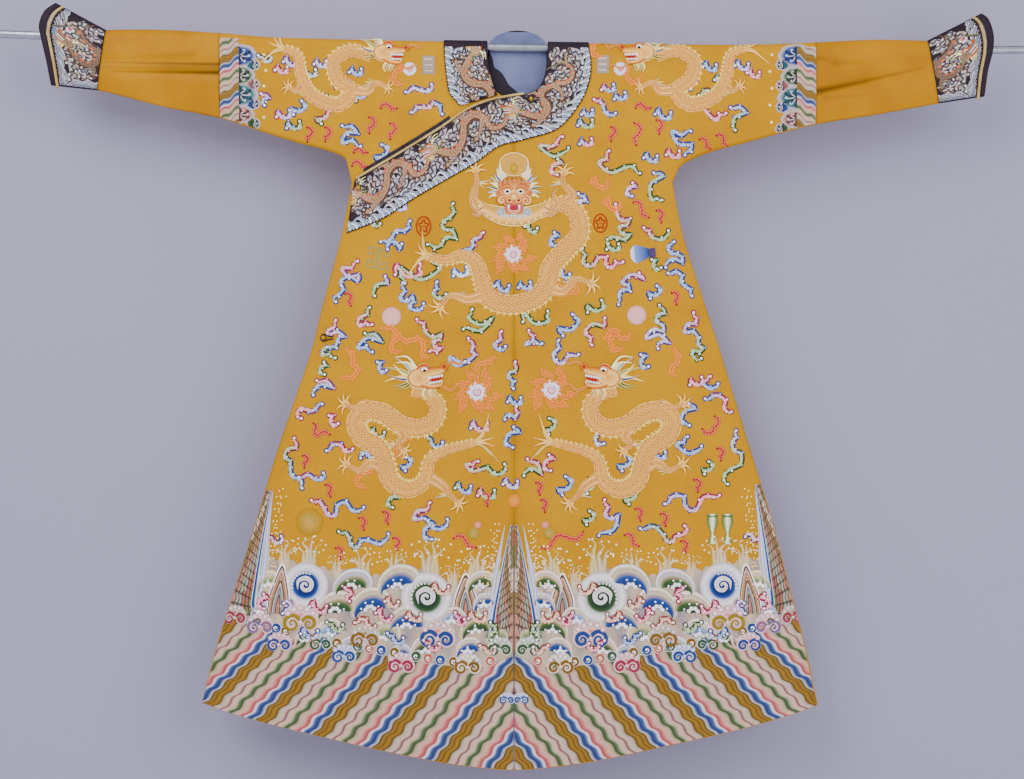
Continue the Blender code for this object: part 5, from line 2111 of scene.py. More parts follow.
@dataclass
class Sea:
    """Rolling waves above the stripes; the same on both halves."""

    CRESTS = (
        Crest(352, 588, 22, 180, 360, Silk.GREEN, 0.80), Crest(398, 588, 24, 180, 360, Silk.BLUE),
        Crest(480, 587, 17, 180, 360, Silk.GREEN), Crest(336, 612, 24, 185, 355, Silk.GREEN, 0.8),
        Crest(371, 610, 23, 175, 350, Silk.BLUE), Crest(407, 628, 24, 190, 350, Silk.BLUE),
        Crest(484, 606, 14, 180, 355, Silk.BLUE), Crest(476, 632, 19, 180, 350, Silk.GREEN),
        Crest(452, 622, 16, 190, 350, Silk.BLUE_LIGHT), Crest(383, 640, 20, 185, 350, Silk.SAGE),
        Crest(270, 586, 16, 180, 350, Silk.SAGE), Crest(330, 636, 18, 185, 345, Silk.BLUE_LIGHT),
        Crest(285, 606, 15, 185, 350, Silk.LILAC), Crest(352, 652, 17, 185, 350, Silk.GREEN),
        Crest(426, 652, 18, 185, 350, Silk.GREEN), Crest(468, 652, 16, 190, 350, Silk.BLUE),
        Crest(262, 612, 13, 185, 350, Silk.BLUE_LIGHT), Crest(400, 657, 14, 185, 350, Silk.BLUE),
        Crest(497, 640, 14, 185, 355, Silk.SAGE), Crest(306, 640, 12, 185, 350, Silk.GREEN))
    BREAKERS = (Breaker(307, 584, 22.5, Silk.BLUE, Silk.BLUE_DARK, 150, 1),
                Breaker(427, 596, 25.5, Silk.GREEN, Silk.GREEN_DARK, 140, 1))
    PLUMES = ((310, 556, 1.0), (363, 568, 1.0), (395, 565, 0.8), (431, 562, 1.15), (476, 568, 1.1),
              (286, 556, 0.8), (338, 566, 0.6), (453, 578, 0.7), (497, 572, 0.8))
    CLOUD_HEADS = ((302, 617, 1.45, Silk.PINK, Silk.OLIVE), (438, 633, 1.45, Silk.SALMON, Silk.BLUE),
                   (366, 635, 1.2, Silk.OLIVE_GOLD, Silk.OLIVE_GOLD),
                   (345, 652, 1.0, Silk.BLUE_LIGHT, Silk.BLUE),
                   (402, 661, 1.1, Silk.PINK, Silk.PINK_DARK),
                   (262, 622, 1.1, Silk.PINK, Silk.LILAC),
                   (468, 662, 1.1, Silk.BEIGE, Silk.OLIVE_GOLD),
                   (236, 614, 1.0, Silk.OLIVE_GOLD, Silk.PINK_DARK),
                   (500, 645, 1.0, Silk.SAGE, Silk.GREEN), (322, 640, 0.9, Silk.SAGE, Silk.GREEN),
                   (281, 640, 1.0, Silk.PINK, Silk.BLUE))
    SCROLLS = scrolls(
        ("p", 346, 588, 353, 593, 349, 600), ("n", 391, 598, 396, 604), ("n", 438, 584, 446, 590),
        ("p", 383, 610, 388, 618), ("n", 474, 612, 483, 617), ("p", 317, 602, 324, 609),
        ("n", 412, 612, 419, 617), ("p", 455, 612, 459, 622, 466, 618),
        ("n", 357, 622, 367, 618, 376, 626), ("g", 328, 622, 336, 628, 345, 624),
        ("l", 286, 612, 292, 606, 286, 600), ("b", 388, 633, 396, 640, 405, 637),
        ("p", 424, 640, 432, 647, 441, 642), ("g", 490, 622, 496, 630, 490, 638),
        ("n", 480, 645, 488, 650, 496, 646), ("p", 268, 598, 262, 604), ("b", 308, 628, 316, 634))
    base_rise: float = 0.0004

    def __post_init__(self) -> None:
        """Sets the upper edge of the sea, in chart squares from the centre line."""
        self.top = Curve((0.0, 590.0), (40.0, 580.0), (60.0, 592.0), (88.0, 574.0),
                         (118.0, 574.0), (140.0, 578.0), (165.0, 574.0), (190.0, 572.0),
                         (212.0, 568.0), (235.0, 564.0), (262.0, 560.0), (300.0, 556.0))

    def draw(self, pen: Pen, side: int) -> None:
        """Sews one half of the sea.

        Args:
            pen: the pen that sews it.
            side: 1 for the half at +X, -1 for the other one.
        """
        self._field(pen, side)
        here = pen.moved((CHART_CENTRE, 0.0), mirror=side > 0)
        for crest in self.CRESTS:
            self.crest(here, crest)
        for breaker in self.BREAKERS:
            self._breaker(here, breaker)
        half = here.moved((-CHART_CENTRE, 0.0), lift=0.0016)
        for scroll in self.SCROLLS:
            scroll.draw(half)
        for x, y, size, head, curl in self.CLOUD_HEADS:
            self.cloud_head(here.moved((x - CHART_CENTRE, y), scale=size, lift=0.0013), head, curl)
        for i, (x, y, size) in enumerate(self.PLUMES):
            self._plume(here.moved((x - CHART_CENTRE, y), scale=size), i)
        Rock.draw(here.moved((466 - CHART_CENTRE, 612), lift=0.0004), 12.0, 40.0)
        Rock.draw(here.moved((279 - CHART_CENTRE, 612), 6.0, lift=0.0013), 11.0, 50.0)

    def _field(self, pen: Pen, side: int) -> None:
        """Sews the pale foam that lies under the waves, with a scalloped upper edge.

        Args:
            pen: the pen that sews it.
            side: 1 for the half at +X, -1 for the other one.
        """
        columns, rows = 120, 14
        patch = strip_patch(columns, rows)
        share, down = patch.first / columns, patch.second / rows
        level = -1.16
        edge = FORM.side[side](level) / CHART_SQUARE
        square = 1.0 + share * (edge - 1.0)
        top = CHART_ROD - self.top(square) - 1.0 + 6.0 * np.abs(np.sin(square * 0.27)) ** 0.7
        low = StandingWater().top(square * CHART_SQUARE) / CHART_SQUARE - 3.0
        z = (top + (low - top) * down) * CHART_SQUARE
        seam = FORM.side[side](z) - SEAM_MARGIN
        x = np.minimum(square * CHART_SQUARE, seam)
        x = seam * (x / (edge * CHART_SQUARE))
        tone = 0.5 + 0.25 * np.sin(square * 0.31 + 5.0 * down) + 0.25 * np.sin(
            square * 0.17 - 9.0 * down)
        hue = (0.5 + 0.5 * np.sin(square * 0.11 + 7.0 * down))[:, None]
        cold = np.array(silk(152, 158, 150)) * hue + np.array(silk(166, 152, 160)) * (1.0 - hue)
        colour = cold + (np.array(silk(206, 180, 156)) - cold) * tone[:, None]
        lift = np.full(len(x), pen.lift + self.base_rise)
        lift[(patch.second == 0)] = pen.lift
        pen.work.add(patch.turned(side > 0), joined(side * x, z), lift, colour, joined(z, x))
        here = pen.moved((CHART_CENTRE, 0.0), mirror=side > 0)
        for i in range(58):
            x = 10.0 + 4.6 * i + 1.4 * math.sin(2.7 * i)
            high = float(self.top(x)) + 16.0 + 26.0 * ((STAGGER * i) % 1.0)
            if x > float(FORM.side[side](level)) / CHART_SQUARE - 8.0:
                continue
            path = [(-x - 1.6 * math.sin(0.9 * step), high + 5.0 * step) for step in range(6)]
            dye = (silk(118, 134, 116), silk(124, 116, 146), silk(176, 140, 96))[i % 3]
            here.ribbon(path, 1.3, plain(dye, 0.0002), spacing=4.0, lift=0.0003)

    @staticmethod
    def crest(here: Pen, crest: Crest) -> None:
        """Sews a round-headed wave: a dark heart that pales to its rim, and claws of foam.

        Args:
            here: the pen, on a chart of the motif's own.
            crest: the wave.
        """
        turn = np.radians(np.linspace(crest.start - 14.0, crest.end + 10.0, 13))
        middle = crest.radius * 0.58
        path = joined(crest.x - CHART_CENTRE + middle * 1.16 * np.cos(turn),
                         crest.y + middle * crest.squash * np.sin(turn)
                         - 3.0 * np.cos(turn))
        dark = shade(crest.dye, 0.45, Silk.INK)
        half = shade(crest.dye, 0.5, Silk.BEIGE)
        rim = (silk(208, 188, 176), silk(186, 186, 202), silk(200, 188, 160))[int(crest.x) % 3]
        rows = rows_of((-1.0, dark), (-0.55, dark), (-0.15, crest.dye), (0.15, half),
                       (0.38, rim), (0.54, shade(half, 0.35, rim)), (0.62, rim),
                       (0.82, silk(214, 204, 198)), (0.92, rim),
                       (1.0, shade(half, 0.4, Silk.INK)), rise=0.0008)
        spread = crest.radius * 0.94
        here.ribbon(path, (spread * 0.10, spread * 0.62, spread, spread * 1.04, spread * 0.50),
                    rows, spacing=2.8, lift=0.0006)
        count = max(int(crest.radius / 5.0), 3)
        for i in range(count):
            angle = math.radians(crest.start + (crest.end - crest.start)
                                 * (0.10 + 0.80 * i / (count - 1)))
            for reach, size in ((0.2, 2.4), (0.4, 1.2)):
                spot = (crest.x - CHART_CENTRE + crest.radius * reach * math.cos(angle),
                        crest.y - 0.5 + crest.radius * reach * math.sin(angle))
                here.disc(spot, size, ((1.0, dark), (0.74, Silk.FOAM)), sides=7, lift=0.0013)

    @staticmethod
    def _breaker(here: Pen, wave: Breaker) -> None:
        """Sews a spiral wave: pale foam that deepens inwards to a white curl.

        Args:
            here: the pen, on a chart of the motif's own.
            wave: the wave.
        """
        x, y, size = wave.x - CHART_CENTRE, wave.y, wave.radius
        foam, rim = silk(210, 203, 206), silk(199, 191, 194)
        half = shade(wave.dye, 0.55, Silk.FOAM)
        here.disc((x, y), size, ((1.0, shade(half, 0.3, silk(150, 128, 120))), (0.94, rim),
                                 (0.84, foam), (0.74, shade(half, 0.62, foam)), (0.64, half),
                                 (0.54, wave.dye), (0.42, wave.dark), (0.30, wave.dark)),
                  sides=32, rise=0.0008, lift=0.0009)
        rows = rows_of((-1.0, wave.dark), (-0.86, foam), (0.0, rim), (0.86, foam),
                       (1.0, wave.dark), rise=0.0006)
        here.curl((x, y), size * 0.40, 1.7, wave.start, (size * 0.01, size * 0.16, size * 0.22,
                  size * 0.21, size * 0.18, size * 0.14, size * 0.08), rows, inner=0.05,
                  way=wave.way, spacing=1.3, lift=0.0017)
        for i in range(9):
            angle = math.radians(wave.start + 20.0 + 15.0 * i * wave.way)
            reach = size * (0.62 - 0.01 * i)
            here.disc((x + reach * math.cos(angle), y + reach * math.sin(angle)),
                      2.0 - 0.1 * i, ((1.0, wave.dark), (0.7, foam)), sides=7,
                      lift=0.0019)

    @staticmethod
    def cloud_head(here: Pen, head: Silk, curl: Silk) -> None:
        """Sews a cloud head: a scalloped cap over two inward hooks.

        Args:
            here: the pen, on a chart of the motif's own.
            head: the cap's silk.
            curl: the hooks' silk.
        """
        pale = shade(head, 0.45, Silk.FOAM)
        deep = shade(curl, 0.3, Silk.INK)
        here.disc((0, -2.5), (11.0, 6.5), ((1.0, Silk.FOAM), (0.88, shade(head, 0.3, Silk.INK)),
                                           (0.78, pale), (0.55, head), (0.4, pale), (0.0, head)),
                  sides=20, lobes=7, lobe=0.10, lift=0.0002)
        rows = rows_of((-1.0, pale), (-0.8, deep), (0.25, deep), (0.5, pale), (1.0, pale))
        for way in (-1, 1):
            here.curl((way * 5.8, 3.4), 5.8, 1.45, 200.0 if way > 0 else -20.0,
                      (4.8, 4.6, 3.4, 2.0), rows, inner=0.2, way=way, lift=0.0005)
        for x, y, size in ((-8.5, -3.8, 2.5), (8.5, -3.8, 2.5), (-4.5, -6.4, 2.8),
                           (4.5, -6.4, 2.8), (0.0, -7.4, 2.6), (0.0, 2.2, 1.7)):
            here.disc((x, y), size, ((1.0, Silk.FOAM), (0.80, shade(head, 0.35, Silk.INK)),
                                     (0.56, pale), (0.0, Silk.FOAM)), sides=8, lift=0.0006)

    @staticmethod
    def _plume(here: Pen, number: int) -> None:
        """Sews a plume of spray: thin pale tongues with drops round them.

        Args:
            here: the pen, on a chart of the motif's own.
            number: its number, by which its silks and its sway differ.
        """
        silks = (silk(196, 192, 206), silk(178, 192, 168), silk(204, 198, 200),
                 silk(170, 184, 210), silk(206, 196, 168))
        gold = silk(202, 160, 60)
        for i, (way, tall) in enumerate(((-1.0, 12.0), (1.0, 13.0), (-0.45, 18.0), (0.4, 22.0))):
            pale = shade(silks[(number + i) % 5], 0.42, gold)
            rows = rows_of((-1.0, silk(198, 162, 92)), (-0.35, pale), (0.2, silk(204, 186, 160)),
                           (0.6, shade(pale, 0.3, Silk.BLUE)), (1.0, silk(198, 162, 92)))
            tips = rows_of((-1.0, gold), (-0.35, shade(pale, 0.5, gold)),
                           (0.2, silk(220, 196, 136)), (0.6, shade(pale, 0.6, gold)), (1.0, gold))
            sway = 1.8 * math.sin(1.7 * number + i)
            path = ((way * 2.0, 20.0), (way * 5.0, 5.0), (way * 5.0 + sway, -tall * 0.40),
                    (way * 9.5 - sway, -tall * 0.78), (way * 8.5 + 3.0 * sway, -tall))
            here.ribbon(path, (9.0, 8.0, 5.0, 2.4, 0.4), rows, tips, spacing=3.6,
                        lift=0.0001 + 0.00004 * i)
            for step in range(4):
                share = 0.4 + 0.22 * step
                spot = (way * (10.0 + 5.0 * share) + 3.4 * math.sin(3.1 * step + i + number),
                        -tall * share - 3.4 * math.cos(2.0 * step + i))
                here.disc(spot, 1.1, ((1.0, silk(214, 170, 84)), (0.6, silk(240, 222, 176)),
                                      (0.0, silk(242, 232, 204))), sides=6, lift=0.0004)


class Rock:
    """A small rock of nested arches that stands in the sea."""

    SILKS = (Silk.FOAM, silk(84, 62, 66), silk(206, 178, 160), silk(196, 136, 122),
             silk(168, 144, 104), silk(84, 62, 66), silk(206, 178, 160), silk(124, 132, 168),
             silk(156, 164, 140), silk(84, 62, 66), silk(196, 136, 122))

    @classmethod
    def draw(cls, here: Pen, half: float, height: float) -> None:
        """Sews the rock on its foot, as arches one inside the other.

        Args:
            here: the pen, on a chart of the motif's own.
            half: half its width at the foot.
            height: its height.
        """
        for i, dye in enumerate(cls.SILKS):
            share = 1.0 - i / len(cls.SILKS)
            wide, tall = half * share, height * (0.25 + 0.75 * share)
            path = ((-wide, 0.0), (-wide * 0.92, -tall * 0.35), (-wide * 0.5, -tall * 0.72),
                    (0.0, -tall), (wide * 0.5, -tall * 0.72), (wide * 0.92, -tall * 0.35),
                    (wide, 0.0))
            here.ribbon(path, half * 1.5 / len(cls.SILKS), plain(dye, 0.0004), spacing=2.6,
                        lift=0.00003 * i)


@dataclass
class Mountain:
    """Rock that rises from the sea at the centre seam and at each side seam."""

    SILKS = (silk(192, 146, 128), silk(154, 132, 94), silk(206, 184, 168), silk(136, 134, 98),
             silk(182, 118, 106), silk(164, 170, 152))
    INK = silk(70, 54, 56)
    STRIPES = 6
    EDGE = ((0.80, Silk.FOAM), (0.83, Silk.BLUE_DARK), (0.90, Silk.BLUE), (0.94, Silk.BLUE_LIGHT),
            (0.97, Silk.FOAM), (1.0, Silk.HALO))
    rise: float = 0.0007

    def _stripes(self, pen: Pen, inner: Callable[[Array], Array],
                 outer: Callable[[Array], Array], low: float, high: float,
                 flip: bool, tiers: int) -> None:
        """Sews nested stripes between two lines.

        Args:
            pen: the pen.
            inner: the line from which the stripes are counted, x by height.
            outer: the line at which they end.
            low: height of the foot.
            high: height of the peak.
            flip: whether the faces are laid the other way round.
            tiers: how many times the stripes step down in chevrons.
        """
        rows = 92
        shares, inks = [], []
        for stripe in range(self.STRIPES):
            start = 0.8 * stripe / self.STRIPES
            shares += [start, start + 0.024, start + 0.032, start + 0.118]
            inks += [stripe > 0, stripe > 0, False, False]
        shares += [place for place, _ in self.EDGE]
        patch = strip_patch(rows, len(shares) - 1)
        up = patch.first / rows
        share = np.array(shares)[patch.second]
        z = low + (high - low) * up
        tier = up * tiers
        jog = 0.100 * (np.clip(4.0 * (tier % 1.0), 0.0, 1.0) - np.clip(4.0 * (tier % 1.0) - 2.0,
                                                                      0.0, 1.0))
        nudged = np.where((share > 0.0) & (share < 0.8), share + jog * (0.8 - share), share)
        across = inner(z) + (outer(z) - inner(z)) * nudged
        z = z + (0.030 * (0.8 - np.minimum(share, 0.8)) * np.clip(6.0 * up, 0.0, 1.0)
                 * np.clip(4.0 * (1.0 - up), 0.0, 1.0))
        table = np.array([dyed(dye) for dye in self.SILKS])
        stripe = np.minimum(patch.second // 4, self.STRIPES - 1)
        colour = table[(stripe * 5 + (tier / 3.0 + stripe * 0.4).astype(int)) % len(table)]
        ink = np.array(inks + [False] * len(self.EDGE))[patch.second]
        ledge = (patch.first % 6 == 0) & (share > 0.0)
        colour = np.where((ink | ledge)[:, None], np.array(self.INK), colour)
        edge = np.maximum(patch.second - len(inks), 0)
        edging = np.array([dyed(dye) for _, dye in self.EDGE])[edge]
        colour = np.where((patch.second >= len(inks))[:, None], edging, colour)
        lift = pen.lift + self.rise * (0.5 + 0.5 * np.abs(np.sin(patch.second * 1.3)))
        plan = joined(across, z)
        pen.work.add(patch.turned(flip), plan, lift, colour, plan)

    def draw(self, pen: Pen, side: int) -> None:
        """Sews half of the central mountain and the mountain at one side.

        Args:
            pen: the pen that sews it.
            side: 1 for the half at +X, -1 for the other one.
        """
        peak, foot = -0.952, -1.2
        width = Curve((foot, 0.053), (-1.13, 0.045), (-1.06, 0.03), (peak, 0.007))
        self._stripes(pen, lambda z: side * np.full_like(z, 0.0014), lambda z: side * width(z),
                      foot, peak, side < 0, 16)
        if side < 0:
            near = Curve((-1.13, 0.505), (-1.104, 0.512), (-0.892, 0.484))
            top, base = -0.884, -1.132
        else:
            near = Curve((-1.13, 0.5), (-1.104, 0.508), (-0.88, 0.481))
            top, base = -0.872, -1.13
        self._stripes(pen, lambda z: side * (FORM.side[side](z) - SEAM_MARGIN),
                      lambda z: side * np.minimum(near(z), FORM.side[side](z) - 0.004),
                      base, top, side > 0, 15)
        here = pen.moved((CHART_CENTRE, 0.0), mirror=side > 0)
        self._spray(here, ((-9, 524), (-15, 556), (-21, 592), (-25, 622)), 8.0)
        self._spray(here, ((-240, 490), (-245, 530), (-247, 560), (-252, 596)), 9.0)

    @staticmethod
    def _spray(here: Pen, path: Sequence[Point], width: float) -> None:
        """Sews the foam beside a rock, with drops along its edge.

        Args:
            here: the pen, on a chart of the motif's own.
            path: points along the rock's edge.
            width: the foam's width.
        """
        rows = rows_of((-1.0, silk(196, 196, 206)), (-0.5, silk(160, 174, 206)),
                       (0.0, silk(204, 202, 212)), (0.4, silk(158, 166, 192)),
                       (1.0, silk(210, 196, 176)))
        here.ribbon(path, (0.4, width * 0.45, width * 0.8, width * 0.5), rows, spacing=3.5,
                    lift=0.0002)
        line = smooth_line(np.array(path, float), 4.4)
        away = -1.0 if path[0][0] > -100 else 1.0
        for i, (x, y) in enumerate(line):
            reach = width * (0.72 + 0.22 * math.sin(i * 2.1))
            for out in (reach, reach + 4.0 + 2.0 * math.sin(1.3 * i)):
                here.disc((x + away * out, y + 2.0 * math.sin(out)), 1.15,
                          ((1.0, silk(212, 166, 76)), (0.6, Silk.CREAM)),
                          sides=6, lift=0.0005)


# ------------------------------------------------------------------------------ small motifs

@dataclass(frozen=True)
class Pearl:
    """A flaming pearl: a pale rayed ball with a pink spiral."""

    x: float
    y: float
    radius: float = 9.5
    flames: bool = True

    def draw(self, pen: Pen) -> None:
        """Sews the pearl and the flames round it.

        Args:
            pen: the pen that sews it.
        """
        here = pen.moved((self.x, self.y), lift=0.0003)
        size = self.radius
        lilac = silk(196, 186, 214)
        here.disc((0, 0), size, ((1.0, silk(236, 232, 236)), (0.86, lilac), (0.66, Silk.FOAM),
                                 (0.5, lilac), (0.0, silk(238, 230, 236))), sides=32, lobes=14,
                  lobe=0.10)
        rows = bordered(Silk.PINK_DARK, silk(236, 190, 196), 0.45)
        here.curl((0, 0), size * 0.46, 1.5, -60.0, (2.2, 2.4, 1.6), rows, inner=0.15, lift=0.0005)
        if self.flames:
            for i in range(9):
                spin = pen.moved((self.x, self.y), 40.0 * i - 75.0, size / 9.0)
                tall = 1.0 + 0.25 * math.sin(2.3 * i)
                Scroll("o", ((9.5, 0), (13 * tall, -4), (12 * tall, -9), (16 * tall, -12)), 2.2,
                       4.2).draw(spin)


class Charms:
    """Small symbols scattered over the ground, each on a plain design of its own."""

    @staticmethod
    def medallion(pen: Pen, wide: float, tall: float, dye: Silk) -> None:
        """Sews a medallion: a ring round a five-petalled flower, as a plain ornament.

        Args:
            pen: the pen that sews it.
            wide: its width, in squares.
            tall: its height, in squares.
            dye: its silk.
        """
        rows = plain(dye, 0.0004)
        turn = np.radians(np.linspace(0.0, 360.0, 33))
        for reach, petal in ((0.5, 0.0), (0.27, 0.08)):
            ring = reach - petal * np.sin(5.0 * turn)
            path = joined(wide * ring * np.cos(turn), tall * ring * np.sin(turn))
            pen.ribbon(path, 1.5, rows, spacing=1.4)
        pen.disc((0, 0), (wide * 0.09, tall * 0.07), ((1.0, dye), (0.5, Silk.ORANGE),
                                                      (0.0, dye)), sides=8, lift=0.0002)

    @staticmethod
    def fret(pen: Pen, size: float, dye: Silk) -> None:
        """Sews a pair of right-angled frets, back to back.

        Args:
            pen: the pen that sews it.
            size: its height, in squares.
            dye: its silk.
        """
        rows = bordered(dye, shade(dye, 0.5, Silk.CREAM), 0.5, 0.0004)
        half = size / 2.0
        for way in (-1, 1):
            for tip in (-1, 1):
                path = ((way * half * 0.15, 0.0), (way * half * 0.15, tip * half),
                        (way * half, tip * half), (way * half, tip * half * 0.3),
                        (way * half * 0.55, tip * half * 0.3),
                        (way * half * 0.55, tip * half * 0.65))
                for start, end in zip(path, path[1:]):
                    pen.ribbon((start, end), 1.5, rows, soft=False)

    @staticmethod
    def axe(pen: Pen) -> None:
        """Sews an axe-head of shaded blue silk.

        Args:
            pen: the pen that sews it.
        """
        steps = (((-13, 0), (-7, 0), (7, 17, 19), silk(206, 206, 226), silk(170, 180, 216)),
                 ((-9, 0), (5, 0), (18, 15, 9), silk(140, 160, 212), silk(44, 74, 150)),
                 ((4, 0), (12, 0), (7, 9, 9), silk(56, 60, 116), silk(104, 72, 110)))
        for i, (start, end, widths, first, last) in enumerate(steps):
            pen.ribbon((start, end), widths, plain(first, 0.0006), plain(last, 0.0006),
                       spacing=2.0, lift=0.0002 + 0.0001 * i)

    @staticmethod
    def disc(pen: Pen, size: float, dye: Silk | Colour, dotted: bool) -> None:
        """Sews a soft round charm, plain or dotted.

        Args:
            pen: the pen that sews it.
            size: its radius, in squares.
            dye: its silk.
            dotted: whether it has dots.
        """
        edge = shade(dye, 0.35, Silk.OLIVE_GOLD)
        pen.disc((0, 0), size, ((1.0, edge), (0.85, dye), (0.0, shade(dye, 0.2, Silk.CREAM))),
                 sides=24, rise=0.0004)
        if dotted:
            for i in range(14):
                reach = size * (0.35 + 0.45 * ((i * STAGGER) % 1.0))
                turn = i * 2.4
                pen.disc((reach * math.cos(turn), reach * math.sin(turn)), 1.1,
                         ((1.0, Silk.OLIVE), (0.0, Silk.SAGE)), sides=6, lift=0.0005)

    @staticmethod
    def cup(pen: Pen, height: float) -> None:
        """Sews a small goblet with a foot.

        Args:
            pen: the pen that sews it.
            height: its height, in squares.
        """
        rows = rows_of((-1.0, Silk.GREEN), (-0.6, Silk.SAGE), (0.0, silk(214, 214, 176)),
                       (0.6, Silk.SAGE), (1.0, Silk.GREEN))
        pen.ribbon(((0, -height / 2), (0, -height * 0.1), (0, height * 0.12)), (10, 11, 4), rows)
        pen.ribbon(((0, height * 0.1), (0, height / 2)), (2.4, 9), rows, lift=0.0001)
        pen.ribbon(((-4.5, -height * 0.42), (4.5, -height * 0.42)), 1.6, plain(Silk.GREEN),
                   soft=False, lift=0.0004)

    @staticmethod
    def tile(pen: Pen, wide: float, tall: float) -> None:
        """Sews a tile of temple stone with a ruled frame.

        Args:
            pen: the pen that sews it.
            wide: its width, in squares.
            tall: its height, in squares.
        """
        pen.ribbon(((0, -tall / 2), (0, tall / 2)), wide, plain(Silk.GREY_LILAC, 0.0003),
                   soft=False, spacing=3.0)
        for share in (-0.32, 0.0, 0.32):
            pen.ribbon(((-wide * 0.34, share * tall), (wide * 0.34, share * tall)), 1.4,
                       plain(silk(206, 190, 170)), soft=False, lift=0.0004)
            pen.ribbon(((share * wide, -tall * 0.42), (share * wide, tall * 0.42)), 1.0,
                       plain(silk(190, 150, 150)), soft=False, lift=0.0003)


# ------------------------------------------------------------------------------ dragons

@dataclass(frozen=True)
class Leg:
    """A dragon's leg from its hip to its ankle; five claws spread from the ankle."""

    points: tuple[Point, ...]
    spread: float = 1.0


class Head(Enum):
    """The two ways in which a dragon looks."""

    FRONTAL = "frontal"
    PROFILE = "profile"


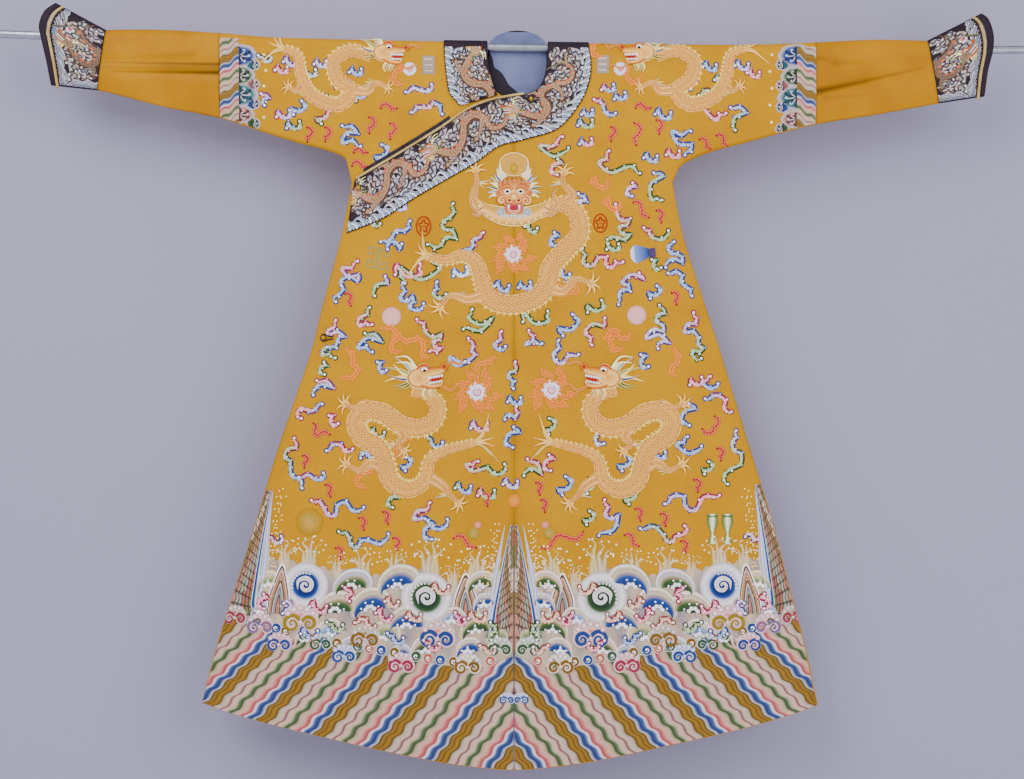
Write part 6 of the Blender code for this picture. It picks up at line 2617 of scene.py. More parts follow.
@dataclass(frozen=True)
class Dragon:
    """A five-clawed dragon: its winding body from neck to tail, legs and head."""

    body: tuple[Point, ...]
    widths: tuple[float, ...]
    legs: tuple[Leg, ...]
    head: Head
    head_at: Point
    head_turn: float = 0.0
    head_scale: float = 1.0
    back_side: int = 1
    scale_pitch: float = 3.3
    ground: Silk | Colour = Silk.PEACH
    light: Silk | Colour = Silk.PEACH_LIGHT
    line: Colour = silk(192, 116, 54)
    trim: Colour = silk(228, 194, 124)
    leg_width: float = 1.0
    tail_length: float = 20.0

    def draw(self, pen: Pen) -> None:
        """Sews the dragon.

        Args:
            pen: the pen that sews it.
        """
        for leg in self.legs:
            self._leg(pen, leg)
        self._tail(pen)
        self._body(pen)
        here = pen.moved(self.head_at, self.head_turn, self.head_scale, lift=0.001)
        if self.head is Head.FRONTAL:
            self._frontal(here)
        else:
            self._profile(here)

    def _width_at(self, share: Array) -> Array:
        """Width of the body at shares of its length."""
        return np.interp(share, np.linspace(0.0, 1.0, len(self.widths)), self.widths)

    def _body(self, pen: Pen) -> None:
        """Sews the body: outline, skin, scales, spines on its back and plates on its belly.

        Args:
            pen: the pen that sews it.
        """
        widths = tuple(width * 1.1 + 0.6 for width in self.widths)
        pen.ribbon(self.body, widths, plain(self.trim, 0.0003), spacing=3.0, lift=0.0001)
        pen.ribbon(self.body, self.widths,
                   rows_of((-1.0, self.line), (-0.84, self.ground), (-0.4, self.light),
                           (0.0, self.ground), (0.4, self.light), (0.84, self.ground),
                           (1.0, self.line), rise=0.0010), spacing=3.0, lift=0.0002)
        line = smooth_line(np.array(self.body, float), self.scale_pitch * 0.8)
        run = headings(line)
        side = joined(-run[:, 1], run[:, 0])
        half = self._width_at(np.linspace(0.0, 1.0, len(line))) / 2.0
        for i in range(1, len(line) - 1):
            count = max(int(2.0 * half[i] / self.scale_pitch), 1)
            offset = 0.5 * (i % 2)
            turn = bearing(run[i])
            for j in range(count + (1 if offset == 0.0 else 0)):
                across = (j + offset) / count * 2.0 - 1.0
                if abs(across) > 0.86:
                    continue
                spot = line[i] + side[i] * across * half[i]
                arch = 0.001 * math.sqrt(1.0 - across * across)
                pen.disc((spot[0], spot[1]), (self.scale_pitch * 0.46, self.scale_pitch * 0.58),
                         ((1.0, self.line), (0.72, self.ground), (0.0, self.light)), turn,
                         sides=6, rise=0.0004, lift=0.0003 + arch)
            if i % 2 == 0:
                self._edge(pen, line[i], run[i], side[i] * self.back_side, half[i], i)

    def _edge(self, pen: Pen, spot: Array, run: Array, out: Array, half: float,
              number: int) -> None:
        """Sews a spine on the back and a plate on the belly at one station.

        Args:
            pen: the pen that sews it.
            spot: the station, on the body's middle line.
            run: the way that the body runs there.
            out: the way to its back.
            half: half its width there.
            number: the station's number.
        """
        foot = spot + out * (half * 0.95)
        tip = spot + out * (half * 1.25 + 1.4) + run * 2.2
        pen.ribbon(((foot[0], foot[1]), (tip[0], tip[1])), (3.2, 0.4), plain(self.trim),
                   soft=False, spacing=9.0, lift=0.0004)
        if number % 4 == 0:
            low = spot - out * (half * 0.98)
            pen.disc((low[0], low[1]), (2.3, 1.4), ((1.0, self.trim), (0.6, Silk.SALMON),
                                                    (0.0, Silk.ORANGE)),
                     bearing(run), sides=7, lift=0.0009)

    def _tail(self, pen: Pen) -> None:
        """Sews the tufts that end the tail.

        Args:
            pen: the pen that sews it.
        """
        end, before = np.array(self.body[-1]), np.array(self.body[-2])
        angle = bearing(end - before)
        here = pen.moved((float(end[0]), float(end[1])), angle)
        reach = self.tail_length
        sage = shade(self.trim, 0.4, Silk.SAGE)
        silks = (self.trim, self.light, sage, self.trim, self.light, self.trim, sage)
        for i, dye in enumerate(silks):
            lean = (i - 3) * 11.0
            sway = reach * (0.8 + 0.2 * math.cos(1.9 * i))
            path = ((-3, 0), (sway * 0.45, lean * 0.22), (sway, lean * 0.75))
            width = min(self.widths[0] * 0.36, 4.0)
            here.ribbon(path, (width, width * 0.85, 0.6), bordered(dye, self.line, 0.72),
                        spacing=3.6, lift=0.0001 + 0.00005 * i)

    def _leg(self, pen: Pen, leg: Leg) -> None:
        """Sews a leg, the tuft at its elbow and five claws.

        Args:
            pen: the pen that sews it.
            leg: the leg.
        """
        rows = rows_of((-1.0, self.trim), (-0.84, self.line), (-0.60, self.light),
                       (0.0, self.ground), (0.60, self.light), (0.84, self.line),
                       (1.0, self.trim), rise=0.0009)
        widths = tuple(width * self.leg_width for width in (12.0, 10.0, 6.5, 5.0))
        pen.ribbon(leg.points, widths, rows, spacing=2.8, lift=0.0001)
        line = smooth_line(np.array(leg.points, float), 3.0)
        for spot in line[1:-1]:
            for across in (-1.4, 1.4):
                pen.disc((spot[0] + across * self.leg_width, spot[1]), 1.5 * self.leg_width,
                         ((1.0, self.line), (0.0, self.light)), sides=6, rise=0.0003,
                         lift=0.0010)
        end, before = np.array(leg.points[-1]), np.array(leg.points[-2])
        angle = bearing(end - before)
        here = pen.moved((float(end[0]), float(end[1])), angle, leg.spread, lift=0.0004)
        here.disc((1.0, 0.0), (4.6, 5.0), ((1.0, self.line), (0.7, self.light),
                                           (0.0, self.ground)), sides=12, rise=0.0006)
        for lean in (-78, -38, 0, 38, 78):
            claw = here.moved((0.0, 0.0), lean)
            hook = -1.0 if lean < 0 else 1.0
            claw.ribbon(((2.5, 0), (7.0, 0.6 * hook), (10.5, 3.2 * hook)), (3.2, 2.8, 0.6),
                        bordered(self.trim, self.line, 0.6), spacing=2.6, lift=0.0002)
        bend = np.array(leg.points[len(leg.points) // 2])
        for i, dye in enumerate((Silk.SAGE, Silk.CREAM, Silk.BLUE_LIGHT)):
            away = -self.leg_width if end[0] > bend[0] else self.leg_width
            tip = bend + np.array([8.0 + 3.0 * i, 5.0 - 4.0 * i]) * away
            pen.ribbon(((bend[0], bend[1]), (tip[0], tip[1])), (2.6 * self.leg_width, 0.5),
                       bordered(dye, self.trim, 0.5), spacing=4.0, lift=0.00005)

    def _hair(self, here: Pen, root: Point, spread: Sequence[tuple[float, float]]) -> None:
        """Sews locks of hair that leave a root; each has an angle and a length.

        Args:
            here: the pen, on a chart of the motif's own.
            root: where the locks start.
            spread: pairs of an angle in degrees and a length.
        """
        spread = spread[::2] if self.small else spread
        silks = (Silk.GREEN, Silk.CREAM, Silk.BLUE, Silk.SAGE, Silk.CREAM, Silk.BLUE_LIGHT)
        for i, (angle, length) in enumerate(spread):
            turn = math.radians(angle)
            out = np.array([math.cos(turn), math.sin(turn)])
            bow = np.array([-out[1], out[0]]) * (2.4 if i % 2 else -2.4)
            path = [np.array(root), np.array(root) + out * length * 0.5 + bow,
                    np.array(root) + out * length]
            dye = silks[i % len(silks)]
            here.ribbon([(p[0], p[1]) for p in path], (3.0, 3.0, 0.6),
                        bordered(dye, self.trim, 0.60), spacing=3.2,
                        lift=0.00004 * i)

    @property
    def small(self) -> bool:
        """Whether this is one of the little dragons of the dark silk."""
        return self.head_scale < 0.6

    def _eye(self, here: Pen, x: float, y: float, size: float) -> None:
        """Sews an eye with its lid.

        Args:
            here: the pen, on a chart of the motif's own.
            x: its x, in squares.
            y: its y, in squares.
            size: its radius, in squares.
        """
        here.disc((x, y), size, ((1.0, Silk.RED), (0.8, Silk.FOAM), (0.5, Silk.FOAM),
                                 (0.42, Silk.INK), (0.0, Silk.BLACK)), sides=12, rise=0.0008,
                  lift=0.0008)

    def _frontal(self, here: Pen) -> None:
        """Sews a head that looks straight out of the robe.

        Args:
            here: the pen, on a chart of the motif's own.
        """
        warm, deep, rim = silk(224, 146, 98), silk(184, 88, 60), silk(234, 202, 146)
        tan, rose = silk(214, 166, 96), silk(224, 124, 122)
        for way in (-1, 1):
            for i, dye in enumerate((Silk.BLUE_LIGHT, Silk.GREEN, Silk.CREAM, Silk.BLUE, Silk.SAGE,
                                     Silk.CREAM, Silk.GREEN, Silk.BLUE_LIGHT, Silk.CREAM)):
                turn = math.radians(-96.0 + 14.0 * i)
                reach = (19, 17, 22, 18, 22, 19, 23, 19, 17)[i]
                foot = (way * (11 + 0.5 * i), -14 + 2.4 * i)
                tip = (foot[0] + way * reach * math.cos(turn) * 0.62,
                       foot[1] + reach * math.sin(turn) * 0.62)
                bend = ((foot[0] + tip[0]) / 2 + way * 1.2, (foot[1] + tip[1]) / 2 - 1.6)
                here.ribbon((foot, bend, tip), (3.0, 3.2, 0.5), rows_of(
                    (-1.0, rim), (-0.5, dye), (0.3, dye), (0.6, Silk.FOAM), (1.0, rim)),
                    spacing=2.8, lift=0.0002 + 0.00003 * i)
            here.ribbon(((way * 9, -12), (way * 13, -19), (way * 14, -27)), (5.5, 4.6, 1.6),
                        bordered(silk(206, 198, 200), rim, 0.6), lift=0.0006)
            here.ribbon(((way * 30, 17), (way * 38, 20), (way * 43, 13), (way * 39, 5),
                         (way * 44, -2)), (2.6, 3.0, 2.6, 2.2, 0.6),
                        rows_of((-1.0, rim), (-0.4, warm), (0.3, deep), (1.0, rim)),
                        spacing=3.0, lift=0.0009)
            here.ribbon(((way * 31, 22), (way * 37, 26), (way * 43, 22)), (2.4, 2.2, 0.6),
                        rows_of((-1.0, rim), (-0.2, rose), (0.4, deep), (1.0, rim)),
                        spacing=3.0, lift=0.0008)
        jaw = ((-35, 10), (-28, 19), (-14, 25), (0, 27), (14, 25), (28, 19), (35, 10))
        here.ribbon(jaw, (2.0, 13.0, 18.0, 18.5, 18.0, 13.0, 2.0),
                    rows_of((-1.0, rim), (-0.93, rim), (-0.86, self.line), (-0.78, tan),
                            (-0.3, self.light), (0.3, tan), (0.80, tan), (0.86, self.line),
                            (0.93, rim), (1.0, rim)), spacing=2.6, lift=0.0003)
        for i in range(13):
            turn = math.radians(20.0 + 140.0 * i / 12.0)
            spot = (-37.0 * math.cos(turn), 7.0 + 26.5 * math.sin(turn))
            here.disc(spot, 1.5, ((1.0, self.line), (0.7, rim), (0.0, Silk.CREAM)), sides=6,
                      lift=0.0010)
        here.disc((0, -25.5), (15.0, 12.0), ((1.0, rim), (0.94, rim), (0.89, self.line),
                                             (0.82, tan), (0.0, silk(214, 162, 98))), sides=26,
                  lobes=13, lobe=0.03, rise=0.0006, lift=0.0007)
        here.disc((0, -22), (4.5, 6.0), ((1.0, silk(206, 150, 60)), (0.6, Silk.OLIVE),
                                         (0.0, silk(222, 176, 80))), sides=10, lift=0.0011)
        here.disc((0, 3.5), (16.5, 13.5), ((1.0, rim), (0.90, deep), (0.78, warm),
                                           (0.5, silk(230, 164, 110)), (0.0, self.light)),
                  sides=26, lobes=9, lobe=0.03, rise=0.0012, lift=0.0009)
        for i in range(7):
            x = -13.2 + 4.4 * i
            here.ribbon(((x, -2.0), (x * 1.06, -8.0), (x * 1.0, -14.0 + 0.02 * x * x)),
                        (5.0, 4.4, 0.8), rows_of((-1.0, deep), (-0.5, warm), (0.2, warm),
                                                 (1.0, deep)), spacing=3.0,
                        lift=0.0014 + 0.00004 * (i % 2))
        for way in (-1, 1):
            here.ribbon(((way * 1.5, -0.5), (way * 7, -4.2), (way * 14.5, -1.0)),
                        (2.2, 4.2, 2.6), bordered(warm, deep, 0.62), lift=0.0020)
            here.disc((way * 6.6, 1.6), (3.8, 3.0), ((1.0, deep), (0.84, rim), (0.52, Silk.FOAM),
                                                     (0.44, Silk.INK), (0.0, Silk.BLACK)),
                      way * 14.0, sides=12, rise=0.0008, lift=0.0022)
            here.disc((way * 15.5, 3.5), (3.0, 4.4), ((1.0, rim), (0.8, deep), (0.5, warm),
                                                      (0.0, deep)), way * 20.0, sides=10,
                      rise=0.0007, lift=0.0016)
            here.disc((way * 4.6, 10.4), (4.2, 3.4), ((1.0, deep), (0.80, warm), (0.5, self.light),
                                                      (0.40, deep), (0.0, Silk.INK)),
                      way * -20.0, sides=12, rise=0.0010, lift=0.0019)
            here.curl((way * 12.0, 10.5), 4.6, 1.3, -90.0, (3.0, 2.6, 1.2),
                      rows_of((-1.0, deep), (-0.3, warm), (0.4, self.light), (1.0, rim)),
                      way=way, lift=0.0018)
            here.disc((way * 13.0, 22.0), (4.2, 4.6), ((1.0, rim), (0.8, silk(150, 158, 178)),
                                                       (0.0, silk(186, 190, 202))), sides=10,
                      lift=0.0011)
        here.disc((0, 7.0), (4.0, 4.6), ((1.0, deep), (0.8, warm), (0.45, self.light),
                                         (0.0, Silk.CREAM)), sides=12, rise=0.0012, lift=0.0020)
        here.disc((0, 18.0), (9.5, 6.4), ((1.0, deep), (0.86, rose), (0.62, silk(198, 84, 92)),
                                          (0.0, silk(168, 52, 60))), sides=18, rise=0.0002,
                  lift=0.0014)
        here.ribbon(((-6, 20), (0, 22.5), (6, 20)), (2.0, 3.4, 2.0), bordered(rose, rim, 0.6),
                    spacing=3.0, lift=0.0018)
        for i in range(-5, 6):
            here.ribbon(((i * 2.4, 24.6), (i * 2.5, 29.0 - 0.05 * i * i)), (2.0, 0.6),
                        rows_of((-1.0, Silk.GREEN), (-0.5, Silk.FOAM), (0.5, Silk.FOAM),
                                (1.0, Silk.GREEN)), soft=False, spacing=9.0, lift=0.0016)
        for way in (-1, 1):
            here.ribbon(((way * 5.0, 15.0), (way * 5.6, 20.5)), (2.2, 0.5), plain(Silk.FOAM),
                        soft=False, spacing=9.0, lift=0.0021)

    def _profile(self, here: Pen) -> None:
        """Sews a head that looks along +x of its own chart.

        Args:
            here: the pen, on a chart of the motif's own.
        """
        warm, deep = silk(226, 130, 74), silk(196, 72, 48)
        self._hair(here, (-4, 0), ((165, 22), (178, 27), (191, 24), (204, 28), (217, 23),
                                   (230, 25), (152, 19), (243, 18)))
        for rise in (0, 5):
            here.ribbon(((-1, -7), (-9, -14 - rise), (-20, -15 - rise)), (3.6, 3.0, 0.9),
                        bordered(silk(238, 214, 160), self.line, 0.66), lift=0.0005)
        here.disc((0, 0), (12, 9.5), ((1.0, silk(232, 206, 146)), (0.86, self.line),
                                      (0.7, self.light), (0.0, self.ground)), sides=20,
                  rise=0.0012, lift=0.0004)
        here.ribbon(((2, -2), (12, -4), (19, -5), (24, -9)), (12, 9, 7, 4),
                    rows_of((-1.0, silk(232, 206, 146)), (-0.8, self.line), (-0.4, self.light),
                            (0.4, self.ground), (0.8, warm), (1.0, deep), rise=0.0010),
                    lift=0.0007)
        here.disc((22.5, -8.5), 3.6, ((1.0, self.line), (0.6, warm), (0.3, deep),
                                      (0.0, Silk.INK)), sides=10, rise=0.0009, lift=0.0013)
        here.ribbon(((1, 5), (9, 8), (17, 8), (21, 5)), (7, 5.5, 4, 1.5),
                    rows_of((-1.0, deep), (-0.5, warm), (0.2, self.light), (0.8, self.line),
                            (1.0, silk(232, 206, 146)), rise=0.0009), lift=0.0006)
        here.ribbon(((6, 2.5), (14, 2.0), (21, -0.5)), (3.0, 4.6, 2.0),
                    bordered(silk(182, 46, 42), Silk.RED, 0.7), lift=0.0005)
        for i in range(6):
            here.disc((8.0 + 2.4 * i, 0.6 - 0.25 * i), 1.2, ((1.0, Silk.FOAM),),
                      sides=6, lift=0.0017)
            here.disc((8.5 + 2.1 * i, 5.2 - 0.2 * i), 1.0, ((1.0, Silk.FOAM),),
                      sides=6, lift=0.0015)
        self._eye(here, 5.0, -5.5, 4.0)
        here.ribbon(((-2, -8), (4, -11), (11, -9)), (2.0, 3.4, 1.0),
                    bordered(deep, silk(240, 170, 110), 0.6), lift=0.0016)
        for low in (0, 1, 2, 3):
            here.ribbon(((4 + 3 * low, 9), (2 + 3 * low, 15), (5 + 3 * low, 20 - low)),
                        (2.4, 2.0, 0.5), bordered(Silk.SAGE if low % 2 else Silk.CREAM,
                                                  Silk.CREAM), lift=0.0003)
        if self.small:
            return
        here.ribbon(((20, -4), (28, -12), (37, -10), (40, -18)), (2.0, 2.2, 1.8, 0.7),
                    bordered(deep, silk(240, 176, 112), 0.5), lift=0.0009)
        here.ribbon(((18, 8), (27, 13), (35, 8), (42, 12)), (2.0, 2.2, 1.8, 0.7),
                    bordered(deep, silk(240, 176, 112), 0.5), lift=0.0009)


MAIN_DRAGON = Dragon(
    body=((538, 214), (560, 205), (576, 214), (579, 235), (565, 251), (551, 268), (546, 288),
          (531, 301), (509, 305), (490, 299), (482, 281), (476, 263), (463, 256), (445, 261),
          (427, 256)),
    widths=(11, 15, 17, 18, 18, 17, 17, 14, 10, 6),
    legs=(Leg(((484, 214), (474, 200), (477, 184), (476, 172))),
          Leg(((560, 206), (572, 196), (563, 184), (564, 174))),
          Leg(((484, 296), (468, 300), (452, 296), (441, 307)), 1.1),
          Leg(((546, 286), (562, 292), (576, 280), (590, 284)), 1.1)),
    head=Head.FRONTAL, head_at=(514, 191), back_side=-1, tail_length=13.0)

SIDE_DRAGON = Dragon(
    body=((412, 390), (428, 394), (438, 406), (434, 421), (419, 428), (400, 424), (384, 413),
          (367, 411), (357, 422), (363, 437), (379, 447), (386, 463), (392, 481), (409, 489),
          (425, 480), (430, 460), (443, 451), (460, 446), (476, 442)),
    widths=(10, 14, 16, 17, 17, 17, 17, 16, 12, 8, 6),
    legs=(Leg(((376, 412), (366, 404), (356, 408), (347, 404))),
          Leg(((386, 470), (372, 462), (360, 470), (348, 464))),
          Leg(((432, 478), (444, 486), (450, 494), (458, 502)), 1.0),
          Leg(((398, 428), (404, 436), (398, 444), (404, 450)), 0.9)),
    head=Head.PROFILE, head_at=(420, 378), head_turn=-4.0, head_scale=1.12, back_side=-1)

SHOULDER_DRAGON = Dragon(
    body=((372, 58), (352, 52), (335, 62), (338, 80), (352, 92), (338, 106), (312, 96),
          (302, 76), (298, 56), (284, 50)),
    widths=(9, 12, 13, 13, 12, 10, 6), scale_pitch=2.8,
    legs=(Leg(((352, 90), (368, 92), (376, 84), (387, 88)), 0.8),
          Leg(((312, 96), (304, 86), (296, 92), (290, 88)), 0.8)),
    head=Head.PROFILE, head_at=(384, 54), head_turn=8.0, head_scale=0.95, back_side=1,
    tail_length=17.0)


# ------------------------------------------------------------------------------ the ground

CLOUDS_LEFT = scrolls(
    ("b", 409, 222, 405, 232, 393, 239, 382, 241), ("b", 398, 249, 390, 245),
    ("g", 452, 205, 450, 219, 444, 229, 456, 239, 442, 246, 429, 244),
    ("pb", 482, 233, 476, 240, 474, 246, 464, 250),
    ("pb", 357, 261, 343, 269, 359, 275, 358, 282, 342, 282, 339, 296, 335, 302),
    ("p", 402, 267, 417, 273), ("g", 409, 269, 434, 269), ("w", 457, 271, 466, 273),
    ("lg", 385, 278, 388, 284, 374, 296), ("b", 402, 284, 401, 299, 413, 296, 410, 307, 425, 305),
    ("bg", 436, 283, 434, 294, 447, 296), ("b", 500, 284, 506, 290),
    ("gp", 369, 308, 362, 318, 361, 326, 372, 326),
    ("plbg", 335, 321, 334, 329, 329, 335, 346, 337, 339, 342, 331, 348, 323, 355, 335, 359),
    ("gb", 366, 335, 382, 342, 359, 348, 372, 353),
    ("pgp", 417, 321, 426, 331, 442, 334, 434, 342, 442, 348, 431, 350),
    ("g", 471, 310, 469, 318, 493, 318, 464, 328),
    ("pb", 468, 340, 474, 347, 476, 355, 450, 358, 466, 363), ("pb", 500, 332, 495, 345, 506, 348),
    ("b", 383, 364, 383, 371), ("pb", 318, 382, 334, 388, 313, 394), ("g", 327, 367, 322, 372),
    ("bp", 322, 403, 302, 409, 301, 419), ("p", 335, 417, 335, 424),
    ("pgb", 294, 439, 297, 448, 286, 457, 292, 467, 301, 478, 302, 487),
    ("pb", 301, 478, 317, 478, 326, 473), ("bp", 329, 451, 342, 444, 354, 450),
    ("b", 369, 459, 364, 454), ("g", 376, 430, 382, 436), ("b", 404, 465, 410, 460),
    ("gb", 427, 437, 433, 444, 444, 443), ("lp", 476, 423, 485, 428),
    ("pg", 477, 460, 467, 464, 479, 469, 494, 473, 506, 464), ("gb", 461, 484, 468, 490),
    ("g", 397, 498, 390, 503), ("pb", 313, 501, 326, 507, 336, 514, 347, 501, 365, 508),
    ("pb", 429, 502, 426, 510, 415, 518, 433, 526, 449, 519), ("b", 433, 526, 427, 535),
    ("gb", 340, 532, 351, 537, 358, 546, 369, 539, 390, 534), ("pl", 268, 536, 276, 541, 284, 536),
    ("pg", 483, 490, 492, 495), ("s", 259, 58, 266, 62, 272, 57), ("p", 280, 68, 286, 72),
    ("l", 289, 60, 295, 65), ("s", 308, 72, 315, 75), ("l", 319, 62, 325, 66), ("b", 354, 70, 360, 74),
    ("pb", 341, 84, 349, 88), ("g", 319, 98, 326, 101), ("gb", 357, 96, 365, 94),
    ("b", 295, 109, 304, 107), ("pl", 281, 113, 289, 116), ("gp", 319, 118, 327, 111),
    ("bg", 291, 124, 299, 127), ("l", 407, 94, 422, 91, 433, 86),
    ("lpb", 413, 114, 424, 108, 433, 103, 441, 115), ("b", 343, 128, 358, 134, 343, 143, 360, 148),
    ("b", 378, 156, 386, 150), ("pb", 262, 96, 270, 99, 264, 106), ("gp", 405, 150, 412, 157, 402, 163),
    ("bl", 428, 138, 438, 142), ("pb", 376, 174, 386, 178, 379, 187, 390, 192),
    ("gl", 420, 172, 430, 177, 421, 185), ("b", 360, 190, 366, 198),
    ("pg", 380, 213, 371, 220, 381, 226), ("l", 396, 205, 404, 208))
CLOUDS_RIGHT = scrolls(
    ("pg", 614, 206, 617, 215, 629, 220, 619, 228, 630, 235, 617, 239, 606, 244),
    ("g", 610, 246, 617, 249), ("pg", 643, 230, 651, 237, 669, 232),
    ("b", 672, 242, 668, 247, 677, 254, 682, 263, 664, 267), ("g", 656, 262, 656, 269),
    ("b", 668, 275, 682, 276, 685, 286, 690, 296),
    ("gp", 581, 250, 583, 262, 593, 265, 606, 258, 611, 268, 622, 264), ("b", 557, 238, 552, 244),
    ("g", 530, 226, 534, 232), ("b", 559, 268, 562, 275, 570, 276), ("b", 522, 284, 529, 287),
    ("pb", 638, 275, 643, 280, 622, 283, 629, 291, 619, 296, 617, 304), ("b", 650, 293, 658, 291),
    ("gl", 658, 307, 664, 314, 656, 322, 663, 332, 646, 338, 668, 343, 656, 348),
    ("pbg", 692, 314, 695, 324, 684, 332, 698, 338, 703, 348, 692, 351, 700, 360),
    ("g", 529, 314, 544, 320), ("g", 590, 306, 601, 307),
    ("pgp", 603, 319, 603, 327, 585, 333, 590, 345), ("b", 562, 327, 575, 322),
    ("pb", 528, 332, 533, 343, 526, 345, 541, 345), ("bl", 557, 341, 554, 354, 562, 363, 578, 356),
    ("b", 645, 358, 643, 366), ("pb", 708, 376, 702, 382, 718, 385), ("p", 692, 380, 700, 382),
    ("bp", 705, 400, 725, 400, 730, 413), ("b", 692, 411, 683, 420),
    ("b", 685, 436, 676, 444, 701, 447), ("lg", 734, 431, 732, 442, 741, 453, 730, 469, 725, 484),
    ("g", 703, 468, 710, 465), ("b", 655, 451, 662, 456), ("b", 620, 464, 628, 459),
    ("gl", 601, 433, 598, 442), ("g", 546, 428, 553, 422), ("pg", 527, 460, 541, 473, 523, 474),
    ("p", 552, 460, 546, 467), ("b", 560, 487, 569, 481), ("g", 585, 487, 592, 482),
    ("g", 626, 497, 634, 491), ("lbp", 665, 504, 683, 496, 694, 509, 718, 496),
    ("pb", 603, 500, 605, 514, 618, 514, 598, 533), ("g", 585, 518, 592, 514),
    ("bgp", 640, 529, 663, 534, 672, 540, 678, 534, 685, 525), ("pl", 760, 534, 752, 539, 744, 534),
    ("pb", 605, 87, 612, 90), ("b", 617, 96, 624, 98), ("pb", 594, 102, 603, 106, 615, 116),
    ("b", 585, 112, 591, 115), ("bg", 582, 122, 590, 126), ("b", 688, 85, 694, 80),
    ("gp", 710, 97, 714, 116), ("lbg", 730, 110, 745, 114, 733, 131),
    ("b", 689, 131, 672, 133, 691, 145, 684, 154), ("p", 670, 152, 677, 156),
    ("pg", 561, 137, 540, 147, 569, 150), ("bp", 583, 141, 590, 144),
    ("pg", 607, 152, 599, 164, 624, 168, 638, 175), ("b", 648, 156, 654, 161),
    ("bg", 661, 181, 653, 196), ("pl", 634, 189, 628, 194), ("b", 707, 65, 713, 70),
    ("gb", 718, 78, 724, 82), ("bl", 739, 64, 745, 69), ("p", 751, 72, 756, 77),
    ("bl", 578, 196, 586, 202, 577, 208), ("gp", 560, 166, 553, 172), ("b", 660, 112, 667, 118))
CLOUDS_MIDDLE = scrolls(
    ("pgb", 514, 363, 515, 372, 509, 377, 512, 388), ("pb", 515, 407, 515, 418, 504, 418),
    ("b", 517, 434, 508, 442), ("l", 508, 480, 515, 485), ("b", 512, 398, 519, 402))
BATS_LEFT = scrolls(
    ("r", 381, 109, 389, 106, 397, 109), ("r", 370, 118, 374, 126, 370, 134),
    ("r", 391, 124, 395, 132, 391, 140), ("r", 308, 128, 312, 135, 308, 142),
    ("r", 326, 128, 330, 135, 326, 142), ("r", 354, 153, 361, 150, 368, 153),
    ("r", 346, 294, 352, 298, 352, 306), ("r", 315, 423, 316, 430, 319, 435, 331, 434),
    ("r", 304, 455, 309, 460, 306, 467), ("r", 327, 484, 332, 489, 332, 496),
    ("r", 360, 517, 366, 522, 365, 529), ("r", 384, 511, 389, 516, 389, 523),
    ("r", 394, 537, 400, 542, 398, 549), ("r", 454, 537, 466, 539, 476, 546),
    ("r", 337, 547, 343, 551, 342, 558), ("r", 483, 493, 489, 498, 488, 505),
    ("r", 352, 166, 360, 163, 368, 167))
BATS_RIGHT = scrolls(
    ("r", 635, 109, 642, 106, 650, 109), ("r", 611, 128, 614, 135, 611, 142),
    ("r", 634, 124, 639, 134, 636, 146), ("r", 656, 121, 661, 128, 659, 135),
    ("r", 699, 140, 706, 143, 710, 149), ("r", 716, 136, 723, 139, 727, 146),
    ("r", 633, 203, 641, 208, 648, 218), ("r", 656, 211, 662, 216, 661, 223),
    ("r", 671, 293, 677, 298, 676, 305), ("r", 714, 416, 715, 426, 712, 431, 701, 429),
    ("r", 716, 448, 722, 453, 720, 460), ("r", 693, 479, 699, 484, 697, 491),
    ("r", 635, 508, 641, 513, 640, 520), ("r", 660, 513, 666, 518, 665, 525),
    ("r", 624, 534, 632, 537, 638, 545), ("r", 680, 540, 686, 545, 685, 552),
    ("r", 536, 482, 541, 487, 540, 494), ("r", 583, 531, 566, 536, 552, 541, 541, 547),
    ("r", 541, 499, 546, 504, 545, 511))
FLAMES_LEFT = scrolls(
    ("o", 382, 330, 398, 334, 417, 339, 424, 349, 426, 359), ("o", 398, 341, 394, 350),
    ("o", 347, 351, 354, 359, 359, 369, 343, 377), ("o", 493, 356, 484, 363, 476, 372),
    ("o", 406, 441, 398, 452), ("o", 369, 473, 360, 482), ("o", 402, 72, 396, 82))
FLAMES_RIGHT = scrolls(
    ("o", 604, 340, 616, 335, 630, 336), ("o", 616, 335, 614, 348), ("o", 672, 350, 676, 363, 672, 376),
    ("o", 596, 181, 604, 187), ("o", 609, 202, 616, 209), ("o", 561, 286, 574, 290),
    ("o", 628, 72, 634, 82), ("o", 600, 44, 594, 54))


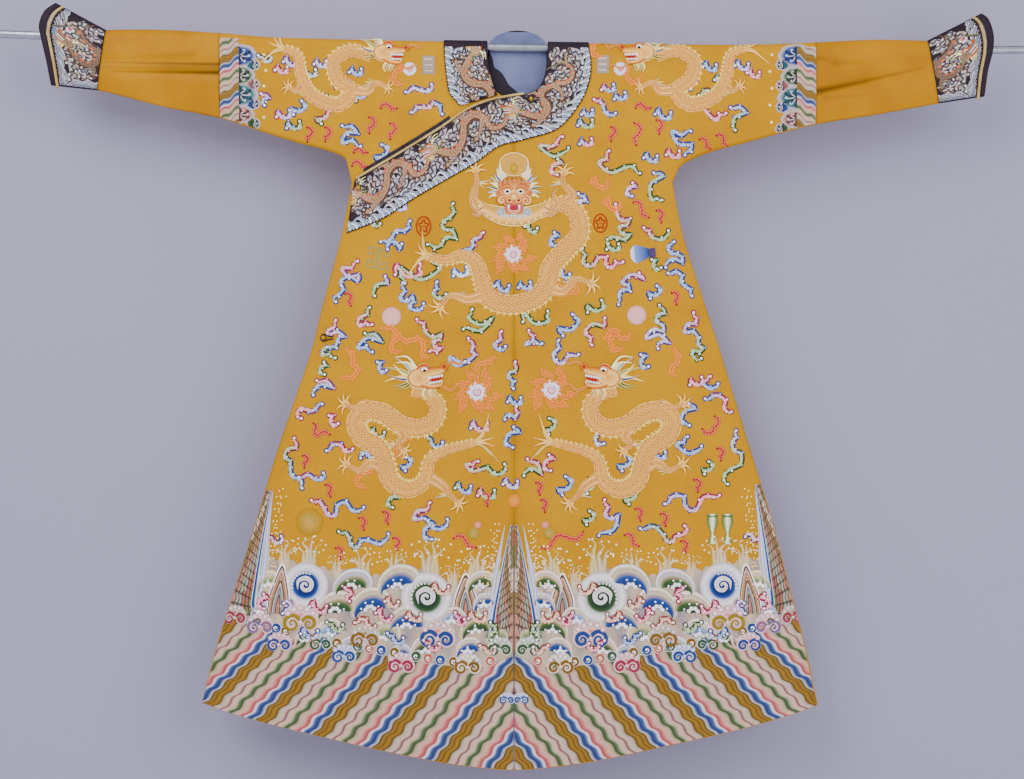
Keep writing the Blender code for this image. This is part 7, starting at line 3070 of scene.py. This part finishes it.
@dataclass
class DragonGround:
    """Everything on the yellow ground between the neck and the sea, on one face."""

    face: Face

    def clouds(self, pen: Pen) -> None:
        """Sews the clouds.

        Args:
            pen: the pen that sews it.
        """
        self._both(pen, CLOUDS_LEFT, CLOUDS_RIGHT)
        for cloud in CLOUDS_MIDDLE:
            cloud.draw(pen)

    def bats(self, pen: Pen) -> None:
        """Sews the bats, which are red scrolls, and the flames, which are orange ones."""
        self._both(pen, BATS_LEFT, BATS_RIGHT)
        self._both(pen, FLAMES_LEFT, FLAMES_RIGHT)

    def _both(self, pen: Pen, left: Iterable, right: Iterable) -> None:
        """Sews both halves; the back has the left half's plan on both sides.

        Args:
            pen: the pen that sews it.
            left: motifs of the left half.
            right: those of the right.
        """
        for motif in left:
            motif.draw(pen)
        if self.face is Face.FRONT:
            for motif in right:
                motif.draw(pen)
            return
        other = self.other_half(pen)
        for motif in left:
            motif.draw(other)

    @staticmethod
    def other_half(pen: Pen) -> Pen:
        """A pen for the right half that takes the left half's chart squares."""
        return pen.moved((2.0 * CHART_CENTRE, 0.0), mirror=True)

    def dragons(self, pen: Pen) -> None:
        """Sews the great dragon, the two striding ones and those of the shoulders.

        Args:
            pen: the pen that sews it.
        """
        MAIN_DRAGON.draw(pen)
        for half in (pen, self.other_half(pen)):
            SIDE_DRAGON.draw(half)
            SHOULDER_DRAGON.draw(half)

    def charms(self, pen: Pen) -> None:
        """Sews the pearls and the small symbols.

        Args:
            pen: the pen that sews it.
        """
        for pearl in (Pearl(513, 255, 9.0), Pearl(477, 392, 9.6), Pearl(551, 390, 9.6),
                      Pearl(410, 70, 6.5, False), Pearl(620, 70, 6.5, False)):
            pearl.draw(pen)
        Charms.medallion(pen.moved((424, 227)), 14.0, 19.0, Silk.CINNABAR)
        Charms.medallion(pen.moved((600, 224)), 13.0, 18.0, Silk.CINNABAR)
        Charms.tile(pen.moved((428.8, 66)), 12.0, 18.0)
        Charms.tile(pen.moved((602.4, 65.4)), 12.0, 18.0)
        Charms.fret(pen.moved((379, 259), 8.0), 20.0, Silk.GREEN)
        Charms.axe(pen.moved((643, 254), -6.0))
        pink = silk(226, 170, 170)
        Charms.disc(pen.moved((392, 317)), 9.5, pink, False)
        Charms.disc(pen.moved((636, 315.5)), 9.5, pink, False)
        Charms.disc(pen.moved((311, 521)), 13.5, silk(190, 146, 36), True)
        for x in (711, 726):
            Charms.cup(pen.moved((x, 528)), 30.0)
        for x, way in ((474, 1), (549, -1)):
            Charms.disc(pen.moved((x, 532)), 6.5, silk(190, 148, 44), True)
            Charms.disc(pen.moved((x + 4.0 * way, 524)), 3.6, silk(222, 140, 134), False)
        Charms.disc(pen.moved((514, 500)), 7.0, silk(224, 142, 70), False)
        for half in (pen, self.other_half(pen)):
            Sea.cloud_head(half.moved((507, 696), lift=0.0016, scale=0.62), Silk.BLUE_LIGHT,
                           Silk.BLUE)


@dataclass
class SleeveWater:
    """Slanting stripes and a row of waves on the yellow sleeve next to the satin."""

    CRESTS = (Silk.BLUE, Silk.GREEN, silk(64, 118, 128), silk(182, 120, 112))
    depth: float = 19.0
    slant: float = 0.62
    repeat: float = 36.0

    @staticmethod
    def crest(pen: Pen, wide: float, tall: float, dye: Colour) -> None:
        """Sews a wave that rises away from the seam: a pale dome with foam claws in it.

        Args:
            pen: the pen that sews it.
            wide: half its width, in squares.
            tall: half its height, in squares.
            dye: its silk.
        """
        dark, pale = shade(dye, 0.55, Silk.INK), silk(190, 180, 178)
        pen.disc((0.0, 0.0), (wide, tall), (
            (1.0, shade(dye, 0.35, Silk.BEIGE)), (0.95, pale), (0.84, silk(178, 168, 176)),
            (0.78, shade(dye, 0.45, pale)), (0.66, dye), (0.34, dark)),
                 sides=22, lobes=7, lobe=0.04)
        for i in range(7):
            turn = math.radians(-90.0 + 30.0 * i)
            across, up = math.cos(turn), math.sin(turn)
            far = 0.7 - 0.12 * (i % 2)
            hook = [(wide * share * across - 1.6 * bend * up, tall * share * up + 1.2 * bend)
                    for share, bend in ((0.10, 0.0), (0.36, 0.5), (far, 0.0), (far - 0.12, -0.9))]
            pen.ribbon(hook, 1.5, plain(silk(196, 190, 188) if i % 2 else Silk.INK), spacing=2.0,
                       lift=0.0003)

    def draw(self, pen: Pen, side: int) -> None:
        """Sews the stripes, then the waves along their inner edge.

        Args:
            pen: the pen that sews it.
            side: 1 for the half at +X, -1 for the other one.
        """
        water = StandingWater()
        seam = (FORM.seam_x[side] - SEAM_MARGIN) / CHART_SQUARE
        rows, columns = 18, 96
        patch = strip_patch(rows, columns)
        share, down = patch.first / rows, patch.second / columns
        reach = (seam - self.depth * share) * CHART_SQUARE
        top = FORM.rod_height(side * reach) + 0.004
        low = FORM.arm[side](reach) + 0.0015
        z = top + (low - top) * down
        away = -z / CHART_SQUARE + self.slant * self.depth * share
        phase = (away + 1.4 * np.sin(share * self.depth / 13.0 * math.tau)) / self.repeat
        colour = water.dyes(phase + 0.55)
        lift = np.full(len(z), pen.lift) + 0.0008 + 0.0004 * (0.5 + 0.5 * np.cos(phase * 25.1))
        pen.work.add(patch.turned(side < 0), joined(side * reach, z), lift, colour,
                     joined(reach, z))
        inner = seam - self.depth
        here = pen.moved((CHART_CENTRE, 0.0), mirror=side > 0)
        low = CHART_ROD - float(FORM.arm[side](inner * CHART_SQUARE)) / CHART_SQUARE
        rise = (low - 66.0) / 3.0
        for i, (wide, tall) in enumerate(((18.0, 12.0), (15.5, 10.5), (19.0, 13.0), (15.0, 9.0))):
            y = 57.0 + rise * i
            self.crest(here.moved((-inner + 14.0, y + 9.0), lift=-0.0002), 7.5, 6.0,
                       self.CRESTS[(i + 2) % 4])
            self.crest(here.moved((-inner + 1.0, y), lift=-0.0001), wide, tall, self.CRESTS[i])
        for i in range(5):
            y = 56.0 + i * (low - 62.0) / 4.0
            drop = here.moved((-inner + 25.0 + 2.0 * (i % 2), y))
            drop.disc((0, 0), 1.7, ((1.0, silk(206, 170, 96)), (0.7, Silk.CREAM),
                                    (0.0, silk(246, 234, 204))), sides=7)


# ------------------------------------------------------------------------------ dark bands

@dataclass(frozen=True)
class Cloudlet:
    """A small cloud of the dark bands: a scalloped pad with two dark curls on it."""

    DYES = (silk(132, 140, 130), silk(126, 134, 158), silk(146, 132, 150), silk(160, 138, 112),
            silk(168, 134, 118), silk(148, 150, 156))
    number: int
    dim: float = 0.0

    def draw(self, pen: Pen) -> None:
        """Sews the cloud, its silk by its number.

        Args:
            pen: the pen that sews it.
        """
        ink, base = silk(62, 50, 58), self.DYES[self.number % 6]
        dye = shade(base, self.dim, silk(84, 66, 60))
        pale = shade(dye, 0.4, silk(206, 200, 198))
        pen.disc((0.0, 0.0), (8.0, 4.6), ((1.0, ink), (0.80, ink), (0.72, pale), (0.0, dye)),
                 sides=14, lobes=5, lobe=0.16)
        pen.ribbon(((-6.0, 1.6), (-2.6, -2.2), (0.4, 1.0), (3.4, -1.6), (6.0, 1.8)), 1.5,
                   plain(ink), spacing=2.4, lift=0.0004)
        for x in (-3.0, 3.6):
            pen.disc((x, 1.2), 1.2, ((1.0, pale), (0.0, Silk.FOAM)), sides=6, lift=0.0005)


@dataclass
class WaveBorder:
    """Overlapping waves along an edge of a dark band, of three heights."""

    step: float = 6.0
    size: float = 11.0
    dim: float = 0.0

    SILKS = ((silk(200, 204, 214), silk(106, 122, 166)), (silk(190, 196, 196), silk(88, 106, 116)),
             (silk(204, 202, 214), silk(76, 84, 122)), (silk(186, 196, 208), silk(84, 104, 142)))

    def draw(self, pen: Pen, edge: Array, inward: float) -> None:
        """Sews the waves.

        Args:
            pen: the pen.
            edge: points of the edge, in squares.
            inward: 1 where the band lies on the right of the way along the edge, else -1.
        """
        line = smooth_line(edge, self.step)
        for i, (spot, way) in enumerate(zip(line, headings(line))):
            pale, dark = (shade(dye, self.dim, silk(96, 74, 66)) for dye in self.SILKS[i % 4])
            here = pen.moved((spot[0], spot[1]), bearing(way), lift=0.00006 * (i % 3))
            tall = self.size * inward * (0.72, 1.0, 0.84, 0.62, 0.95)[i % 5]
            reach = self.step
            here.ribbon(((-0.7 * reach, 0.04 * tall), (-0.35 * reach, 0.55 * tall),
                         (0.3 * reach, 0.95 * tall), (1.0 * reach, 0.86 * tall),
                         (1.1 * reach, 0.60 * tall)), (3.4, 3.2, 2.6, 1.8, 0.6),
                        rows_of((-1.0, pale), (-0.2, pale), (0.4, dark), (1.0, pale)),
                        spacing=2.6)
            here.ribbon(((-0.2 * reach, 0.02 * tall), (0.15 * reach, 0.38 * tall),
                         (0.7 * reach, 0.40 * tall)), (2.0, 1.7, 0.6),
                        bordered(dark, pale, 0.6), spacing=2.6, lift=0.0002)


BAND_GOLD, BAND_LIGHT, BAND_LINE = silk(178, 136, 108), silk(206, 170, 142), silk(76, 50, 46)
BAND_DRAGON = Dragon(
    body=((8, -2), (0, 4), (-9, 8), (-18, 2), (-22, -8), (-32, -11), (-42, -4), (-46, 6),
          (-56, 8), (-64, 0)),
    widths=(4.6, 6.4, 7.0, 6.6, 5.4, 4, 2), scale_pitch=2.9,
    legs=(Leg(((-8, 6), (-4, 12), (2, 14)), 0.5), Leg(((-24, -9), (-20, -15), (-14, -16)), 0.45),
          Leg(((-40, -5), (-36, 4), (-30, 8)), 0.45)),
    head=Head.PROFILE, head_at=(12, -5), head_scale=0.46, tail_length=9.0, back_side=-1,
    ground=BAND_GOLD, light=BAND_LIGHT, line=BAND_LINE, trim=silk(98, 70, 58), leg_width=0.5)
SMALL_DRAGON = Dragon(
    body=((9, 0), (2, 7), (-7, 8), (-12, 0), (-8, -9), (1, -13), (8, -19)),
    widths=(3.6, 4.8, 5, 4.8, 3.6, 2.2), scale_pitch=2.4,
    legs=(Leg(((-8, 5), (-13, 10), (-14, 15)), 0.45),
          Leg(((-6, -9), (-12, -13), (-13, -18)), 0.4)),
    head=Head.PROFILE, head_at=(10, -2), head_scale=0.42, head_turn=-20.0, tail_length=8.0,
    back_side=-1, ground=silk(134, 106, 88), light=silk(158, 136, 120), line=BAND_LINE,
    trim=silk(84, 62, 56), leg_width=0.45)


@dataclass
class BandWork:
    """Embroidery of a front band, on a chart that runs along it and out across it."""

    plan: BandPlan
    side: int
    dragons: tuple[tuple[float, int], ...]
    clouds: int
    pearls: tuple[float, ...] = ()
    wide: float = 46.0

    def __post_init__(self) -> None:
        """Measures the band along its middle, in squares."""
        self.shares = np.linspace(0.0, 1.0, 160)
        x, z = self.plan(self.shares, np.full(160, 0.5))
        run = np.hypot(np.diff(x), np.diff(z)) / CHART_SQUARE
        self.lengths = np.concatenate([[0.0], np.cumsum(run)])
        self.long = float(self.lengths[-1])

    def ground(self, surface: float) -> Ground:
        """The band as a ground; its chart bends with it and ends at its edges.

        Args:
            surface: how far above the cloth's middle its stitches start.

        Returns:
            The ground.
        """
        def place(x: Array, z: Array, lift: Array) -> Array:
            """Lays chart places on the band.

            Args:
                x: chart place to the right, in metres.
                z: chart place upwards, in metres.
                lift: distance out of the cloth's middle.

            Returns:
                One row of x, y and z for each point.
            """
            along = np.interp(x / CHART_SQUARE + CHART_CENTRE, self.lengths, self.shares)
            across = np.clip((CHART_ROD - z / CHART_SQUARE) / self.wide, 0.012, 0.988)
            x, z = self.plan(along, across)
            z = np.minimum(z, FORM.rod_height(x))
            return FORM.place(Face.FRONT, x, z, lift, np.where(x >= 0.0, 0, self.side))
        return Ground(place, surface, self.side > 0)

    def draw(self, pen: Pen) -> None:
        """Sews the band.

        Args:
            pen: the pen that sews it.
        """
        wide, long = self.wide, self.long
        WaveBorder().draw(pen, np.array([(0.0, wide * 0.98), (long, wide * 0.98)]), -1.0)
        for i in range(self.clouds):
            spot = (3.0 + (long - 6.0) * (i + 0.4) / self.clouds,
                    wide * (0.07 + 0.72 * ((STAGGER * i + 0.2) % 1.0)))
            Cloudlet(i).draw(pen.moved(spot, 67.0 * i, 0.9 + 0.2 * math.sin(1.3 * i),
                                       lift=0.00003 * (i % 5)))
        for along in self.pearls:
            Pearl(0, 0, 5.0, False).draw(pen.moved((along * long, wide * 0.42)))
        for along, way in self.dragons:
            BAND_DRAGON.draw(pen.moved((along * long, wide * 0.4), 0.0, 1.12, way < 0, 0.0006))


@dataclass
class CuffWork:
    """Embroidery of a hoof cuff, drawn on a chart of its own."""

    wide: float = 40.0
    tall: float = 62.0

    def ground(self, cuff: HoofCuff, face: Face) -> Ground:
        """The cuff as a ground: chart squares become shares out and down.

        Args:
            cuff: the cuff.
            face: the front or the back.

        Returns:
            The ground.
        """
        def place(x: Array, z: Array, lift: Array) -> Array:
            """Lays chart places on the cuff.

            Args:
                x: chart place to the right, in metres.
                z: chart place upwards, in metres.
                lift: distance out of the cloth's middle.

            Returns:
                One row of x, y and z for each point.
            """
            share = (x / CHART_SQUARE + CHART_CENTRE) / self.wide
            down = (CHART_ROD - z / CHART_SQUARE) / self.tall
            return cuff.place(face, np.clip(share, 0.012, 0.8), np.clip(down, 0.004, 0.985), lift)
        flip = (cuff.side < 0) != (face is Face.BACK)
        return Ground(place, FORM.wall / 2.0 + CLEARANCE, flip)

    def draw(self, pen: Pen) -> None:
        """Sews the cuff.

        Args:
            pen: the pen that sews it.
        """
        border = WaveBorder(6.5, 6.0, 0.42)
        border.draw(pen, np.array([(31.5, 1.0), (31.5, 20.0), (31.5, 40.0), (31.5, 61.0)]), 1.0)
        border.draw(pen, np.array([(31.0, 61.0), (20.0, 61.0), (10.0, 61.0), (1.0, 61.0)]), 1.0)
        for i in range(30):
            spot = (3.0 + 21.0 * ((STAGGER * i) % 1.0), 4.0 + 51.0 * (i + 0.5) / 30.0)
            Cloudlet(i, 0.3).draw(pen.moved(spot, 71.0 * i, 0.72, lift=0.00003 * (i % 5)))
        SMALL_DRAGON.draw(pen.moved((13, 31), -16.0, 0.95, lift=0.0004))
        Pearl(21, 14, 3.0, False).draw(pen)


# ------------------------------------------------------------------------------ studio

@dataclass
class Studio:
    """Camera, plain backdrop, plain floor and soft lights."""

    eye_x: float = -0.004
    eye_z: float = -0.683
    distance: float = 3.98
    lens: float = 70.0
    sensor: float = 36.0
    sheet_half: float = 4.0
    sheet_drop: float = 0.4
    air: tuple[float, float, float, float] = (0.86, 0.87, 0.92, 1.0)
    air_strength: float = 1.0
    wall_y: float = 0.16
    floor_z: float = -1.62
    aim: tuple[float, float, float] = (0.0, 0.0, -0.7)
    backdrop: Colour = silk(170, 168, 188)

    def build(self) -> None:
        """Builds the studio."""
        data = bpy.data.cameras.new("camera")
        data.lens = self.lens
        data.sensor_width = self.sensor
        camera = bpy.data.objects.new("camera", data)
        camera.location = (self.eye_x, -self.distance, self.eye_z)
        camera.rotation_euler = (math.radians(90.0), 0.0, 0.0)
        bpy.context.scene.collection.objects.link(camera)
        bpy.context.scene.camera = camera
        wall = Wall("backdrop_paint", roughness=0.9, colour=self.backdrop).make()
        self._sheet("backdrop", wall, TOWARDS_FRONT,
                    lambda spot: Vector((spot.x, self.wall_y, spot.y - self.sheet_drop)))
        pale = Cloth("floor_paint", roughness=0.9, colour=silk(214, 213, 222),
                     worn=silk(208, 207, 217), patch_size=1.2, pitch=30.0, contrast=0.01)
        self._sheet("floor", pale.make(), Vector((0.0, 0.0, 1.0)),
                    lambda spot: Vector((spot.x, spot.y, self.floor_z)))
        for name, spot, size, power in (("key", (-1.5, -3.0, 1.4), 2.4, 110.0),
                                        ("fill", (2.2, -3.2, 0.2), 2.6, 77.0),
                                        ("back_left", (-2.0, 3.2, 0.9), 2.2, 60.0),
                                        ("back_right", (2.0, 3.2, 0.2), 2.2, 52.0)):
            self._light(name, Vector(spot), size, power)
        world = bpy.data.worlds.new("studio_air")
        world.use_nodes = True
        sky = world.node_tree.nodes["Background"]
        sky.inputs["Color"].default_value = self.air
        sky.inputs["Strength"].default_value = self.air_strength
        bpy.context.scene.world = world

    def _sheet(self, name: str, finish: Material, outward: Vector,
               place: Callable[[Vector], Vector]) -> None:
        """Adds a large flat sheet of the studio.

        Args:
            name: the sheet's name.
            finish: its material.
            outward: the way that it looks.
            place: turns a point of a flat grid into its place.
        """
        shape = bmesh.new()
        bmesh.ops.create_grid(shape, x_segments=8, y_segments=8, size=self.sheet_half)
        for vert in shape.verts:
            vert.co = place(vert.co)
        shape.faces.ensure_lookup_table()
        shape.normal_update()
        if shape.faces[0].normal.dot(outward) < 0.0:
            bmesh.ops.reverse_faces(shape, faces=shape.faces)
        mesh = bpy.data.meshes.new(name)
        shape.to_mesh(mesh)
        shape.free()
        mesh.materials.append(finish)
        new_object(name, mesh)

    def _light(self, name: str, spot: Vector, size: float, power: float) -> None:
        """Adds a soft square light that looks at the middle of the robe.

        Args:
            name: the light's name.
            spot: where it stands.
            size: its width.
            power: its power.
        """
        data = bpy.data.lights.new(name, "AREA")
        data.size = size
        data.energy = power
        made = bpy.data.objects.new(name, data)
        made.location = spot
        made.rotation_euler = (Vector(self.aim) - spot).to_track_quat("-Z", "Y").to_euler()
        bpy.context.scene.collection.objects.link(made)


# ------------------------------------------------------------------------------ the robe

# Painted shade along the satin's creases: the fifth number is how dark the painted shade is, not a depth.
SATIN_CREASE_SHADE = Crease.each(
    (-0.590, -0.0350, -0.830, -0.0300, 0.66, 0.0080), (-0.590, -0.0430, -0.820, -0.0395, 0.40, 0.0190),
    (-0.590, -0.0512, -0.800, -0.0490, 0.80, 0.0086), (-0.640, -0.0140, -0.740, -0.0190, 0.18, 0.0120),
    (0.602, -0.0895, 0.812, -0.0425, 0.72, 0.0125), (0.640, -0.0320, 0.710, -0.0290, 0.20, 0.0140),
    (0.620, -0.1010, 0.710, -0.0960, 0.18, 0.0130), (0.606, -0.0210, 0.644, -0.0340, 0.30, 0.0080))


SIDES = ((1, "left"), (-1, "right"))


def halves(draw: Callable[[Pen, int], None]) -> Callable[[Pen], None]:
    """Makes what draws one half of the robe draw the half at -X and then the one at +X.

    Args:
        draw: draws one half, by pen and side.

    Returns:
        What draws both halves.
    """
    def both(pen: Pen) -> None:
        """Draws the two halves."""
        for side in (-1, 1):
            draw(pen, side)
    return both


@dataclass
class Robe:
    """The whole robe: shells, trims, buttons, rod and embroidery."""

    def __post_init__(self) -> None:
        """Makes the finishes."""
        self.yellow = Cloth("robe_silk", roughness=0.55, gloss=0.03, colour=silk(205, 154, 6),
                            worn=silk(199, 147, 5)).make()
        # the satin's colour carries painted shade along its creases
        self.satin = Cloth("plain_satin", roughness=0.38, gloss=0.05, colour=silk(200, 146, 6),
                           worn=silk(186, 130, 5), patch_size=9.0, contrast=0.03,
                           painted_crease_shade=SATIN_CREASE_SHADE).make()
        self.dark = Cloth("band_silk", roughness=0.6, colour=silk(42, 32, 42),
                          worn=silk(52, 40, 50), patch_size=20.0).make()
        self.lining = Cloth("lining_silk", roughness=0.65, colour=silk(112, 118, 156),
                            worn=silk(132, 138, 174), patch_size=14.0).make()
        self.piping = Cloth("piping_silk", roughness=0.55, colour=silk(204, 180, 130),
                            worn=silk(186, 158, 108), patch_size=30.0).make()
        self.stitched = StitchedSilk("stitched_silk", roughness=0.45).make()
        self.steel = Metal("rod_steel", roughness=0.32, metallic=1.0, colour=silk(186, 188, 196),
                           dull=silk(150, 152, 162)).make()
        self.gilt = Metal("gilt_brass", roughness=0.32, metallic=1.0, colour=silk(214, 180, 106),
                          dull=silk(150, 116, 58), grain=180.0).make()
        self.edging = Cloth("edging_silk", roughness=0.6, colour=silk(30, 26, 40),
                            worn=silk(60, 56, 66), patch_size=160.0).make()
        self.cord = Cloth("loop_cord", roughness=0.7, colour=silk(48, 40, 56),
                          worn=silk(70, 58, 76), patch_size=60.0).make()

    def build(self) -> None:
        """Builds and dresses every piece."""
        self.shells()
        self.metal()
        for face in Face:
            self.embroider(face)
        self.band_work()

    def keep(self, piece: Object, slot: str) -> None:
        """Puts a piece on the robe's one body."""
        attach(piece, "root")

    def shells(self) -> None:
        """Builds the silk shells in place of the solids."""
        for side, word in SIDES:
            body = BodySilk(side).build(f"silk_length_{word}", self.yellow, self.lining)
            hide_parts(f"body_{word}")
            self.keep(body, "dragon_silk")
            satin = SatinSleeve(side).build(f"satin_length_{word}", self.satin, self.lining)
            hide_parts(f"satin_sleeve_{word}")
            self.keep(satin, "plain_satin")
            LOG.info("built the %s length and its satin", word)
        front = OuterFront().build("silk_outer_front", self.yellow, self.lining)
        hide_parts("front_overlap")
        self.keep(front, "dragon_silk")
        self.trims()

    def trims(self) -> None:
        """Builds the cuffs, the band and the lining that shows in the neck."""
        for side, word in SIDES:
            cuff = HoofCuff(side).build(f"cuff_{word}", self.dark, self.lining)
            for piece, node, slot, flat in zip(
                    cuff, (f"cuff_{word}", f"cuff_{word}_edging"),
                    ("dark_silk", "edging_silk"), ((0.074, 0.28), (0.012, 0.33))):
                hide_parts(node)
                self.keep(piece, slot)
        band = CollarBand().build(self.dark)
        for piece, node, flat, area in zip(
                band, ("collar_band_front", "collar_band_shoulder", "collar_band_back"),
                ((0.56, 0.096), (0.150, 0.095), (0.29, 0.087)), (0.051, 0.0130, 0.0148)):
            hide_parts(node)
            self.keep(piece, "dark_silk")
        lining = NeckLining().build(self.lining)
        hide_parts("neck_lining")
        self.keep(lining, "lining")
        LOG.info("built the cuffs, the band and the lining")

    def metal(self) -> None:
        """Dresses the rod, the pipings and the buttons, which keep their solids."""
        nodes = bpy.data.objects
        nodes["rod"].material_slots[0].material = self.steel
        for place in ("neck", "underarm", "side"):
            nodes[f"ball_button_{place}"].material_slots[0].material = self.gilt
            nodes[f"button_loop_{place}"].material_slots[0].material = self.cord
        for name in ("band_piping", "cuff_left_piping", "cuff_right_piping"):
            nodes[name].material_slots[0].material = self.piping
        nodes["band_edging"].material_slots[0].material = self.edging

    def embroider(self, face: Face) -> None:
        """Sews the embroidery of one face.

        Args:
            face: the front or the back.
        """
        ground = Ground(lambda x, z, lift: FORM.place(face, *FORM.kept(x, z), lift),
                        FORM.wall / 2.0 + CLEARANCE, face is Face.BACK)
        yellow = DragonGround(face)
        for part, lift, drawing in (
                ("hem", 0.0, halves(StandingWater().draw)), ("sea", 0.0002, halves(Sea().draw)),
                ("mountains", 0.0009, halves(Mountain().draw)), ("clouds", 0.0, yellow.clouds),
                ("bats", 0.0001, yellow.bats), ("charms", 0.0003, yellow.charms),
                ("dragons", 0.0005, yellow.dragons),
                ("sleeve_water", 0.0, halves(SleeveWater().draw))):
            self.sew(part, face, ground, lift, drawing)
        for side, word in SIDES:
            work = CuffWork()
            self.sew(f"cuff_{word}", face, work.ground(HoofCuff(side), face), 0.0, work.draw,
                     "dark_silk")

    def band_work(self) -> None:
        """Sews the embroidery of the collar band."""
        band = CollarBand()
        surface = band.lift + band.wall / 2.0 + CLEARANCE
        for part, work in (("band", BandWork(FRONT_BAND, 1, ((0.30, 1), (0.62, 1), (0.93, 1)), 150,
                                             (0.37, 0.69))),
                           ("band_shoulder", BandWork(SHOULDER_BAND, -1, ((0.30, -1),), 34))):
            self.sew(part, Face.FRONT, work.ground(surface), 0.0, work.draw, "dark_silk")
        lining = NeckLining()
        # a plain dark strip on the lining that widens downwards beside the neck opening
        self.sew("facing", Face.FRONT, lining.ground(), 0.0, lining.facing, "lining")
        nape = Ground(lambda x, z, lift: band.stand(
            x, np.clip(z, band.nape_low(x) + 0.001, band.nape_top(x) - 0.001), lift), surface, True)
        self.sew("band_nape", Face.BACK, nape, 0.0, self.nape_work, "dark_silk")

    @staticmethod
    def nape_work(pen: Pen) -> None:
        """Sews a pearl between two dragons, clouds and waves on the band behind the neck.

        Args:
            pen: the pen that sews it.
        """
        low = CollarBand().nape_low
        x = np.linspace(-0.132, 0.141, 40)
        edge = joined(CHART_CENTRE + x / CHART_SQUARE, CHART_ROD - low(x) / CHART_SQUARE)
        WaveBorder().draw(pen, edge[::3], -1.0)
        Pearl(517.5, 52.0, 6.0).draw(pen)
        for side, centre in ((1, 496.0), (-1, 539.0)):
            here = pen.moved((centre, 50.0), 0.0, 0.62, mirror=side < 0, lift=0.0002)
            BAND_DRAGON.draw(here)
        for i in range(44):
            x = 456.0 + 2.8 * i
            y = 44.0 + 22.0 * ((STAGGER * i) % 1.0) * (1.0 - abs(x - 517.0) / 90.0)
            Cloudlet(i).draw(pen.moved((x, y), 40.0 * i, 0.8, lift=0.00003 * (i % 5)))

    def sew(self, part: str, face: Face, ground: Ground, lift: float,
            drawing: Callable[[Pen], object], slot: str = "dragon_silk") -> None:
        """Sews one family of motifs as one piece.

        Args:
            part: the family's name.
            face: the face that it lies on.
            ground: the cloth under it.
            lift: how far above the cloth its stitches start.
            drawing: what is sewn with the pen.
            slot: the colour slot of the silk that it lies on.
        """
        work = Needlework(f"stitched_{part}_{face.value}", ground, self.stitched)
        drawing(Pen(work, lift=lift))
        self.keep(work.sew(), slot)


def main() -> None:
    """Builds the robe round the frame."""
    logging.basicConfig(level=logging.INFO, format="%(name)s: %(message)s")
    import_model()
    Studio().build()
    Robe().build()


if __name__ == "__main__":
    main()
